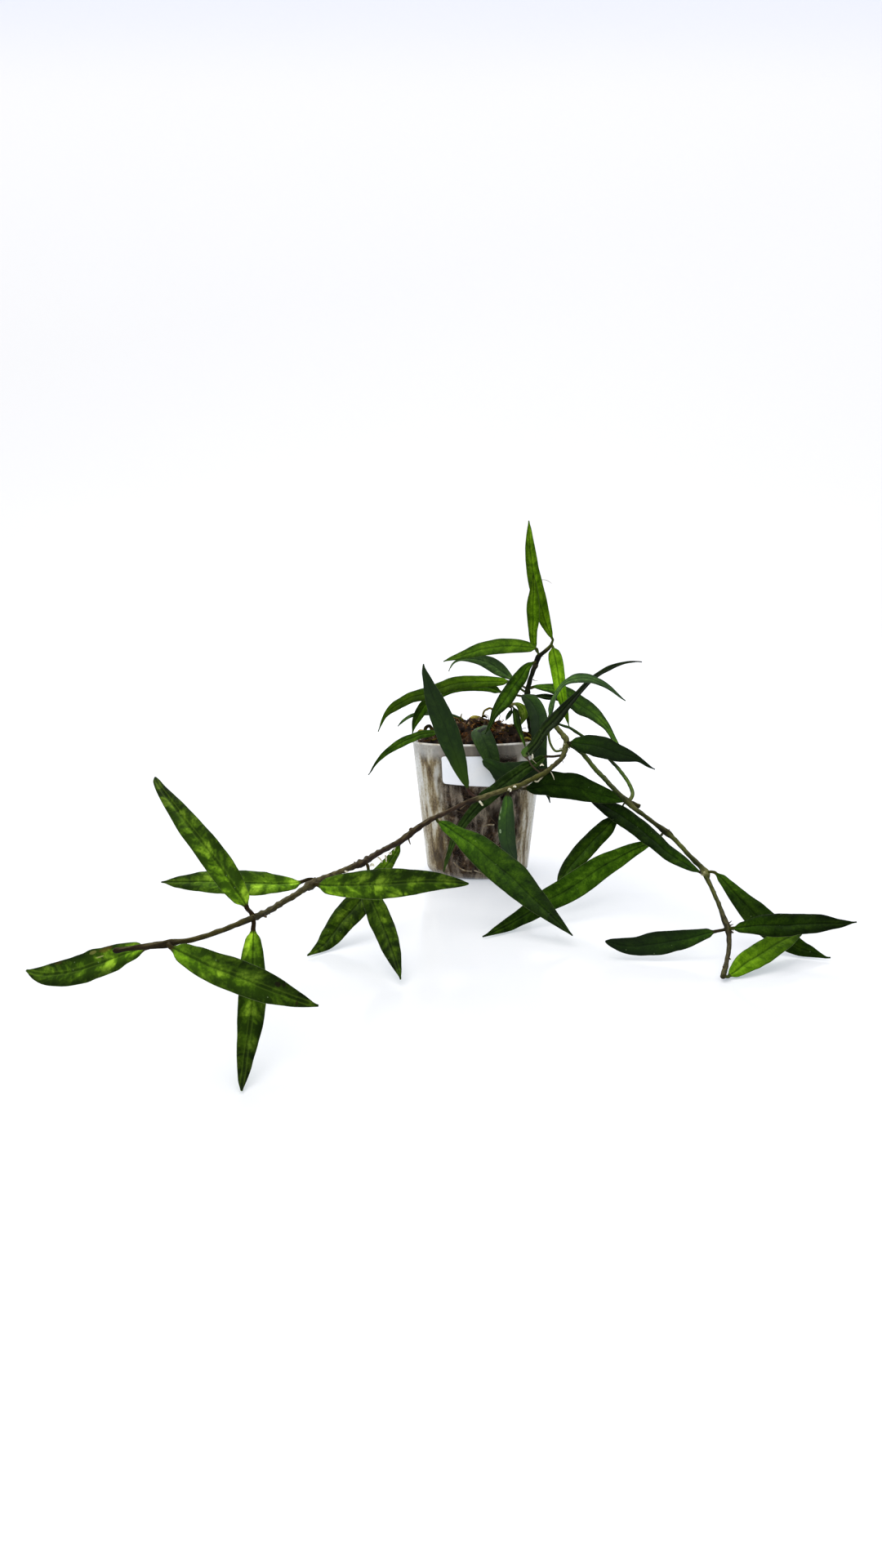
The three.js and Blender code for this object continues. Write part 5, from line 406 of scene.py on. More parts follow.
# ---- stems: x, y, z, radius (mm)
STEMS = {
    "stem_left_vine": [
      (28.11,0.5,71.02,1.35), (28.63,-2.5,74.43,1.35), (29.52,-6,77.44,1.3), (30.82,-9.5,79.17,1.25), (32.58,-12.5,79.7,1.2),
      (34.74,-15.5,79.05,1.2), (36.85,-19,77.11,1.2), (38.88,-23,74.64,1.2), (40.53,-26.5,72.56,1.3), (41.51,-29.3,70.64,1.5),
      (41.26,-31.8,68.71,1.35), (40.24,-35.3,66.3,1.35), (38.22,-41.5,63.45,1.1), (35.22,-48,61.88,1.1), (31.9,-54.5,60.36,1.1),
      (28.79,-59.5,58.71,1.1), (25.51,-62.8,57.62,1.2), (21.64,-64.8,56,1.1), (17.86,-66,54.28,1.1), (14.13,-66.6,52.85,1.25),
      (10.41,-67,51.96,1.15), (6.71,-67.4,50.7,1.1), (2.99,-68,49.66,1.1), (-0.74,-69.2,48.33,1.15), (-4.46,-70.6,47.6,1.15),
      (-8.18,-72.8,46.64,1.05), (-11.88,-75.8,45.26,1), (-15.55,-79.6,44.03,1), (-19.15,-84,42.94,1.05), (-22.7,-88.5,42.25,1.05),
      (-26.17,-93,41.24,0.98), (-29.58,-97.5,39.91,1), (-32.92,-102,38.26,1.05), (-36.18,-107,36.42,1), (-39.32,-113,35.51,0.95),
      (-42.31,-120,34.87,0.95), (-45.14,-128,34.5,0.98), (-47.78,-137,34.1,1), (-50.35,-145,34.21,0.95), (-52.88,-152,34.47,0.9),
      (-55.31,-159,34.78,0.88), (-57.63,-166,35.13,0.88), (-59.84,-173,35.53,0.9), (-61.94,-180,35.97,0.95), (-63.94,-187,36.03,0.9),
      (-65.77,-194.5,35.99,0.85), (-67.48,-202,36.02,0.82), (-69.08,-209.5,36.4,0.82), (-70.56,-217,36.71,0.82), (-71.92,-224.5,37.1,0.82),
      (-73.25,-231.5,37.8,0.85), (-74.55,-238,38.54,0.9), (-76.13,-242.5,38.77,0.82), (-77.85,-246,38.63,0.75), (-79.61,-249,38.5,0.72),
      (-81.32,-252,38.38,0.7), (-83.1,-254.5,38.26,0.7), (-84.83,-257,38.16,0.7), (-86.65,-259,38.03,0.68), (-88.54,-260.5,38,0.68),
      (-90.42,-262,38.09,0.7), (-92.4,-263,38.03,0.75), (-94.36,-264,37.93,0.7), (-96.42,-264.6,37.81,0.66), (-98.47,-265.2,37.75,0.62),
      (-100.45,-266,37.71,0.6), (-102.49,-266.6,37.54,0.58), (-104.57,-267,37.36,0.56), (-106.27,-267.2,37.08,0.62), (-107.12,-267.3,36.99,0.5),],
    "stem_right_vine": [
      (43.46,-31.3,68.58,1), (45.07,-32.5,67.8,1), (47.94,-35,65.9,1), (50.73,-41,62.66,1), (53.63,-48.5,58.91,1),
      (56.24,-57,56.2,1), (58.74,-65.5,53.04,1), (61.36,-72.5,50.17,1.05), (63.56,-77,48.11,1.35), (65.81,-81,45.83,1.05),
      (68.77,-84.8,43.75,0.98), (71.46,-87.8,41.74,0.95), (74.12,-90.8,39.77,0.95), (76.22,-92.8,38.53,1), (78.13,-94.8,37.3,1.2),
      (80.03,-98.5,35.18,0.98), (82.38,-104,32.23,0.95), (84.63,-109.5,29.89,0.95), (86.35,-112.5,28.47,0.95), (88.05,-115.5,26.72,1.05),
      (89.48,-117.5,24.78,1.3), (90.02,-121,22.69,1), (90.34,-126,20.5,0.95), (90.67,-131.5,17.85,0.92), (90.71,-138,15.22,0.92),
      (90.53,-144.5,12.72,0.98), (90.23,-150,11.02,1.3), (89.57,-154.5,9.12,1.05), (88.6,-159,7.27,0.98), (87.02,-164,5.65,0.95),
      (85.01,-169.5,4.25,0.95), (83.07,-174.8,2.88,1), (81.46,-178.8,2.06,1.05), (80.56,-181.2,1.8,1),],
    "stem_upright": [
      (27.39,4.5,71.28,1.15), (26.42,3.8,75.57,1.1), (25.43,3,81.11,1.1), (24.89,2.4,86.18,1.1), (24.59,2,89.97,1.2),
      (24.65,2,92.06,1.4), (25.27,2,94.98,1.1), (26.12,1.8,98.33,1.05), (27.29,1.5,102.08,1.05), (28.59,1.3,105.82,1.15),
      (29.58,1.2,108.52,1.2), (30.37,1.1,110.46,1.25), (31.9,1.2,111.7,0.95), (34.17,1.4,113.56,0.85), (35.91,1.6,115.34,0.8),
      (36.66,1.8,116.37,0.75),],
    "stem_young": [
      (7,-5,78.73,0.7), (8.42,-5.3,80.42,0.68), (10.44,-5.8,82.32,0.65), (12.46,-6.2,84.22,0.65), (14.08,-6.6,85.49,0.7),
      (15.09,-6.8,86.17,0.7),],
    "shoot_thin": [
      (37.84,-17.2,77.77,0.45), (39.44,-17.4,77.39,0.5), (41.39,-18.2,76.73,0.55), (44.02,-20,76.01,0.55), (46.91,-23,74.27,0.55),
      (49.43,-25.5,72.7,0.55), (52.92,-29.5,70.3,0.55), (57.28,-35.5,66.78,0.58), (61.3,-43,62.54,0.6), (63.4,-49.5,60.23,0.62),
      (64.87,-57,57.75,0.62), (66.07,-63.5,55.23,0.62), (66.74,-68.5,52.94,0.62), (66.81,-71.5,51.15,0.62), (65.85,-74.5,49.64,0.6),],
    "stub_right": [
      (64.68,-76.1,47.56,1.15), (67.46,-73.8,46.32,1.15), (70.11,-72.5,45.08,1.1),],
}

# ================================================================ helpers
def hermite(x, y, xi):
    """Smooth curve through the points (x, y), read at xi: cubic Hermite with finite-difference slopes."""
    x, y, xi = np.asarray(x, float), np.asarray(y, float), np.asarray(xi, float)
    h = np.diff(x)
    d = np.diff(y, axis=0) / h.reshape([-1] + [1] * (y.ndim - 1))
    m = np.zeros_like(y)
    m[0], m[-1] = d[0], d[-1]
    w0 = (h[1:] / (h[:-1] + h[1:])).reshape([-1] + [1] * (y.ndim - 1))
    m[1:-1] = d[:-1] * w0 + d[1:] * (1 - w0)
    k = np.clip(np.searchsorted(x, xi, side="right") - 1, 0, len(x) - 2)
    sh = [-1] + [1] * (y.ndim - 1)
    t = ((xi - x[k]) / h[k]).reshape(sh)
    hk = h[k].reshape(sh)
    return ((1 + 2 * t) * (1 - t) ** 2 * y[k] + t * (1 - t) ** 2 * hk * m[k]
            + t * t * (3 - 2 * t) * y[k + 1] + t * t * (t - 1) * hk * m[k + 1])


def unit(v):
    return v / np.maximum(np.linalg.norm(v, axis=-1, keepdims=True), 1e-9)


def arc(p):
    return np.concatenate([[0], np.cumsum(np.linalg.norm(np.diff(p, axis=0), axis=1))])


def wave_noise(x, seed, octaves=3):
    """Repeatable smooth noise of one variable, about -1 to 1."""
    r = random.Random(seed)
    out = np.zeros_like(np.asarray(x, float))
    for o in range(octaves):
        f = 2 ** o
        out += math.pow(0.55, o) * np.sin(2 * np.pi * (f * x * r.uniform(0.8, 1.25) + r.random()))
    return out / 1.6


def make_mesh(name, verts, faces, smooth=True, attrs=None, mats=()):
    """A mesh object from millimetre vertices; attrs maps a name to per-vertex 3-vectors."""
    me = bpy.data.meshes.new(name)
    me.from_pydata((np.asarray(verts, float) * MM).tolist(), [], [list(map(int, f)) for f in faces])
    me.update()
    for k, a in (attrs or {}).items():
        at = me.attributes.new(k, "FLOAT_VECTOR", "POINT")
        at.data.foreach_set("vector", np.asarray(a, np.float32).ravel())
    if smooth:
        me.polygons.foreach_set("use_smooth", [True] * len(me.polygons))
    for m in mats:
        me.materials.append(m)
    ob = bpy.data.objects.new(name, me)
    scene.collection.objects.link(ob)
    return ob


def ring_faces(n, k, offset=0, caps=True, flip=False):
    """Faces of a tube of n rings of k points, with fan caps of one n-gon each."""
    f = []
    for i in range(n - 1):
        for j in range(k):
            a, b = offset + i * k + j, offset + i * k + (j + 1) % k
            q = (a, b, b + k, a + k)
            f.append(q[::-1] if flip else q)
    if caps:
        lo = tuple(offset + j for j in range(k))
        hi = tuple(offset + (n - 1) * k + j for j in range(k))
        f.append(lo if flip else lo[::-1])
        f.append(hi[::-1] if flip else hi)
    return f


def frames_along(p, first=None):
    """Untwisted side and up vectors square to a path."""
    t = unit(np.gradient(p, axis=0))
    side = np.array(first if first is not None else (0, 0, 1.0), float)
    if abs(t[0] @ unit(side)) > 0.9:
        side = np.array((1.0, 0.3, 0))
    S, U = [], []
    for v in t:
        side = side - v * (side @ v)
        side = side / np.linalg.norm(side)
        S.append(side)
        U.append(np.cross(v, side))
    return t, np.array(S), np.array(U)


def tube(points, radii, k=10, step=0.6, rough=0.0, seed=1, taper_ends=True):
    """Vertices, faces and (along, around, radius) of a round tube through millimetre points."""
    p = np.asarray(points, float)
    s = arc(p)
    n = max(4, int(s[-1] / step))
    si = np.linspace(0, s[-1], n)
    c = hermite(s, p, si)
    r = np.interp(si, s, np.asarray(radii, float) * np.ones(len(p)))
    t, S, U = frames_along(c)
    th = 2 * np.pi * np.arange(k) / k
    rr = r[:, None] * np.ones(k)
    if rough:
        g = random.Random(seed)
        for o in range(5):
            a, b, ph = g.randint(1, 4), g.uniform(0.15, 1.1), g.random() * 6.28
            rr = rr * (1 + rough * 0.5 * np.sin(a * th[None, :] + b * si[:, None] + ph))
    if taper_ends:
        e = np.minimum(si, s[-1] - si)
        q = np.clip(e / np.maximum(r, 1e-6) / 0.8, 0, 1)
        rr = rr * (0.35 + 0.65 * np.sqrt(1 - (1 - q) ** 2))[:, None]
    v = c[:, None, :] + S[:, None, :] * (rr * np.cos(th))[..., None] + U[:, None, :] * (rr * np.sin(th))[..., None]
    info = np.stack([np.repeat(si, k), np.tile(th / (2 * np.pi), n), np.repeat(r, k)], -1)
    return v.reshape(-1, 3), ring_faces(n, k), info


# ---- a small builder for shader node trees
class Nodes:
    def __init__(self, name):
        self.mat = bpy.data.materials.new(name)
        self.mat.use_nodes = True
        self.t = self.mat.node_tree
        self.t.nodes.clear()
        self.out = self.t.nodes.new("ShaderNodeOutputMaterial")

    def _in(self, sock, v):
        if v is None:
            return
        if isinstance(v, bpy.types.NodeSocket):
            self.t.links.new(v, sock)
        elif sock.type == "RGBA":
            sock.default_value = (*v[:3], 1.0)
        else:
            sock.default_value = v

    def math(self, op, a, b=None, c=None, clamp=False):
        n = self.t.nodes.new("ShaderNodeMath")
        n.operation = op
        n.use_clamp = clamp
        for i, v in enumerate((a, b, c)):
            self._in(n.inputs[i], v) if v is not None else None
        return n.outputs[0]

    def mix(self, f, a, b, kind="MIX"):
        n = self.t.nodes.new("ShaderNodeMix")
        n.data_type = "RGBA"
        n.blend_type = kind
        n.clamp_factor = True
        self._in(n.inputs[0], f)
        self._in(n.inputs[6], a)
        self._in(n.inputs[7], b)
        return n.outputs[2]

    def mixf(self, f, a, b):
        n = self.t.nodes.new("ShaderNodeMix")
        n.data_type = "FLOAT"
        self._in(n.inputs[0], f)
        self._in(n.inputs[2], a)
        self._in(n.inputs[3], b)
        return n.outputs[0]

    def ramp(self, f, stops, kind="EASE"):
        n = self.t.nodes.new("ShaderNodeValToRGB")
        n.color_ramp.interpolation = kind
        e = n.color_ramp.elements
        while len(e) < len(stops):
            e.new(0.5)
        for q, (p, c) in zip(e, stops):
            q.position = p
            q.color = (*c[:3], 1.0) if not isinstance(c, (int, float)) else (c, c, c, 1.0)
        self._in(n.inputs[0], f)
        return n.outputs[0]

    def span(self, v, a, b, lo=0.0, hi=1.0, smooth=True):
        n = self.t.nodes.new("ShaderNodeMapRange")
        n.interpolation_type = "SMOOTHSTEP" if smooth else "LINEAR"
        self._in(n.inputs["Value"], v)
        n.inputs["From Min"].default_value = a
        n.inputs["From Max"].default_value = b
        n.inputs["To Min"].default_value = lo
        n.inputs["To Max"].default_value = hi
        return n.outputs[0]

    def noise(self, vec, scale, detail=3.0, rough=0.55, distort=0.0):
        n = self.t.nodes.new("ShaderNodeTexNoise")
        self._in(n.inputs["Vector"], vec)
        n.inputs["Scale"].default_value = scale
        n.inputs["Detail"].default_value = detail
        n.inputs["Roughness"].default_value = rough
        n.inputs["Distortion"].default_value = distort
        return n.outputs[0]

    def voronoi(self, vec, scale, feature="F1", rnd=1.0, out="Distance"):
        n = self.t.nodes.new("ShaderNodeTexVoronoi")
        n.feature = feature
        self._in(n.inputs["Vector"], vec)
        n.inputs["Scale"].default_value = scale
        n.inputs["Randomness"].default_value = rnd
        return n.outputs[out]

    def attr(self, name, out="Vector"):
        n = self.t.nodes.new("ShaderNodeAttribute")
        n.attribute_name = name
        return n.outputs[out]

    def obj(self):
        return self.t.nodes.new("ShaderNodeTexCoord").outputs["Object"]

    def sep(self, v):
        n = self.t.nodes.new("ShaderNodeSeparateXYZ")
        self._in(n.inputs[0], v)
        return n.outputs[0], n.outputs[1], n.outputs[2]

    def comb(self, x=0.0, y=0.0, z=0.0):
        n = self.t.nodes.new("ShaderNodeCombineXYZ")
        for i, v in enumerate((x, y, z)):
            self._in(n.inputs[i], v)
        return n.outputs[0]

    def bump(self, h, strength=0.3, dist=0.0002, normal=None):
        n = self.t.nodes.new("ShaderNodeBump")
        n.inputs["Strength"].default_value = strength
        n.inputs["Distance"].default_value = dist
        self._in(n.inputs["Height"], h)
        if normal is not None:
            self._in(n.inputs["Normal"], normal)
        return n.outputs[0]

    def principled(self, **kw):
        n = self.t.nodes.new("ShaderNodeBsdfPrincipled")
        for k, v in kw.items():
            self._in(n.inputs[k.replace("_", " ")], v)
        return n.outputs[0]

    def done(self, shader):
        self.t.links.new(shader, self.out.inputs["Surface"])
        return self.mat


def srgb(r, g, b):
    f = lambda v: v / 255 / 12.92 if v / 255 <= 0.04045 else ((v / 255 + 0.055) / 1.055) ** 2.4
    return (f(r), f(g), f(b))


def scaled(c, k):
    return tuple(min(1.0, v * k) for v in c)


# ================================================================ leaves
# Tones of the blade: shaded lows, middle, lit highs, and the paler underside.
TONES = {
    "bright": (srgb(40, 68, 5), srgb(66, 98, 10), srgb(98, 134, 26), srgb(84, 110, 40)),
    "mottled": (srgb(29, 47, 7), srgb(55, 79, 14), srgb(98, 124, 38), srgb(84, 104, 40)),
    "mid": (srgb(18, 38, 3), srgb(38, 64, 9), srgb(66, 96, 22), srgb(70, 92, 44)),
    "dark": (srgb(9, 24, 3), srgb(20, 38, 6), srgb(36, 57, 13), srgb(54, 74, 42)),
    "blue": (srgb(16, 34, 10), srgb(34, 54, 22), srgb(66, 90, 50), srgb(66, 88, 60)),
    "olive": (srgb(34, 50, 12), srgb(60, 78, 24), srgb(104, 118, 60), srgb(104, 116, 70)),
}
# gain, gain at the base, gain at the tip, mottling, stripes, shine, greyness, painted shade of one half against the
# other, gain at the margin; the gains hold both the blade's own colour and painted light and shade
LOOK = {
    "leaf_top_tall": (0.96, 1.11, 1.18, 0.75, 0.5, 0.15, 0, -0.14, 0.76),
    "leaf_top_second": (1.19, 1.36, 0.42, 0.6, 0.5, 0.15, 0, -0.17, 0.72),
    "leaf_top_left": (1.27, 1.14, 0.73, 0.45, 0.3, 0.2, 0.12, 0, 0.6),
    "leaf_back_upper": (1.69, 1.8, 1.5, 0.3, 0.2, 0.3, 0.2, 0.21, 0.67),
    "leaf_front_droop": (1.49, 1.16, 0.3, 0.35, 0.25, 0.2, 0, 0.06, 0.41),
    "leaf_bright_hanging": (2.22, 0.51, 0.3, 0.25, 0.8, 0.2, 0, 0.05, 1.15),
    "leaf_left_arc": (0.51, 2.8, 1.01, 0.35, 0.25, 0.25, 0, -0.18, 0.83),
    "leaf_left_under": (1.55, 1.05, 0.47, 0.35, 0.2, 0.2, 0, 0.42, 0.97),
    "leaf_left_thin": (1.61, 1, 1.22, 0.25, 0.2, 0.3, 0.2, -0.19, 0.65),
    "leaf_left_lower": (1.24, 0.74, 0.3, 0.35, 0.3, 0.2, 0, 0.07, 1.15),
    "leaf_vine_upright": (1.17, 0.5, 0.59, 0.25, 0.2, 0.25, 0.25, 0.02, 1.03),
    "leaf_mid_hanging": (1.13, 2.24, 0.3, 0.2, 0.1, 0.35, 0.35, 0.42, 1.15),
    "leaf_right_arch": (1.58, 2.44, 2, 0.35, 0.4, 0.3, 0.15, 0, 0.38),
    "leaf_right_low": (0.34, 2.15, 0.32, 0.3, 0.2, 0.3, 0, -0.42, 0.35),
    "leaf_front_blue": (0.19, 2.8, 1.74, 0.25, 1.6, 0.35, 0.15, 0.15, 1.15),
    "leaf_right_curl": (3.02, 0.95, 0.3, 0.3, 0.3, 0.35, 0.2, 0.04, 0.35),
    "leaf_pot_blue": (1.2, 0.8, 2, 0.2, 0.1, 0.35, 0.3, -0.28, 0.66),
    "leaf_channelled": (0.57, 2.07, 1.62, 0.25, 0.7, 0.3, 0, 0.01, 1.15),
    "leaf_pot_hanging": (2.5, 2.8, 0.3, 0.25, 0.15, 0.3, 0.25, -0.28, 0.44),
    "leaf_young_narrow": (0.66, 0.8, 2, 0.3, 0.3, 0.2, 0, -0.42, 0.58),
    "leaf_young_olive": (4.42, 0.5, 0.3, 0.3, 0.2, 0.2, 0, 0.27, 0.84),
    "leaf_young_back": (1.2, 1, 1.2, 0.2, 0.1, 0.3, 0.2, 0, 0.8),
    "leaf_rim_fold": (1.03, 2.8, 2, 0.15, 0.1, 0.35, 0.3, -0.17, 1.15),
    "leaf_right_broad": (1.18, 0.59, 2, 0.3, 0.15, 0.2, 0, -0.06, 0.72),
    "leaf_right_upper": (0.91, 2.8, 0.5, 0.25, 0.15, 0.25, 0.12, 0.1, 0.58),
    "leaf_right_long": (1.34, 2.52, 0.4, 0.25, 0.15, 0.2, 0, -0.14, 0.68),
    "leaf_floor_long": (1.41, 1.14, 0.3, 0.4, 0.4, 0.2, 0, 0.05, 0.95),
    "leaf_right_short": (0.84, 0.61, 0.78, 0.35, 0.3, 0.2, 0, 0.27, 0.7),
    "leaf_end_back": (0.47, 2.8, 1.01, 0.35, 0.25, 0.2, 0, 0.16, 1.15),
    "leaf_end_right": (0.47, 2.8, 0.45, 0.35, 0.3, 0.2, 0, -0.06, 0.58),
    "leaf_end_bright": (1.16, 1.5, 0.35, 0.45, 0.7, 0.2, 0, -0.01, 1.08),
    "leaf_end_left": (1.19, 2.8, 0.42, 0.3, 0.2, 0.25, 0.1, 0.2, 0.5),
    "leaf_front_big": (1.08, 2.47, 0.3, 0.4, 0.3, 0.25, 0.05, -0.06, 0.82),
    "leaf_vine_right": (1.41, 2.07, 0.68, 1, 0.3, 0.2, 0, -0.29, 0.96),
    "leaf_vine_back_left": (0.86, 2.8, 1.19, 0.8, 0.3, 0.2, 0, -0.11, 0.8),
    "leaf_vine_back_right": (1.17, 0.5, 0.51, 0.7, 0.3, 0.2, 0, 0.1, 0.76),
    "leaf_vine_left": (2.76, 1.44, 0.3, 0.8, 0.3, 0.2, 0, 0.12, 0.65),
    "leaf_vine_raised": (1.76, 1.89, 0.35, 1, 0.3, 0.2, 0, 0.19, 0.84),
    "leaf_vine_down": (1.5, 2.8, 0.3, 0.9, 0.3, 0.2, 0, -0.18, 0.57),
    "leaf_vine_low": (1.56, 2.8, 0.49, 0.9, 0.3, 0.2, 0, -0.31, 0.6),
    "leaf_vine_tip": (1.87, 2.52, 0.78, 1, 0.3, 0.2, 0, 0.04, 0.36),
}
# Marks on single blades: across and along the blade (mm), half sizes (mm), colour, strength.
MARKS = {
    "leaf_vine_low": [(1.85, 30.9, 0.75, 0.9, (22, 20, 8), 0.9), (2.3, 32.6, 0.5, 0.5, (24, 22, 10), 0.85), (-1.0, 37.5, 0.6, 0.4, (38, 30, 14), 0.6)],
    "leaf_vine_tip": [(-3.3, 12.6, 0.9, 2.2, (88, 66, 26), 0.45), (-3.4, 16.6, 0.6, 1.0, (128, 128, 66), 0.45), (-1.6, 14.6, 0.22, 1.4, (158, 160, 100), 0.6), (-3.1, 27.8, 0.6, 1.2, (56, 44, 16), 0.55)],
    "leaf_pot_hanging": [(-2.8, 18.8, 0.45, 1.0, (168, 188, 150), 0.8), (-2.8, 18.8, 0.2, 0.55, (70, 96, 60), 0.8), (-3.0, 8.5, 0.45, 2.2, (150, 168, 128), 0.6), (-3.2, 12.4, 0.4, 1.0, (150, 168, 128), 0.6)],
    "leaf_front_blue": [(2.0, 2.6, 1.5, 3.2, (74, 108, 40), 0.6), (0.4, 0.8, 1.4, 1.8, (96, 116, 60), 0.5)],
    # leaf_rim_fold: a dark patch painted as the shadow inside its fold, and a pale line painted as a highlight along
    # the folded edge
    "leaf_rim_fold": [(1.0, 10.6, 2.6, 2.4, (14, 22, 10), 0.9), (-3.0, 5.4, 0.8, 2.4, (112, 138, 122), 0.6)],
    "leaf_front_big": [(-3.04, 54.3, 0.7, 1.2, (16, 34, 6), 0.85)],
    "leaf_vine_upright": [(0.2, 4.0, 5.0, 17.0, (54, 82, 14), 0.62)],
}
STALK = {"bright": srgb(62, 74, 24), "mottled": srgb(52, 44, 22), "mid": srgb(62, 66, 24),
         "dark": srgb(50, 46, 26), "blue": srgb(78, 74, 52), "olive": srgb(96, 92, 46)}
STALK_THIN = {"leaf_young_olive": 1.25, "leaf_front_blue": 0.66, "leaf_vine_upright": 0.85, "leaf_rim_fold": 0.8}
STALK_OF = {"leaf_young_olive": srgb(140, 136, 84), "leaf_front_blue": srgb(66, 54, 42), "leaf_rim_fold": srgb(44, 36, 22), "leaf_channelled": srgb(58, 50, 34), "leaf_vine_upright": srgb(62, 44, 36),
            "leaf_right_curl": srgb(92, 106, 48), "leaf_vine_raised": srgb(40, 30, 14), "leaf_vine_down": srgb(42, 32, 14)}
TOP_S = [1.0, .985, .945, .88, .80, .70, .60, .49, .38, .27, .17, .10, .05, 0.0]
TOP_S = TOP_S + [-v for v in TOP_S[-2::-1]]
RING_S = np.array(TOP_S + TOP_S[-2:0:-1])
RING_SIDE = np.array([1.0] * len(TOP_S) + [-1.0] * (len(TOP_S) - 2))
RING_SIDE[0] = RING_SIDE[len(TOP_S) - 1] = 0.0


def leaf_material(name, tone, seed):
    lo, md, hi, under = TONES[tone]
    gain, g_base, g_tip, mott, stripes, shine, grey, half_shade, g_edge = LOOK[name]
    vine = tone == "mottled"
    cells = 0.85 if vine else 0.68
    mott *= cells
    N = Nodes("leaf_" + name[5:] if name.startswith("leaf_") else name)
    s, t, side = N.sep(N.attr("lf"))
    x, y, stalk = N.sep(N.attr("mm"))
    ax = N.math("ABSOLUTE", x)
    as_ = N.math("ABSOLUTE", s)
    flat = N.comb(x, y, seed * 7.31)
    # coordinates that lean with the side veins, and wander
    slant = N.math("SUBTRACT", y, N.math("MULTIPLY", ax, 0.75))
    wander = N.t.nodes.new("ShaderNodeTexNoise")
    N._in(wander.inputs["Vector"], flat)
    wander.inputs["Scale"].default_value = 0.28
    wander.inputs["Detail"].default_value = 2.0
    push = N.t.nodes.new("ShaderNodeVectorMath")
    push.operation = "SCALE"
    push.inputs[3].default_value = 1.9
    N.t.links.new(wander.outputs["Color"], push.inputs[0])
    vein = N.t.nodes.new("ShaderNodeVectorMath")
    vein.operation = "ADD"
    N._in(vein.inputs[0], N.comb(x, slant, seed * 5.17))
    N.t.links.new(push.outputs[0], vein.inputs[1])
    vx, vy, vz = N.sep(vein.outputs[0])
    big = N.comb(N.math("MULTIPLY", vx, 0.17), N.math("MULTIPLY", vy, 0.135), seed * 2.3)
    edge = N.voronoi(big, 1.0, "DISTANCE_TO_EDGE")
    band = N.span(edge, 0.0, 0.30)
    cellv = N.t.nodes.new("ShaderNodeTexVoronoi")
    N._in(cellv.inputs["Vector"], big)
    cellv.inputs["Scale"].default_value = 1.0
    cell_tone = N.sep(cellv.outputs["Color"])[0]
    cloud = N.noise(N.comb(vx, N.math("MULTIPLY", vy, 0.6), seed * 3.7), 0.26, 2.0, 0.5, 0.3)
    beat = N.math("ADD", N.math("MULTIPLY", N.math("SUBTRACT", y, N.math("MULTIPLY", ax, 0.42)), 0.098), N.math("MULTIPLY", N.noise(N.comb(N.math("MULTIPLY", x, 0.6), y, seed * 9.1), 0.16, 2.0, 0.5), 0.9))
    wave = N.math("SINE", N.math("MULTIPLY", beat, 6.2832))
    cross = N.math("MULTIPLY", N.span(wave, 0.10, 1.0), N.span(N.noise(flat, 0.20, 1.0), 0.32, 0.56))
    line = N.math("MULTIPLY", N.span(wave, 0.90, 0.985), N.span(N.noise(flat, 0.45, 1.0), 0.36, 0.56))
    net = N.span(N.voronoi(N.comb(vx, N.math("MULTIPLY", vy, 0.85), seed), 0.40 if vine else 0.62, "DISTANCE_TO_EDGE"), 0.0, 0.30 if vine else 0.17)
    grain = N.noise(flat, 1.35, 4.0, 0.68)
    soft = N.noise(N.comb(x, N.math("MULTIPLY", slant, 0.75), seed * 1.9), 0.42, 2.0, 0.5, 0.4)
    m = N.math("MULTIPLY", N.math("SUBTRACT", cloud, 0.5), (0.50 + 0.16 * mott) * (0.7 if vine else 1.0))
    m = N.math("ADD", m, N.math("MULTIPLY", N.math("SUBTRACT", soft, 0.5), (0.42 + 0.36 * mott) * (0.55 if vine else 1.0)))
    m = N.math("SUBTRACT", m, N.math("MULTIPLY", N.math("SUBTRACT", cross, 0.24), (0.27 if vine else 0.20) * mott))
    m = N.math("SUBTRACT", m, N.math("MULTIPLY", line, 0.03 + (0.30 if vine else 0.13) * mott))
    m = N.math("ADD", m, N.math("MULTIPLY", N.math("SUBTRACT", band, 0.68), (0.36 if vine else 0.17) * mott))
    m = N.math("ADD", m, N.math("MULTIPLY", N.math("SUBTRACT", cell_tone, 0.5), 0.12 * mott))
    m = N.math("ADD", m, N.math("MULTIPLY", N.math("SUBTRACT", net, 0.75), 0.02 + (0.15 if vine else 0.05) * mott))
    m = N.math("ADD", m, N.math("MULTIPLY", N.math("SUBTRACT", grain, 0.5), (0.46 + 0.45 * mott) * (0.7 if vine else 1.0)))
    # pale flanks beside the midrib
    flank = N.math("MULTIPLY", N.span(as_, 0.05, 0.24), N.span(as_, 0.62, 0.30))
    m = N.math("ADD", m, N.math("MULTIPLY", flank, 0.20 * stripes))
    lvl = N.math("ADD", m, 0.5)
    blade = N.ramp(lvl, [(0.0, scaled(lo, gain * 0.8)), (0.26, scaled(lo, gain)), (0.52, scaled(md, gain)), (0.80, scaled(hi, gain)), (1.0, scaled(hi, gain * 1.2))], "LINEAR")
    # broad lighter and darker zones at the base, the tip and the outer strip, partly the blade's own colour and partly
    # painted light and shade; one half is painted darker than the other as shade of the fold
    k = N.mixf(N.span(t, 0.0, 0.42, 1.0, 0.0), 1.0, g_base)
    k = N.math("MULTIPLY", k, N.mixf(N.span(t, 0.45, 0.95), 1.0, g_tip))
    k = N.math("MULTIPLY", k, N.span(s, -0.35, 0.35, 1.0 - half_shade, 1.0 + half_shade))
    k = N.math("MULTIPLY", k, N.mixf(N.span(as_, 0.30, 0.95), 1.0, g_edge))
    blade = N.mix(1.0, blade, N.comb(N.math("MULTIPLY", k, 0.97), k, N.math("MULTIPLY", N.math("POWER", k, 0.7), 0.66 if vine else 0.55)), "MULTIPLY")
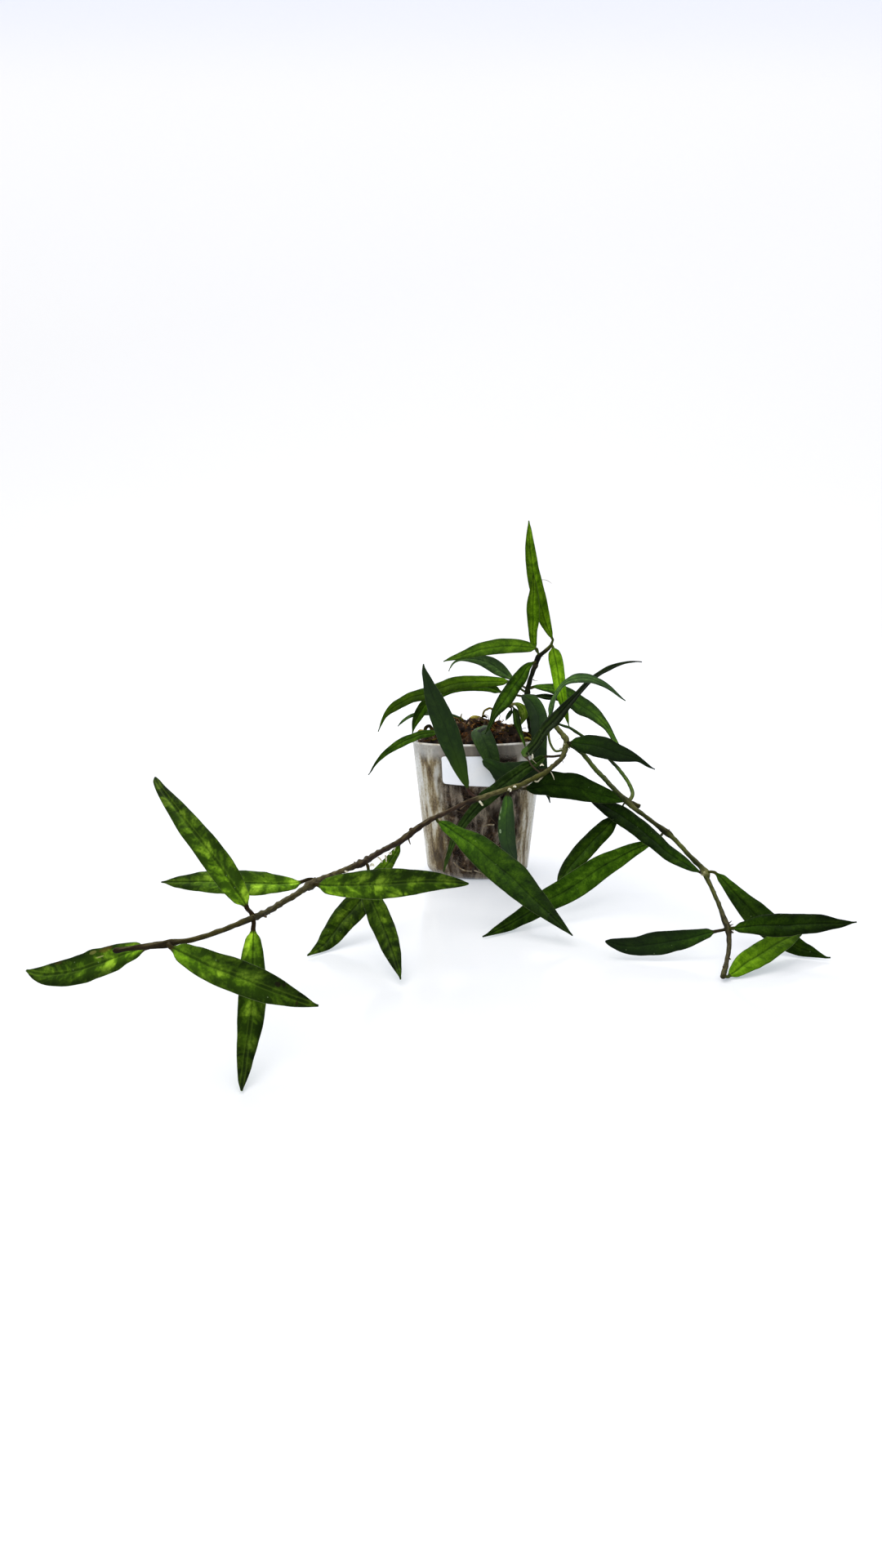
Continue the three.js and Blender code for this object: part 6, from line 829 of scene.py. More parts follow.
    # midrib: a dark line painted as shade in its groove, with a thin lighter edge painted as a highlight
    rib_groove_shade = N.span(ax, 0.05, 0.27, 1.0, 0.0)
    blade = N.mix(N.math("MULTIPLY", rib_groove_shade, N.span(t, 0.0, 0.9, 0.56, 0.32)), blade, scaled(lo, gain * 0.62))
    rib_edge_highlight = N.math("MULTIPLY", N.span(ax, 0.30, 0.48), N.span(ax, 0.95, 0.55))
    blade = N.mix(N.math("MULTIPLY", rib_edge_highlight, 0.05 + 0.20 * stripes), blade, scaled(hi, gain * 1.05))
    # dark thin margin that ends in a fine pale line, partly the blade's own pale edge and partly a painted rim
    # highlight
    blade = N.mix(N.math("MULTIPLY", N.span(as_, 0.88, 0.97), 0.5), blade, scaled(lo, gain * 0.6))
    blade = N.mix(N.math("MULTIPLY", N.span(as_, 0.972, 0.998), 0.34), blade, scaled(srgb(150, 160, 112), min(1.0, 0.5 + 0.5 * gain)))
    # dark blotches and scattered pale specks
    blot = N.span(N.noise(flat, 0.55, 1.0, 0.4), 0.71, 0.78)
    blade = N.mix(N.math("MULTIPLY", blot, 0.25 + 0.3 * mott), blade, scaled(lo, gain * 0.8))
    vs = N.t.nodes.new("ShaderNodeTexVoronoi")
    N._in(vs.inputs["Vector"], flat)
    vs.inputs["Scale"].default_value = 0.50
    dot = N.span(vs.outputs["Distance"], 0.05, 0.11, 1.0, 0.0)
    pick = N.span(N.sep(vs.outputs["Color"])[0], 0.76, 0.90)
    blade = N.mix(N.math("MULTIPLY", N.math("MULTIPLY", dot, pick), 0.5), blade, srgb(136, 156, 112))
    if grey:
        blade = N.mix(grey, blade, scaled(srgb(46, 62, 44), gain))
    # the underside is paler and even
    low = N.mix(N.math("MULTIPLY", N.noise(flat, 0.7, 3.0), 0.5), scaled(under, gain * 0.75), scaled(under, gain))
    low = N.mix(N.math("MULTIPLY", N.span(ax, 0.15, 0.7, 1.0, 0.0), 0.5), low, scaled(under, gain * 1.3))
    col = N.mix(N.span(side, -0.35, 0.25, 1.0, 0.0), blade, low)
    # single marks: scars, stains, pale or dark ends, and on leaf_rim_fold a painted shadow inside its fold and a
    # painted highlight along its folded edge
    for mx, my, rx, ry, tint, much in MARKS.get(name, ()):
        ex = N.math("DIVIDE", N.math("SUBTRACT", x, mx), rx)
        ey = N.math("DIVIDE", N.math("SUBTRACT", y, my), ry)
        d2 = N.math("ADD", N.math("MULTIPLY", ex, ex), N.math("MULTIPLY", ey, ey))
        d2 = N.math("ADD", d2, N.math("MULTIPLY", N.math("SUBTRACT", grain, 0.5), 1.4))
        fade = N.span(d2, 1.25, 0.45) if rx < 3 else N.span(d2, 1.5, -0.5)
        col = N.mix(N.math("MULTIPLY", fade, much), col, srgb(*tint))
    # the stalk
    st = STALK_OF.get(name, STALK[tone])
    stc = N.mix(N.noise(N.comb(x, N.math("MULTIPLY", y, 0.4), seed), 1.4, 2.0), scaled(st, 0.5), scaled(st, 1.15))
    col = N.mix(N.span(stalk, 0.3, 0.9), col, stc)
    h = N.math("ADD", N.math("MULTIPLY", net, 0.5), N.math("MULTIPLY", grain, 0.4))
    h = N.math("ADD", h, N.math("MULTIPLY", band, 0.5))
    rough = N.span(N.noise(flat, 0.8, 2.0), 0.3, 0.7, 0.36, 0.52)
    sh = N.principled(Base_Color=col, Roughness=rough, Normal=N.bump(h, 0.5, 0.00014))
    p = sh.node
    p.inputs["Specular IOR Level"].default_value = 0.16 * shine
    p.inputs["IOR"].default_value = 1.45
    return N.done(sh)


def build_leaf(name, spec, index):
    rows = np.array(spec["rows"], float)
    c0, w0 = rows[:, :3], rows[:, 3:]
    s0 = arc(c0)
    length = s0[-1]
    n = int(np.clip(length / 0.95, 30, 84))
    u = np.linspace(0, 1, n)
    u = u * 0.8 + 0.2 * (0.5 - 0.5 * np.cos(np.pi * u))
    c = hermite(s0, c0, u * length)
    w = hermite(s0, w0, u * length)
    # pointed tip and rounded base: the width runs out smoothly
    half = np.linalg.norm(w, axis=1)
    half_in = np.interp(u * length, s0, np.linalg.norm(w0, axis=1))
    w = unit(w) * np.maximum(half * 0.85 + half_in * 0.15, 0.12)[:, None]
    half = np.linalg.norm(w, axis=1)
    # the stalk, from inside the carrying stem to the blade
    pts = [np.array(p, float) for p in ([spec["root"]] if spec.get("root") else []) + spec["stalk"]]
    stalk_n = 0
    if pts:
        path = np.array(pts + [c[0], c[1]])
        sp = arc(path)
        keep = [0] + [i for i in range(1, len(path)) if sp[i] - sp[i - 1] > 0.05]
        path = path[keep]
        sp = arc(path)
        end = sp[-2]
        stalk_n = max(4, int(end / 0.45))
        si = np.linspace(0, end, stalk_n, endpoint=False)
        sc = hermite(sp, path, si)
        c = np.vstack([sc, c])
    total = len(c)
    T = unit(np.gradient(c, axis=0))
    side = np.zeros((total, 3))
    side[stalk_n:] = w
    cur = w[0]
    for i in range(stalk_n - 1, -1, -1):
        cur = cur - T[i] * (cur @ T[i])
        side[i] = cur
    S = unit(side - T * np.sum(side * T, axis=1, keepdims=True))
    U = np.cross(T, S)
    h = np.concatenate([np.full(stalk_n, spec["pr"]), half])
    dist = arc(c)
    base_at = dist[stalk_n]
    along = dist - base_at
    tt = np.clip(along / max(dist[-1] - base_at, 1e-6), 0, 1)
    blade = np.clip(along / min(3.2, 0.07 * length + 0.9), 0, 1)
    blade = blade * blade * (3 - 2 * blade)
    r_st = np.full(total, spec["pr"] * STALK_THIN.get(name, 1.0))
    if stalk_n:
        k = np.clip(1 - dist / 1.6, 0, 1)
        r_st = r_st * (1 + 0.35 * k)
        near = np.clip(1 - np.abs(along) / 1.2, 0, 1)
        r_st = r_st * (1 + 0.10 * near)
    s = RING_S[None, :]
    a = np.abs(s)
    sd = RING_SIDE[None, :]
    sgn = np.where(sd >= 0, 1.0, -1.0)
    H = h[:, None]
    th = 0.95 * np.clip(0.30 + H / 3.2, 0, 1) * (1 - 0.25 * tt[:, None])
    edge = np.sqrt(np.clip(1 - a ** 3.0, 0, 1))
    z = -spec["fold"] * H * (1 - a) ** 1.15
    z = z + sgn * 0.5 * th * edge
    mid = np.clip(H / 2.5, 0, 1)
    z = z - np.where(sd > 0, 0.17, 0.0) * mid * np.exp(-(a * H / 0.34) ** 2)
    z = z - np.where(sd < 0, 0.30, 0.0) * mid * np.exp(-(a * H / 0.45) ** 2)
    z = z + np.where(sd > 0, 0.10, 0.0) * mid * np.sin(np.pi * np.clip(a, 0, 1)) * np.clip(H / 4, 0, 1)
    z = z - 0.045 * H * np.clip((a - 0.6) / 0.4, 0, 1) ** 2
    # the margins wave gently, each on its own
    amp = 0.34 * np.clip(H / 4.5, 0, 1) * np.sin(np.pi * np.clip(tt, 0.02, 0.98))[:, None] ** 0.5
    wl = wave_noise(along / 15.0, 100 + index)[:, None]
    wr = wave_noise(along / 15.0, 300 + index)[:, None]
    z = z + amp * a ** 2 * np.where(s > 0, wl, wr)
    # side veins lie in shallow furrows between soft pads
    pad = np.sin(2 * np.pi * (along[:, None] * 0.145 - 0.13 * (a * H) ** 0.8 + 0.4 * wave_noise(along / 22.0, 500 + index)[:, None]))
    z = z + np.where(sd > 0, 0.05, 0.02) * pad * np.clip(H / 4, 0, 1) * np.sin(np.pi * a)
    rx = s * r_st[:, None]
    rz = sgn * np.sqrt(np.clip(1 - s ** 2, 0, 1)) * r_st[:, None]
    b = blade[:, None]
    X = rx * (1 - b) + s * H * b
    Z = rz * (1 - b) + z * b
    V = c[:, None, :] + S[:, None, :] * X[..., None] + U[:, None, :] * Z[..., None]
    V[..., 2] = np.maximum(V[..., 2], 0.06)
    k = len(RING_S)
    verts = V.reshape(-1, 3)
    faces = ring_faces(total, k, flip=False)
    lf = np.stack([np.broadcast_to(s, X.shape), np.broadcast_to(tt[:, None], X.shape), np.broadcast_to(sd, X.shape)], -1)
    mmv = np.stack([X, np.broadcast_to(along[:, None], X.shape), np.broadcast_to((1 - blade)[:, None], X.shape)], -1)
    ob = make_mesh("look_" + name, verts, faces, attrs={"lf": lf.reshape(-1, 3), "mm": mmv.reshape(-1, 3)},
                   mats=[leaf_material(name, spec["tone"], index + 1)])
    fix_normals(ob)
    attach(ob, "root")
    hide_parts(name)
    return ob


def fix_normals(ob):
    """Turns the faces outward where the signed volume is negative."""
    import bmesh
    bm = bmesh.new()
    bm.from_mesh(ob.data)
    if bm.calc_volume(signed=True) < 0:
        bmesh.ops.reverse_faces(bm, faces=bm.faces)
    bm.to_mesh(ob.data)
    bm.free()


# ================================================================ stems
def stem_material(name, stops, seed, shine=0.07):
    """stops: (share of the length, sRGB colour) from the start of the stem."""
    N = Nodes(name + "_bark")
    along, around, share = N.sep(N.attr("st"))
    base = N.ramp(share, [(p, srgb(*c)) for p, c in stops], "LINEAR")
    ca, sa, _ = N.sep(N.attr("turn"))
    v = N.comb(ca, sa, N.math("MULTIPLY", along, 0.16))
    streak = N.noise(v, 2.6, 4.0, 0.65)
    spots = N.noise(N.comb(ca, sa, N.math("MULTIPLY", along, 0.8)), 1.7, 3.0, 0.6)
    col = N.mix(N.span(streak, 0.36, 0.62), N.mix(1.0, base, (0.55, 0.52, 0.50), "MULTIPLY"), N.mix(1.0, base, (1.30, 1.28, 1.20), "MULTIPLY"))
    col = N.mix(N.math("MULTIPLY", N.span(spots, 0.58, 0.72), 0.35), col, N.mix(1.0, base, (2.0, 1.9, 1.7), "MULTIPLY"))
    col = N.mix(N.math("MULTIPLY", N.span(spots, 0.40, 0.30), 0.5), col, srgb(24, 17, 10))
    # painted light: the upper side is painted paler and the underside darker by the way the surface faces, with a pale
    # streaked highlight painted along the top
    up = N.sep(N.t.nodes.new("ShaderNodeNewGeometry").outputs["Normal"])[2]
    k = N.span(up, -0.75, 0.85, 0.50, 1.25)
    col = N.mix(1.0, col, N.comb(k, k, k), "MULTIPLY")
    col = N.mix(N.math("MULTIPLY", N.span(up, 0.55, 0.95), N.span(streak, 0.40, 0.60, 0.05, 0.24)), col, srgb(132, 124, 84))
    h = N.math("ADD", N.math("MULTIPLY", streak, 0.8), N.math("MULTIPLY", spots, 0.7))
    sh = N.principled(Base_Color=col, Roughness=N.span(streak, 0.3, 0.7, 0.5, 0.75), Normal=N.bump(h, 0.8, 0.00022))
    sh.node.inputs["Specular IOR Level"].default_value = shine
    return N.done(sh)


def build_stem(name, pts, stops, seed, k=16, rough=0.10, extend=None, warts=0, swell=None):
    """swell: (share of the length, factor on the radius, shift up and shift right in mm) where the bark is thicker."""
    p = np.array(pts, float)
    cen, rad = p[:, :3], p[:, 3].copy()
    if extend is not None:
        cen = np.vstack([np.array(extend, float), cen])
        rad = np.concatenate([[rad[0]] * len(extend), rad])
    s = arc(cen)
    n = max(8, int(s[-1] / 0.55))
    si = np.linspace(0, s[-1], n)
    c = hermite(s, cen, si)
    r = hermite(s, rad, si)
    if swell:
        q = np.array([tuple(w) + (0.0,) * (4 - len(w)) for w in swell], float)
        r = r * np.interp(si / s[-1], q[:, 0], q[:, 1])
        c[:, 2] += np.interp(si / s[-1], q[:, 0], q[:, 2])
        c[:, 0] += np.interp(si / s[-1], q[:, 0], q[:, 3])
    T, S, U = frames_along(c)
    th = 2 * np.pi * np.arange(k) / k
    g = random.Random(seed)
    rr = r[:, None] * np.ones(k)
    for o in range(9):
        a, b, ph = g.randint(1, 5), g.uniform(0.08, 1.5), g.random() * 6.28
        rr = rr * (1 + rough * 0.42 * np.sin(a * th[None, :] + b * si[:, None] + ph))
    for o in range(warts):
        at, an, hgt, wid = g.uniform(0.04, 0.97) * s[-1], g.random() * 6.28, g.uniform(0.07, 0.28), g.uniform(0.35, 0.9)
        d = (si[:, None] - at) ** 2 / wid ** 2 + ((np.angle(np.exp(1j * (th[None, :] - an)))) * r[:, None]) ** 2 / (wid * 0.7) ** 2
        rr = rr + hgt * np.exp(-d)
    e = np.minimum(si, s[-1] - si)
    q = np.clip(e / np.maximum(r, 1e-6) / 0.7, 0, 1)
    rr = rr * (0.4 + 0.6 * np.sqrt(1 - (1 - q) ** 2))[:, None]
    V = c[:, None, :] + S[:, None, :] * (rr * np.cos(th))[..., None] + U[:, None, :] * (rr * np.sin(th))[..., None]
    V[..., 2] = np.maximum(V[..., 2], 0.05)
    st = np.stack([np.repeat(si, k), np.tile(th / (2 * np.pi), n), np.repeat(si / s[-1], k)], -1)
    ob = make_mesh("look_" + name, V.reshape(-1, 3), ring_faces(n, k), attrs={"st": st, "turn": np.tile(np.stack([np.cos(th), np.sin(th), 0 * th], -1), (n, 1))},
                   mats=[stem_material(name, stops, seed)])
    fix_normals(ob)
    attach(ob, "root")
    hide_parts(name)
    return ob


# ================================================================ pot
def outer_r(z):
    return POT_BOTTOM_R + (POT_TOP_R - POT_BOTTOM_R) * z / POT_H


def pot_material():
    """Thin clear plastic, clouded by lime: cream and brown streaks run down its flanks, clearer windows lie between."""
    N = Nodes("pot_clouded_plastic")
    _, hgt, wall = N.sep(N.attr("pt"))  # height (mm), 1 outside / 0 inside
    cx, sx, _ = N.sep(N.attr("turn"))  # the point of the unit circle
    X, Y = N.math("MULTIPLY", cx, 32.0), N.math("MULTIPLY", sx, 32.0)
    streak = N.noise(N.comb(X, Y, N.math("MULTIPLY", hgt, 0.30)), 0.15, 2.5, 0.5, 0.7)
    thin = N.noise(N.comb(X, Y, N.math("MULTIPLY", hgt, 0.30)), 0.36, 2.0, 0.5, 0.5)
    patch = N.noise(N.comb(X, Y, N.math("MULTIPLY", hgt, 0.75)), 0.10, 3.0, 0.55, 0.8)
    speck = N.noise(N.comb(X, Y, hgt), 0.9, 3.0, 0.6, 0.4)
    # the flanks and most of the back are clouded; the front is the clear window
    wobble = N.math("MULTIPLY", N.math("SUBTRACT", patch, 0.5), 0.45)
    side = N.math("ADD", cx, wobble)
    left = N.span(side, -0.50, -0.74)
    right = N.span(side, 0.56, 0.78)
    back = N.math("MULTIPLY", N.span(sx, 0.0, 0.5), 0.75)
    flank = N.math("MAXIMUM", N.math("MAXIMUM", left, right), back)
    st = N.math("ADD", N.math("ADD", N.math("MULTIPLY", streak, 0.58), N.math("MULTIPLY", thin, 0.27)), N.math("MULTIPLY", speck, 0.15))
    # paler near the rim and where the wall is seen edge-on, browner lower down
    lvl = N.math("ADD", N.math("SUBTRACT", N.math("MULTIPLY", N.math("SUBTRACT", st, 0.5), 2.35), N.span(hgt, 50.0, 14.0, 0.0, 0.17)), 0.53)
    lvl = N.math("ADD", lvl, N.math("MULTIPLY", N.span(N.math("ABSOLUTE", cx), 0.88, 0.985), 0.15))
    lvl = N.math("ADD", lvl, N.math("MULTIPLY", N.span(cx, 0.70, 0.86), 0.16))
    tint_s = N.ramp(lvl, [(0.08, srgb(62, 48, 30)), (0.26, srgb(98, 80, 48)), (0.44, srgb(138, 122, 88)), (0.58, srgb(176, 168, 146)), (0.74, srgb(196, 194, 184)), (0.92, srgb(208, 210, 208))], "LINEAR")
    a_flank = N.span(lvl, 0.10, 0.70, 0.62, 0.93)
    haze = N.math("ADD", N.math("MULTIPLY", patch, 0.55), N.math("MULTIPLY", thin, 0.45))
    a_front = N.math("ADD", 0.16, N.math("MULTIPLY", N.span(haze, 0.42, 0.62), 0.46))
    alpha = N.mixf(flank, a_front, a_flank)
    # a band of haze under the rim, and the rim's own edge
    band = N.span(hgt, 58.0, 63.0)
    alpha = N.math("MAXIMUM", alpha, N.math("MULTIPLY", band, N.mixf(N.span(patch, 0.4, 0.62), 0.74, 0.86)))
    alpha = N.mixf(N.span(hgt, 66.3, 67.0), alpha, 0.90)
    tint_f = N.mix(N.span(haze, 0.42, 0.62), srgb(58, 46, 37), srgb(138, 126, 110))
    tint = N.mix(flank, tint_f, tint_s)
    # painted light across the band: palest on the left flank, paler on the right, darkest in between
    lit = N.mix(N.span(cx, -0.30, -0.85), N.mix(N.span(cx, 0.2, 0.85), srgb(112, 108, 100), srgb(172, 170, 162)), srgb(196, 196, 192))
    tint = N.mix(N.math("MULTIPLY", band, 0.78), tint, N.mix(N.span(streak, 0.38, 0.62, 0.0, 0.5), lit, srgb(150, 142, 130)))
    tint = N.mix(N.span(hgt, 66.3, 67.0), tint, N.mix(N.span(streak, 0.38, 0.6), srgb(196, 188, 170), srgb(238, 236, 230)))
    low = N.span(hgt, 5.0, 2.0)
    tint = N.mix(N.math("MULTIPLY", low, 0.8), tint, N.mix(N.span(thin, 0.4, 0.6), srgb(70, 58, 44), srgb(128, 116, 98)))
    alpha = N.math("MAXIMUM", alpha, N.math("MULTIPLY", low, 0.82))
    alpha = N.math("MULTIPLY", alpha, N.mixf(wall, 0.30, 1.0), clamp=True)
    h = N.math("ADD", N.math("MULTIPLY", st, 0.6), speck)
    sh = N.principled(Base_Color=tint, Roughness=N.span(speck, 0.3, 0.7, 0.22, 0.40), Alpha=alpha, Normal=N.bump(h, 0.2, 0.00012))
    sh.node.inputs["Specular IOR Level"].default_value = 0.22
    return N.done(sh)


def rim_lift(x, y):
    """The lip of the thin cup is bent: higher at the front and on the right (mm), for a point of the unit circle."""
    return 0.9 + 0.7 * x - 0.5 * y


def build_pot():
    k = 144
    prof = []
    e = 3.0
    R0 = outer_r(0)
    prof += [(0.0, 0.55, 1), (R0 - e - 4.5, 0.55, 1), (R0 - e - 3.6, 0.0, 1), (R0 - e, 0.0, 1)]
    for a in (18, 36, 54, 72, 90):
        q = math.radians(a)
        prof.append((R0 - e + e * math.sin(q) + 0.34 * (1 - math.cos(q)), e - e * math.cos(q), 1))
    for z in np.linspace(6, 60, 14):
        prof.append((outer_r(z), float(z), 1))
    prof += [(outer_r(63.0), 63.0, 1), (outer_r(65.6), 65.6, 1), (outer_r(66.2) + 0.05, 66.2, 1), (outer_r(66.5) + 0.26, 66.5, 1),
             (outer_r(66.9) + 0.42, 66.85, 1), (outer_r(67.2) + 0.34, 67.2, 1), (outer_r(67.4) + 0.12, 67.42, 1), (outer_r(67.5) - 0.2, 67.5, 1),
             (outer_r(67.4) - 0.62, 67.4, 0), (outer_r(67.0) - POT_WALL, 67.0, 0), (outer_r(65) - POT_WALL, 65.0, 0)]
    for z in np.linspace(58, 6, 10):
        prof.append((outer_r(z) - POT_WALL, float(z), 0))
    prof += [(outer_r(3.4) - POT_WALL, 3.4, 0), (R0 - 2.8, 1.25, 0), (0.0, 1.25, 0)]
    V, P, C = [], [], []
    ring = []
    for r, h, o in prof:
        near_rim = min(1.0, max(0.0, (h - 44.0) / 19.0))
        if r == 0.0:
            ring.append([len(V)] * k)
            V.append((0, 0, h))
            P.append((0, h, o))
            C.append((1, 0, 0))
        else:
            ids = []
            for j in range(k):
                a = 2 * math.pi * j / k
                z = h + near_rim * rim_lift(math.cos(a), math.sin(a))
                wob = 1 + 0.0022 * math.sin(2 * a + 0.6) * (h / POT_H)
                ids.append(len(V))
                V.append((r * wob * math.cos(a) - 0.35 * (h / POT_H), r * wob * math.sin(a), z))
                P.append((0, h, o))
                C.append((math.cos(a), math.sin(a), 0))
            ring.append(ids)
    F = []
    for i in range(len(prof) - 1):
        A, B = ring[i], ring[i + 1]
        for j in range(k):
            q = [A[j], A[(j + 1) % k], B[(j + 1) % k], B[j]]
            q = [v for n, v in enumerate(q) if v not in q[:n]]
            if len(q) > 2:
                F.append(q)
    ob = make_mesh("look_pot", V, F, attrs={"pt": P, "turn": C}, mats=[pot_material()])
    fix_normals(ob)
    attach(ob, "root")
    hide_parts("pot")
    return ob


# ================================================================ label
def label_material():
    N = Nodes("label_paper_white")
    v = N.obj()
    f = N.noise(v, 900.0, 3.0, 0.6)
    g = N.noise(v, 60.0, 2.0, 0.5)
    col = N.mix(N.span(g, 0.35, 0.65), srgb(244, 247, 253), srgb(252, 253, 255))
    col = N.mix(N.math("MULTIPLY", N.span(f, 0.5, 0.75), 0.25), col, srgb(232, 235, 243))
    sh = N.principled(Base_Color=col, Roughness=0.42, Normal=N.bump(f, 0.15, 0.00004))
    sh.node.inputs["Specular IOR Level"].default_value = 0.3
    return N.done(sh)


def build_label():
    left_b, left_t = (-34.9, 48.8), (-34.3, 62.4)
    right_b, right_t = (13.4, 47.9), (12.4, 63.3)
    n, m, R = 44, 18, 1.8
    wide, tall = 27.0, 15.0
    V, ring = [], []
    for i in range(n + 1):
        s = i / n
        s = 0.5 - 0.5 * math.cos(math.pi * s)
        near = min(s, 1 - s) * wide
        cut = R - math.sqrt(max(0, R * R - (R - near) ** 2)) if near < R else 0
        inset = min(cut, R * 0.97) / tall
        ids = []
        pts = [(inset + (1 - 2 * inset) * j / m, 0) for j in range(m + 1)] + [(inset + (1 - 2 * inset) * j / m, 1) for j in range(m, -1, -1)]
        for t, o in pts:
            lo = [left_b[q] + (right_b[q] - left_b[q]) * s for q in (0, 1)]
            hi = [left_t[q] + (right_t[q] - left_t[q]) * s for q in (0, 1)]
            deg, z = lo[0] + (hi[0] - lo[0]) * t, lo[1] + (hi[1] - lo[1]) * t
            r = outer_r(z) + 0.10 + 0.16 * o
            # one corner has begun to lift a little
            lift = max(0.0, 1 - math.hypot((s - 0.0) * wide / 5.0, (t - 1.0) * tall / 4.0))
            r += 0.45 * lift * lift
            a = math.radians(deg)
            ids.append(len(V))
            V.append((r * math.sin(a) - 0.35 * z / POT_H, -r * math.cos(a), z))
        ring.append(ids)
    k = len(ring[0])
    ob = make_mesh("look_label", V, ring_faces(n + 1, k), mats=[label_material()])
    fix_normals(ob)
    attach(ob, "root")
    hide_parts("label")
    return ob


# ================================================================ growing medium
def med_z(r):
    xs = [a for a, _ in MEDIUM_TOP]
    zs = [b for _, b in MEDIUM_TOP]
    return float(np.interp(r, xs, zs))


def medium_material(name, stops, scale=220.0, fibre=True, seed=0.0, rough=0.95):
    N = Nodes(name)
    v = N.obj()
    tone = N.sep(N.attr("tone"))[0]
    a = N.noise(v, scale * 0.8, 3.0, 0.6, 0.4)
    b = N.noise(v, scale * 3.1, 3.0, 0.6)
    lvl = N.math("ADD", N.math("MULTIPLY", a, 0.75), N.math("MULTIPLY", b, 0.25))
    lvl = N.math("ADD", N.math("MULTIPLY", N.math("SUBTRACT", lvl, 0.5), 1.8), N.math("ADD", 0.42, N.math("MULTIPLY", N.math("SUBTRACT", tone, 0.5), 0.7)))
    col = N.ramp(lvl, [(p, srgb(*c)) for p, c in stops], "LINEAR")
    sh = N.principled(Base_Color=col, Roughness=rough, Normal=N.bump(N.math("ADD", a, N.math("MULTIPLY", b, 0.5)), 0.5, 0.0005))
    sh.node.inputs["Specular IOR Level"].default_value = 0.12
    return N.done(sh)


DIRT = [(0.0, (9, 6, 4)), (0.30, (25, 17, 11)), (0.55, (50, 36, 24)), (0.78, (86, 66, 47)), (1.0, (150, 132, 108))]
BARK = [(0.0, (8, 5, 2)), (0.3, (26, 15, 6)), (0.55, (70, 42, 14)), (0.8, (128, 80, 28)), (1.0, (176, 130, 76))]
MOSS = [(0.0, (20, 16, 3)), (0.3, (58, 49, 10)), (0.55, (112, 100, 28)), (0.8, (170, 156, 62)), (1.0, (212, 202, 124))]


def build_medium():
    """The mound with a broken, lumpy top; its side stays clear of the pot's wall."""
    k, g = 150, random.Random(5)
    prof = [(0.0, 1.7)]
    for r in np.linspace(4, 21.0, 5):
        prof.append((float(r), 1.7))
    for z in np.concatenate([[2.6, 4.0], np.linspace(6, 65.6, 44)]):
        prof.append((outer_r(float(z)) - POT_WALL - 0.75, float(z)))
    for r in np.linspace(31.3, 0.8, 44):
        prof.append((float(r), med_z(float(r))))
    prof.append((0.0, med_z(0)))
    waves = [(g.uniform(0.12, 0.9), g.uniform(-1, 1), g.uniform(-1, 1), g.uniform(-1, 1), g.random() * 6.28, g.uniform(0.6, 1.3)) for _ in range(26)]

    def lump(x, y, z):
        t = 0.0
        for f, a, b, c, ph, am in waves:
            t += am / (1 + f * 2.2) * math.sin(f * 2.4 * (a * x + b * y + c * z) + ph)
        return t / 3.2

    V, ring, T = [], [], []
    for r, z in prof:
        if r == 0.0:
            ring.append([len(V)] * k)
            V.append((0, 0, z))
            T.append((0.4, 0, 0))
            continue
        ids = []
        for j in range(k):
            a = 2 * math.pi * j / k
            x, y = r * math.cos(a), r * math.sin(a)
            d = lump(x, y, z)
            top = z > 65.7
            if top:
                zz = z - 1.5 + 1.9 * d + 0.5 * lump(3.3 * x, 3.3 * y, z)
                V.append((x, y, zz))
            else:
                # pits show behind the clouded wall, shallower near the bottom
                rr = r - max(0.0, 0.9 + 1.1 * d + 0.5 * lump(3 * x, 3 * y, 3 * z)) * (1 if z > 4 else 0.3)
                V.append((rr * math.cos(a), rr * math.sin(a), z))
            T.append((0.5 + 0.5 * lump(1.7 * x + 9, 1.7 * y, 1.7 * z), 0, 0))
            ids.append(len(V) - 1)
        ring.append(ids)
    F = []
    for i in range(len(prof) - 1):
        A, B = ring[i], ring[i + 1]
        for j in range(k):
            q = [A[j], A[(j + 1) % k], B[(j + 1) % k], B[j]]
            q = [v for n, v in enumerate(q) if v not in q[:n]]
            if len(q) > 2:
                F.append(q)
    ob = make_mesh("look_medium", V, F, attrs={"tone": T}, mats=[medium_material("medium_dark", DIRT)])
    fix_normals(ob)
    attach(ob, "root")
    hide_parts("growing_medium")
    return ob


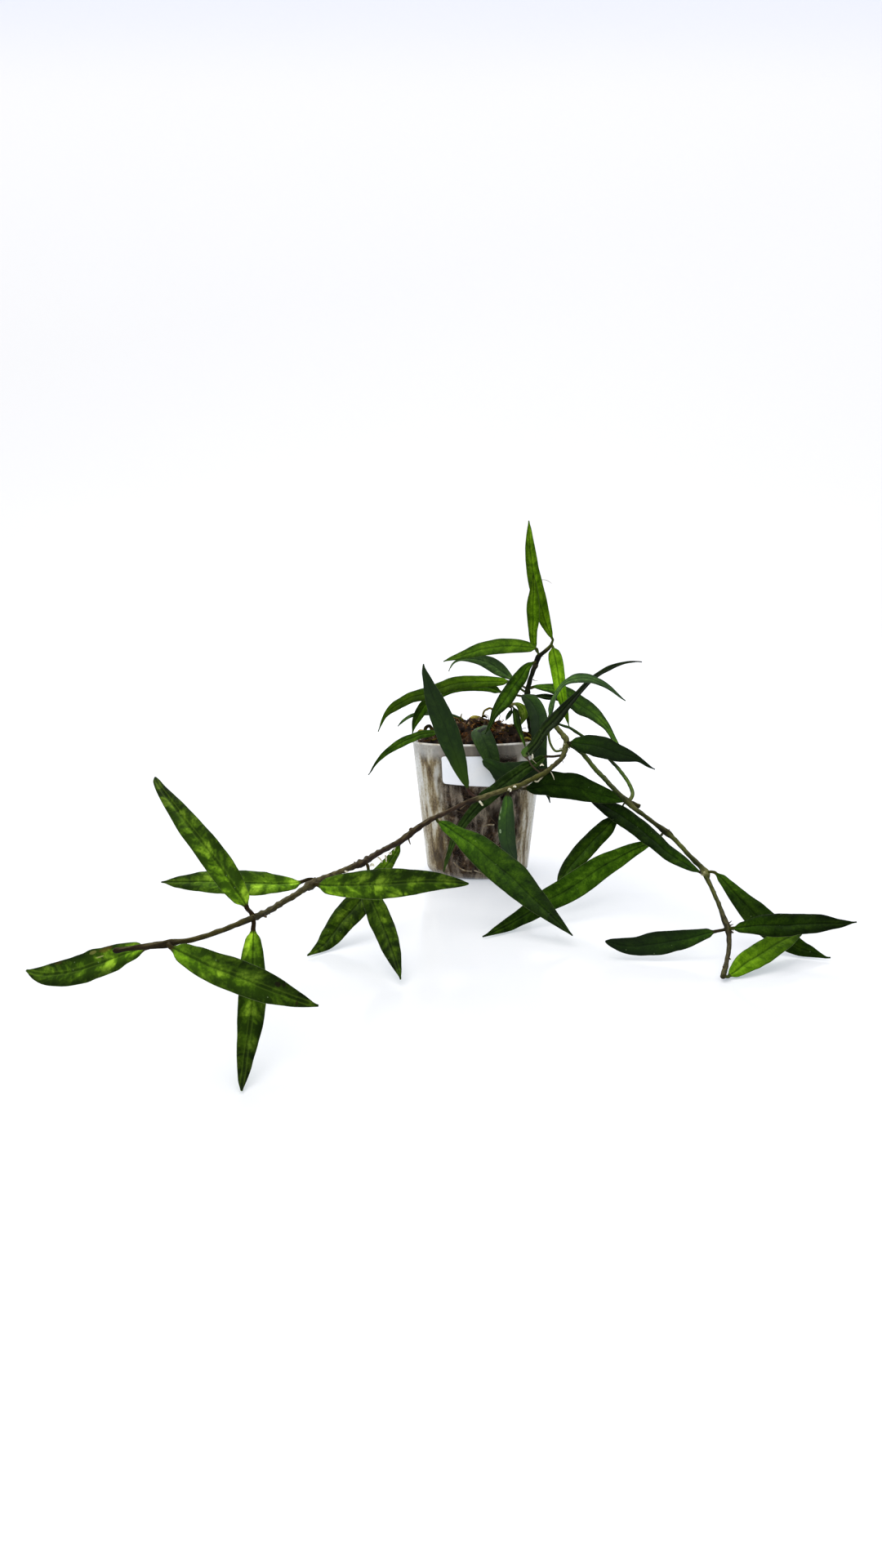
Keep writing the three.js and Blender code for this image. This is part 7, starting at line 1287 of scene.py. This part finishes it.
def build_chips():
    """Pieces of bark on the mound, some on edge."""
    import bmesh
    g = random.Random(11)
    bm = bmesh.new()
    bmesh.ops.create_icosphere(bm, subdivisions=3, radius=1.0)
    base = np.array([v.co[:] for v in bm.verts])
    faces = [[v.index for v in f.verts] for f in bm.faces]
    bm.free()
    V, F, T = [], [], []
    for i in range(150):
        r = 29.5 * math.sqrt(g.random())
        a = g.random() * 6.283
        x, y = r * math.cos(a), r * math.sin(a)
        L, W, H = g.uniform(1.0, 3.2), g.uniform(0.8, 1.9), g.uniform(0.4, 1.1)
        q = np.sign(base) * np.abs(base) ** 0.62          # squared-off lump
        ph = [g.random() * 6.28 for _ in range(6)]
        bumps = 1 + 0.13 * np.sin(3 * base[:, 0] + ph[0]) * np.cos(4 * base[:, 1] + ph[1]) + 0.09 * np.sin(7 * base[:, 2] + 6 * base[:, 0] + ph[2])
        q = q * bumps[:, None] * np.array([L, W, H])
        R = Matrix.Rotation(g.random() * 6.283, 3, "Z") @ Matrix.Rotation(g.gauss(0, 0.55), 3, "X") @ Matrix.Rotation(g.gauss(0, 0.45), 3, "Y")
        q = q @ np.array(R).T
        z = med_z(r) - 1.9 + g.uniform(-0.9, 0.7)
        if r > 26:
            z -= 0.8
        q = q + np.array([x, y, z])
        rr = np.hypot(q[:, 0], q[:, 1])
        lim = np.interp(q[:, 2], [60, 67.0, 69.5], [outer_r(60) - 1.4, outer_r(67) - 1.3, outer_r(67.5) + 0.6])
        k = np.minimum(1, lim / np.maximum(rr, 1e-6))
        q[:, 0] *= k
        q[:, 1] *= k
        o = len(V) and sum(len(v) for v in V)
        V.append(q)
        F += [[o + n for n in f] for f in faces]
        tone = g.uniform(0.1, 0.95)
        T += [(tone, 0, 0)] * len(q)
    ob = make_mesh("look_bark_chips", np.vstack(V), F, attrs={"tone": T}, mats=[medium_material("bark_brown", BARK, 300.0)])
    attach(ob, "root")
    return ob


def strand(g, start, heading, length, r, curl=0.5, lift=0.0, floor=True, step=0.7):
    """A wandering curly line over the mound."""
    p = np.array(start, float)
    d = np.array(heading, float)
    pts = [p.copy()]
    ax = np.array([g.gauss(0, 1), g.gauss(0, 1), g.gauss(0, 1)])
    ax /= np.linalg.norm(ax)
    n = int(length / step)
    for i in range(n):
        ax = ax + 0.35 * np.array([g.gauss(0, 1), g.gauss(0, 1), g.gauss(0, 1)])
        ax /= np.linalg.norm(ax)
        R = np.array(Matrix.Rotation(curl * step, 3, Vector(ax)))
        d = R @ d
        d[2] += lift * 0.06
        d /= np.linalg.norm(d)
        p = p + d * step
        rad = math.hypot(p[0], p[1])
        if rad > 30.0:
            d[0] -= p[0] / rad * 0.5
            d[1] -= p[1] / rad * 0.5
            p[0] *= 30.0 / rad
            p[1] *= 30.0 / rad
        zl = med_z(min(rad, 31.0)) - 1.3 + r
        if floor and p[2] < zl:
            p[2] = zl
            d[2] = abs(d[2]) * 0.4
        if p[2] > zl + 5.0:
            d[2] -= 0.3
        pts.append(p.copy())
    return pts


def join_tubes(name, items, mats, k=8, rough=0.25):
    """items: (points, radii, tone); one object."""
    V, F, T = [], [], []
    o = 0
    for i, (pts, rad, tone) in enumerate(items):
        v, f, _ = tube(pts, rad, k=k, step=0.35, rough=rough, seed=i + 3)
        V.append(v)
        F += [[n + o for n in q] for q in f]
        o += len(v)
        T += [(tone, 0, 0)] * len(v)
    ob = make_mesh(name, np.vstack(V), F, attrs={"tone": T}, mats=mats)
    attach(ob, "root")
    return ob


def build_moss():
    g = random.Random(23)
    thick, thin = [], []
    for i in range(34):
        r = 28.0 * math.sqrt(g.random())
        a = g.random() * 6.283
        s = (r * math.cos(a), r * math.sin(a), med_z(r) - 1.6)
        h = np.array([g.gauss(0, 1), g.gauss(0, 1), g.uniform(0.0, 0.7)])
        h /= np.linalg.norm(h)
        pts = strand(g, s, h, g.uniform(5, 13), 0.4, curl=g.uniform(0.25, 0.6), lift=-0.9)
        n = len(pts)
        rad = g.uniform(0.22, 0.52) * (0.55 + 0.45 * np.sin(np.linspace(0.25, 2.9, n)))
        thick.append((pts, rad, g.uniform(0.05, 0.7)))
    for i in range(120):
        r = 30.0 * math.sqrt(g.random())
        a = g.random() * 6.283
        s = (r * math.cos(a), r * math.sin(a), med_z(r) - 1.0)
        h = np.array([g.gauss(0, 1), g.gauss(0, 1), g.uniform(-0.1, 0.6)])
        h /= np.linalg.norm(h)
        pts = strand(g, s, h, g.uniform(3, 10), 0.2, curl=g.uniform(0.2, 0.8), lift=g.uniform(-2.4, -0.9))
        thin.append((pts, g.uniform(0.07, 0.17), g.uniform(0.15, 0.95)))
    # the loops that stand highest, behind the front leaves
    for pts, r, tone in (
        ([(1.2, 12, 73.6), (2.1, 12, 77.4), (2.9, 12, 80.4), (3.7, 12, 82.3), (5.4, 12, 83.2), (7.1, 12, 82.7), (8.4, 12, 81.0)], 0.52, 0.62),
        ([(0.6, 13, 74.5), (1.4, 13, 77.0), (3.2, 13, 78.9), (5.0, 12.5, 78.3)], 0.5, 0.3),
        ([(-5.2, 13, 74.4), (-3.5, 13, 77.3), (-1.8, 13, 78.2), (0.4, 13, 78.3), (2.1, 13, 77.5), (3.2, 13, 74.8)], 0.85, 0.95),
        ([(-4.9, 10, 73.6), (-2.7, 10, 76.0), (-0.6, 10, 76.8), (1.6, 10, 76.0), (3.2, 10, 73.8)], 0.85, 0.85),
        ([(-2.0, 11.5, 75.2), (0.5, 11.5, 77.4), (3.0, 11.5, 76.6), (4.6, 11.5, 74.0)], 0.7, 0.55),
        ([(1.6, 12, 74.6), (3.3, 12, 76.6), (5.1, 12, 76.0), (5.8, 12, 73.4)], 0.6, 0.25),
        ([(-31.0, -8, 70.6), (-30.0, -8, 72.9), (-28.4, -8, 73.0), (-27.0, -8, 71.0)], 0.6, 0.75),
        ([(-27.8, -6, 71.0), (-26.8, -6, 74.3), (-25.1, -6, 75.2), (-24.0, -6, 72.2)], 0.8, 0.2),
        ([(20.2, -4, 70.0), (22.3, -4, 72.0), (24.8, -4, 71.6), (26.6, -4, 69.6)], 0.5, 0.5),
        ([(21.6, -14, 68.8), (23.6, -14, 70.4), (25.9, -14, 69.4)], 0.55, 0.98),
    ):
        thick.append((pts, r, tone))
    join_tubes("look_moss_strands", thick, [medium_material("moss_olive", MOSS, 420.0)], rough=0.4)
    join_tubes("look_moss_fibres", thin, [medium_material("moss_brown", [(0.0, (28, 16, 5)), (0.4, (80, 50, 16)), (0.7, (136, 92, 36)), (1.0, (196, 162, 106))], 500.0)], k=6, rough=0.2)


def build_granules():
    """A few white mineral grains on the mound."""
    import bmesh
    g = random.Random(77)
    bm = bmesh.new()
    bmesh.ops.create_icosphere(bm, subdivisions=3, radius=1.0)
    base = np.array([v.co[:] for v in bm.verts])
    faces = [[v.index for v in f.verts] for f in bm.faces]
    bm.free()
    V, F, T, o = [], [], [], 0
    for x, y, z, r in ((-10.0, 8, 76.0, 0.75), (8.3, 0, 74.5, 0.72), (-5.0, -14, 72.2, 0.4), (19.0, -16, 70.3, 0.45), (14.0, 12, 74.6, 0.5), (-17, -15, 71.0, 0.5)):
        ph = g.random() * 6.28
        q = base * (1 + 0.16 * np.sin(3 * base[:, 0:1] + ph) * np.cos(3 * base[:, 1:2] - ph)) * r * np.array([1.25, 1.0, 0.85])
        V.append(q + np.array([x, y, z]))
        F += [[o + n for n in f] for f in faces]
        o += len(base)
        T += [(0.8, 0, 0)] * len(base)
    ob = make_mesh("look_white_granules", np.vstack(V), F, attrs={"tone": T}, mats=[medium_material("granule_white", [(0.0, (176, 172, 160)), (0.5, (226, 224, 216)), (1.0, (246, 245, 240))], 600.0)])
    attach(ob, "root")
    return ob


def build_roots():
    """Pale roots that run against the inside of the wall."""
    g = random.Random(31)
    items = []
    for i in range(12):
        a, z = g.random() * 6.283, g.uniform(5, 62)
        da = g.uniform(-0.16, 0.16)
        dz = g.gauss(0, 1.6)
        pts = []
        for j in range(g.randint(10, 30)):
            z = min(max(z + dz, 3.0), 64.0)
            a += da
            da += g.gauss(0, 0.03)
            dz += g.gauss(0, 0.55) - 0.05 * dz
            r = outer_r(z) - POT_WALL - 0.45 - 0.25 * abs(math.sin(i + j * 0.7))
            pts.append((r * math.cos(a), r * math.sin(a), z))
        items.append((pts, g.uniform(0.12, 0.24), g.uniform(0.05, 0.35)))

    def ring(th0, th1, z0, z1, bow, r0, tone, n=12):
        pts = []
        for j in range(n):
            t = j / (n - 1)
            th = math.radians(th0 + (th1 - th0) * t)
            z = z0 + (z1 - z0) * t + bow * math.sin(math.pi * t)
            r = outer_r(z) - POT_WALL - 0.35
            pts.append((r * math.sin(th), -r * math.cos(th), z))
        items.append((pts, r0, tone))

    ring(3, 15, 27.5, 28.4, 0.6, 0.42, 1.0)
    ring(-6, 22, 5.0, 3.8, -1.2, 0.40, 0.95)
    ring(-30, -8, 8.5, 4.6, -1.6, 0.34, 0.85)
    ring(-58, -50, 30, 12, 0.5, 0.34, 0.9)
    ring(28, 34, 44, 12, 1.0, 0.32, 0.85)
    ring(-20, 10, 36, 40, 3.0, 0.26, 0.7)
    join_tubes("look_wall_roots", items, [medium_material("root_pale", [(0.0, (46, 34, 20)), (0.35, (92, 74, 48)), (0.65, (150, 132, 98)), (1.0, (216, 206, 182))], 350.0)], k=7, rough=0.2)


# ================================================================ small things on the stems
def bit_material(name, lo, md, hi, scale=700.0):
    N = Nodes(name)
    v = N.obj()
    a = N.noise(v, scale, 4.0, 0.6)
    col = N.ramp(a, [(0.3, srgb(*lo)), (0.5, srgb(*md)), (0.7, srgb(*hi))], "LINEAR")
    sh = N.principled(Base_Color=col, Roughness=0.6, Normal=N.bump(a, 0.5, 0.0001))
    sh.node.inputs["Specular IOR Level"].default_value = 0.2
    return N.done(sh)


# Aerial roots, leaf scars, spurs and hairs: kind, then points (x, y, z, radius) in millimetres.
BITS = [
    ("cream", [(28.68, -60.55, 59.22, 0.22), (27.58, -60.69, 57.16, 0.24), (26.09, -60.85, 55.66, 0.24), (24.97, -61.00, 54.73, 0.27), (24.02, -61.14, 54.90, 0.37), (23.43, -61.30, 55.68, 0.24)]),
    ("cream", [(30.48, -55.55, 59.72, 0.22), (31.81, -55.69, 58.22, 0.21), (32.58, -55.85, 56.72, 0.19), (33.24, -56.00, 54.84, 0.12)]),
    ("cream", [(-2.43, -70.29, 47.75, 0.37), (-1.51, -70.44, 46.55, 0.46), (-0.28, -70.59, 44.90, 0.38)]),
    ("cream", [(10.91, -68.09, 51.56, 0.31), (11.62, -68.24, 52.52, 0.44), (12.54, -68.39, 51.99, 0.44), (11.99, -68.54, 51.08, 0.30)]),
    ("cream", [(13.31, -67.79, 53.02, 0.30), (14.22, -67.94, 53.42, 0.44), (14.77, -68.09, 53.07, 0.30)]),
    ("cream", [(26.02, -60.55, 61.85, 0.22), (26.93, -60.69, 62.62, 0.44), (27.85, -60.85, 62.08, 0.26)]),
    ("cream", [(22.16, -63.94, 67.86, 0.15), (22.35, -64.09, 66.75, 0.31), (22.13, -64.24, 65.65, 0.15)]),
    ("cream", [(39.60, -27.74, 72.28, 0.22), (40.19, -27.88, 71.50, 0.37), (40.39, -28.03, 70.71, 0.22)]),
    ("cream", [(40.03, -33.08, 69.63, 0.30), (40.62, -33.23, 68.85, 0.30)]),
    ("cream", [(37.33, -36.58, 67.22, 0.22), (38.28, -36.73, 67.63, 0.37), (38.87, -36.88, 66.86, 0.22)]),
    ("cream", [(-55.08, -159.84, 35.12, 0.26), (-54.32, -159.99, 34.61, 0.37), (-53.25, -160.14, 34.58, 0.22)]),
    ("cream", [(-46.77, -137.95, 31.87, 0.30), (-45.96, -138.10, 32.39, 0.55), (-45.00, -138.25, 31.94, 0.22)]),
    ("cream", [(-47.88, -137.95, 31.70, 0.37), (-47.24, -138.10, 31.58, 0.30)]),
    ("cream", [(-44.28, -128.93, 33.54, 0.31), (-43.46, -129.08, 32.91, 0.37), (-42.80, -129.23, 32.12, 0.33), (-42.47, -129.38, 31.39, 0.18)]),
    ("cream", [(-41.71, -120.90, 32.70, 0.31), (-41.38, -121.05, 31.38, 0.31), (-41.28, -121.20, 29.89, 0.18)]),
    ("cream", [(-40.28, -120.90, 34.05, 0.15), (-39.95, -121.05, 32.97, 0.22), (-39.38, -121.20, 33.11, 0.22), (-39.17, -121.35, 34.15, 0.11)]),
    ("cream", [(-37.94, -113.90, 34.50, 0.22), (-38.27, -114.05, 33.67, 0.22), (-38.43, -114.20, 33.02, 0.15)]),
    ("cream", [(-61.83, -180.90, 36.65, 0.31), (-61.30, -181.05, 36.31, 0.37)]),
    ("olive", [(88.14, -118.74, 25.74, 0.52), (88.97, -118.88, 24.75, 0.74), (88.64, -119.03, 23.76, 0.37)]),
    ("olive", [(87.05, -118.60, 24.51, 0.18), (88.01, -118.75, 24.48, 0.37), (88.63, -118.90, 24.92, 0.37)]),
    ("olive", [(91.18, -151.00, 11.79, 0.26), (91.73, -151.15, 11.03, 0.44), (92.09, -151.30, 10.28, 0.30)]),
    ("brown", [(-32.97, -102.60, 36.62, 0.45), (-32.70, -102.75, 35.60, 0.29), (-32.35, -102.90, 34.48, 0.23), (-32.00, -103.05, 33.45, 0.14)]),
    ("brown", [(-52.42, -145.20, 35.11, 0.23), (-51.72, -145.35, 34.66, 0.32), (-50.78, -145.50, 34.32, 0.45)]),
    ("brown", [(-63.51, -180.40, 37.00, 0.32), (-62.87, -180.55, 36.59, 0.45), (-62.14, -180.70, 36.14, 0.54)]),
    ("brown", [(-32.57, -102.20, 39.60, 0.36), (-31.88, -102.35, 40.15, 0.45), (-31.01, -102.50, 40.11, 0.36)]),
    ("brown", [(-49.03, -137.30, 34.32, 0.45), (-48.22, -137.45, 35.10, 0.54), (-47.25, -137.60, 35.20, 0.45)]),
    ("brown", [(39.96, -36.10, 65.60, 0.41), (40.75, -36.25, 64.44, 0.23), (41.33, -36.40, 63.86, 0.09)]),
    ("brown", [(37.36, -42.10, 64.30, 0.36), (38.27, -42.25, 62.57, 0.18), (39.06, -42.40, 60.83, 0.07)]),
    ("brown", [(34.36, -48.80, 62.16, 0.36), (34.94, -48.95, 61.03, 0.14)]),
    ("brown", [(41.48, -32.70, 68.40, 0.45), (42.66, -32.85, 67.43, 0.27), (43.05, -33.00, 66.85, 0.09)]),
    ("brown", [(-72.64, -232.20, 37.61, 0.32), (-71.89, -232.35, 36.99, 0.32), (-71.38, -232.50, 36.93, 0.14)]),
    ("brown", [(-71.49, -217.70, 35.97, 0.32), (-70.96, -217.85, 35.45, 0.27), (-70.68, -218.00, 35.39, 0.14)]),
    ("brown", [(-72.07, -225.20, 36.38, 0.32), (-71.56, -225.35, 35.90, 0.14)]),
    ("brown", [(77.54, -95.00, 37.87, 0.50), (78.53, -95.15, 38.69, 0.32), (78.70, -95.30, 39.11, 0.11)]),
    ("brown", [(90.06, -150.40, 12.73, 0.36), (90.92, -150.55, 13.35, 0.18), (91.57, -150.70, 14.00, 0.07)]),
    ("brown", [(90.69, -150.50, 11.80, 0.32), (91.56, -150.65, 12.27, 0.16), (92.25, -150.80, 12.66, 0.07)]),
    ("brown", [(85.63, -169.80, 5.43, 0.32), (86.17, -169.95, 4.86, 0.25), (86.31, -170.10, 4.79, 0.11)]),
    ("brown", [(82.65, -175.10, 4.04, 0.32), (82.16, -175.25, 3.63, 0.27), (81.97, -175.40, 3.62, 0.11)]),
    ("brown", [(90.82, -150.30, 9.99, 0.54), (91.89, -150.45, 9.39, 0.50), (92.48, -150.60, 9.28, 0.32)]),
    ("brown", [(29.21, 0.90, 109.55, 0.27), (30.84, 0.75, 110.18, 0.13), (32.07, 0.60, 110.60, 0.09), (33.10, 0.45, 110.28, 0.05)]),
    ("brown", [(27.35, 1.60, 98.75, 0.27), (29.02, 1.45, 98.14, 0.13), (30.46, 1.30, 98.36, 0.05)]),
    ("hair", [(39.66, -27.30, 71.64, 0.09), (38.06, -27.45, 71.05, 0.08), (36.66, -27.60, 70.34, 0.07), (35.46, -27.75, 69.75, 0.05)]),
    ("hair", [(24.22, -63.70, 63.35, 0.11), (21.94, -63.85, 65.61, 0.09), (20.79, -64.00, 67.30, 0.09), (20.20, -64.15, 68.62, 0.05)]),
    ("hair", [(30.43, 5.35, 148.40, 0.14), (31.87, 5.35, 149.02, 0.12), (33.53, 5.35, 148.94, 0.12), (35.20, 5.35, 148.30, 0.10), (36.72, 5.35, 147.08, 0.06)]),
]


def build_bits():
    mats = {"cream": bit_material("root_cream", (150, 140, 106), (212, 206, 178), (244, 241, 226)),
            "olive": bit_material("scar_olive", (88, 86, 50), (138, 136, 92), (178, 176, 136)),
            "brown": bit_material("spur_brown", (40, 29, 17), (74, 60, 40), (122, 108, 84)),
            "hair": bit_material("hair_grey", (96, 88, 70), (140, 132, 110), (180, 172, 150))}
    named = {"cream": "look_aerial_roots", "olive": "look_leaf_scars", "brown": "look_stem_spurs", "hair": "look_stem_hairs"}
    for kind, mat in mats.items():
        V, F, o = [], [], 0
        for i, (what, pts) in enumerate(BITS):
            if what != kind:
                continue
            a = np.array(pts)
            v, f, _ = tube(a[:, :3], a[:, 3], k=10, step=0.16, rough=0.28, seed=40 + i)
            V.append(v)
            F += [[n + o for n in q] for q in f]
            o += len(v)
        ob = make_mesh(named[kind], np.vstack(V), F, mats=[mat])
        fix_normals(ob)
        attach(ob, "root")


# ================================================================ build everything
for n, (name, spec) in enumerate(LEAVES.items()):
    build_leaf(name, spec, n)

build_stem("stem_left_vine", STEMS["stem_left_vine"],
           [(0.0, (42, 58, 26)), (0.07, (66, 80, 40)), (0.11, (84, 88, 46)), (0.16, (66, 70, 34)), (0.20, (56, 52, 28)), (0.215, (66, 68, 30)), (0.25, (70, 72, 30)), (0.29, (84, 82, 48)), (0.322, (92, 88, 58)), (0.333, (44, 34, 26)), (0.36, (60, 47, 38)), (0.41, (54, 42, 31)), (0.44, (44, 33, 20)), (0.51, (46, 35, 26)), (0.57, (44, 33, 24)),
            (0.60, (46, 36, 24)), (0.64, (72, 66, 36)), (0.70, (66, 60, 36)), (0.717, (54, 47, 30)), (0.735, (64, 60, 34)), (0.78, (58, 54, 22)), (0.85, (46, 42, 15)), (0.88, (46, 42, 15)), (0.90, (58, 54, 22)), (0.945, (56, 52, 20)), (0.958, (34, 28, 14)), (0.974, (44, 37, 19)), (1.0, (26, 19, 7))], 3,
           extend=[(27.2, 1.5, 66.5)], warts=70, rough=0.10,
           swell=[(0, 1.05, 0), (0.30, 1.0, 0), (0.325, 1.15, 0), (0.345, 0.95, 0), (0.40, 0.95, 0), (0.42, 1.15, -0.4), (0.455, 1.38, -0.9), (0.49, 1.2, -0.5), (0.54, 1.15, 0), (0.575, 1.2, 0), (0.59, 1.6, 0), (0.605, 1.25, 0), (0.66, 1.1, 0), (0.70, 1.2, 0), (0.717, 1.9, 0), (0.733, 1.2, 0),
                  (0.76, 1.22, -0.15), (0.80, 1.15, -0.15), (0.847, 1.15, -0.25), (0.88, 1.05, -0.25), (0.95, 1.05, -0.15), (0.962, 1.6, -0.2), (0.972, 1.3, -0.2), (1, 1.1, -0.1)])
build_stem("stem_right_vine", STEMS["stem_right_vine"],
           [(0.0, (54, 74, 26)), (0.09, (66, 82, 34)), (0.14, (56, 74, 22)), (0.19, (42, 56, 20)), (0.24, (36, 47, 14)), (0.31, (31, 40, 10)), (0.344, (64, 66, 32)), (0.373, (38, 46, 13)), (0.42, (38, 42, 14)), (0.44, (25, 31, 7)), (0.457, (24, 28, 6)),
            (0.48, (58, 66, 26)), (0.52, (68, 77, 28)), (0.55, (42, 50, 15)), (0.576, (28, 35, 7)), (0.595, (38, 45, 13)), (0.614, (108, 110, 66)), (0.63, (48, 55, 17)), (0.667, (52, 60, 16)), (0.70, (50, 57, 16)), (0.74, (45, 49, 15)), (0.779, (33, 31, 14)),
            (0.82, (32, 30, 12)), (0.865, (42, 38, 22)), (0.896, (43, 40, 28)), (0.93, (42, 38, 28)), (1.0, (52, 52, 26))], 5,
           extend=[(41.6, -30.5, 69.3)], warts=26, rough=0.05,
           swell=[(0, 1.1, 0), (0.09, 1.1, -0.3), (0.19, 1.1, -0.4), (0.30, 1.05, 0), (0.373, 1.0, 0.2), (0.42, 0.99, 0.35), (0.44, 1.33, 0.1), (0.457, 1.27, 0), (0.475, 1.02, 0.3), (0.52, 1.01, 0.8), (0.555, 1.04, 0.3), (0.576, 1.17, 0),
                  (0.60, 1.1, 0), (0.614, 1.25, 0), (0.63, 0.96, 0, -0.6), (0.67, 0.90, 0, -0.4), (0.74, 0.94, 0, -0.2), (0.779, 1.2, 0, -0.2), (0.80, 1.0, 0), (0.865, 0.9, 0), (0.93, 0.85, 0), (1, 1.0, 0)])
build_stem("stem_upright", STEMS["stem_upright"], [(0.0, (34, 42, 18)), (0.3, (40, 50, 24)), (0.48, (34, 42, 20)), (0.58, (22, 30, 11)), (0.67, (27, 32, 15)), (0.72, (36, 38, 24)), (0.747, (64, 60, 44)), (0.775, (14, 15, 9)), (0.86, (16, 17, 8)), (0.90, (24, 26, 10)), (0.94, (50, 52, 18)), (1.0, (66, 80, 24))], 7,
           extend=[(27.8, 5.2, 66.5)], warts=8, swell=[(0, 1.1, 0), (0.72, 1.12, 0), (0.747, 1.4, 0), (0.775, 1.12, 0), (1, 1.2, 0)])
build_stem("stem_young", STEMS["stem_young"], [(0.0, (40, 56, 15)), (0.5, (32, 46, 9)), (1.0, (50, 62, 25))], 9, extend=[(4.6, -5.0, 75.5)], warts=2)
build_stem("shoot_thin", STEMS["shoot_thin"] + [(64.9, -75.6, 48.9, 0.6), (63.9, -76.2, 48.35, 0.6)], [(0.0, (44, 68, 34)), (0.1, (48, 72, 36)), (0.2, (40, 61, 16)), (0.3, (25, 47, 12)), (0.45, (20, 42, 7)), (0.6, (27, 51, 10)), (0.64, (54, 80, 28)), (0.74, (46, 73, 12)), (0.83, (58, 86, 21)), (0.9, (54, 80, 26)), (0.96, (66, 84, 30)), (1.0, (110, 114, 76))], 13, k=14, rough=0.05, warts=3,
           swell=[(0, 1.15, 0), (0.16, 1.4, 0), (0.35, 1.1, 0), (0.6, 1.35, -0.3), (0.85, 1.42, -0.15), (1, 1.5, -0.2)])
build_stem("stub_right", STEMS["stub_right"], [(0.0, (52, 52, 20)), (0.7, (60, 59, 22)), (1.0, (64, 65, 34))], 15, warts=3,
           extend=[(62.6, -76.6, 48.0)])
build_bits()
build_pot()
build_label()
build_medium()
build_chips()
build_moss()
build_granules()
build_roots()


# ================================================================ stage, light, camera
def floor_material():
    """White glossy light table: lit from above and given a painted glow from within, even under the plant, stronger far
    behind and bluish up the backdrop, so that shadows on it stay faint and bluish.
    """
    N = Nodes("table_white")
    v = N.obj()
    x, y, z = N.sep(v)
    a = N.noise(v, 3.0, 3.0, 0.5)
    b = N.noise(v, 40.0, 3.0, 0.5)
    col = N.mix(a, (0.665, 0.645, 0.628), (0.675, 0.655, 0.636))
    col = N.mix(N.math("MULTIPLY", N.span(b, 0.62, 0.75), 0.15), col, (0.60, 0.62, 0.65))
    # painted glow: emission that is weaker at the front, stronger towards the back and bluish up the backdrop
    sh = N.principled(Base_Color=col, Roughness=0.14, Emission_Color=N.mix(N.span(z, 1.66, 1.98), N.mix(N.span(y, 0.3, 2.4), (0.27, 0.303, 0.35), (0.485, 0.50, 0.53)), (0.40, 0.435, 0.56)))
    sh.node.inputs["Emission Strength"].default_value = 1.0
    sh.node.inputs["Specular IOR Level"].default_value = 0.10
    return N.done(sh)


def build_floor():
    """A flat top that curves up into a backdrop far behind, with no edge in view."""
    prof = [(y, 0.0) for y in np.linspace(-3.0, 1.2, 22)]
    prof += [(1.2 + 1.6 * math.sin(q), 1.6 - 1.6 * math.cos(q)) for q in np.linspace(0.05, math.pi / 2, 24)]
    prof += [(2.8, z) for z in (2.4, 3.4, 4.6)]
    V = [(x, y, z) for y, z in prof for x in (-4.5, 4.5)]
    F = [(2 * i, 2 * i + 1, 2 * i + 3, 2 * i + 2) for i in range(len(prof) - 1)]
    me = bpy.data.meshes.new("table_top")
    me.from_pydata(V, [], F)
    me.polygons.foreach_set("use_smooth", [True] * len(F))
    me.materials.append(floor_material())
    ob = bpy.data.objects.new("table_top", me)
    scene.collection.objects.link(ob)
    return ob


build_floor()

world = bpy.data.worlds.new("studio_white")
scene.world = world
world.use_nodes = True
bg = world.node_tree.nodes["Background"]
bg.inputs[0].default_value = (0.985, 0.99, 1.0, 1)
bg.inputs[1].default_value = 0.64


def area(name, loc, target, size, power, color=(1, 1, 1)):
    li = bpy.data.lights.new(name, "AREA")
    li.shape = "RECTANGLE"
    li.size, li.size_y = size
    li.energy = power
    li.color = color
    ob = bpy.data.objects.new(name, li)
    scene.collection.objects.link(ob)
    ob.location = loc
    d = Vector(target) - Vector(loc)
    ob.rotation_euler = d.to_track_quat("-Z", "Y").to_euler()
    return ob


area("overhead_soft", (-0.35, 0.30, 1.5), (0.0, 0.05, 0.0), (1.5, 1.2), 13.0, (1.0, 1.0, 0.985))
area("front_soft", (-0.4, -1.3, 0.8), (0, -0.1, 0.05), (1.6, 1.0), 7.0)

CAM_POS = Vector((-0.0192, -0.5431, 0.1212))
PITCH, ROLL = math.radians(8.0), math.radians(0.2)
fwd = Vector((0, math.cos(PITCH), -math.sin(PITCH)))
right = Vector((1, 0, 0))
up = right.cross(fwd)
r2 = math.cos(ROLL) * right + math.sin(ROLL) * up
u2 = -math.sin(ROLL) * right + math.cos(ROLL) * up
cam = bpy.data.cameras.new("camera")
cam.lens = 1300.0 / 1920.0 * 36.0
cam.sensor_width = 36.0
cam.sensor_fit = "AUTO"
cam.clip_start = 0.01
cam_ob = bpy.data.objects.new("camera", cam)
scene.collection.objects.link(cam_ob)
m = Matrix((r2, u2, -fwd)).transposed().to_4x4()
m.translation = CAM_POS
cam_ob.matrix_world = m
scene.camera = cam_ob
scene.view_settings.view_transform = "Standard"
scene.view_settings.look = "None"
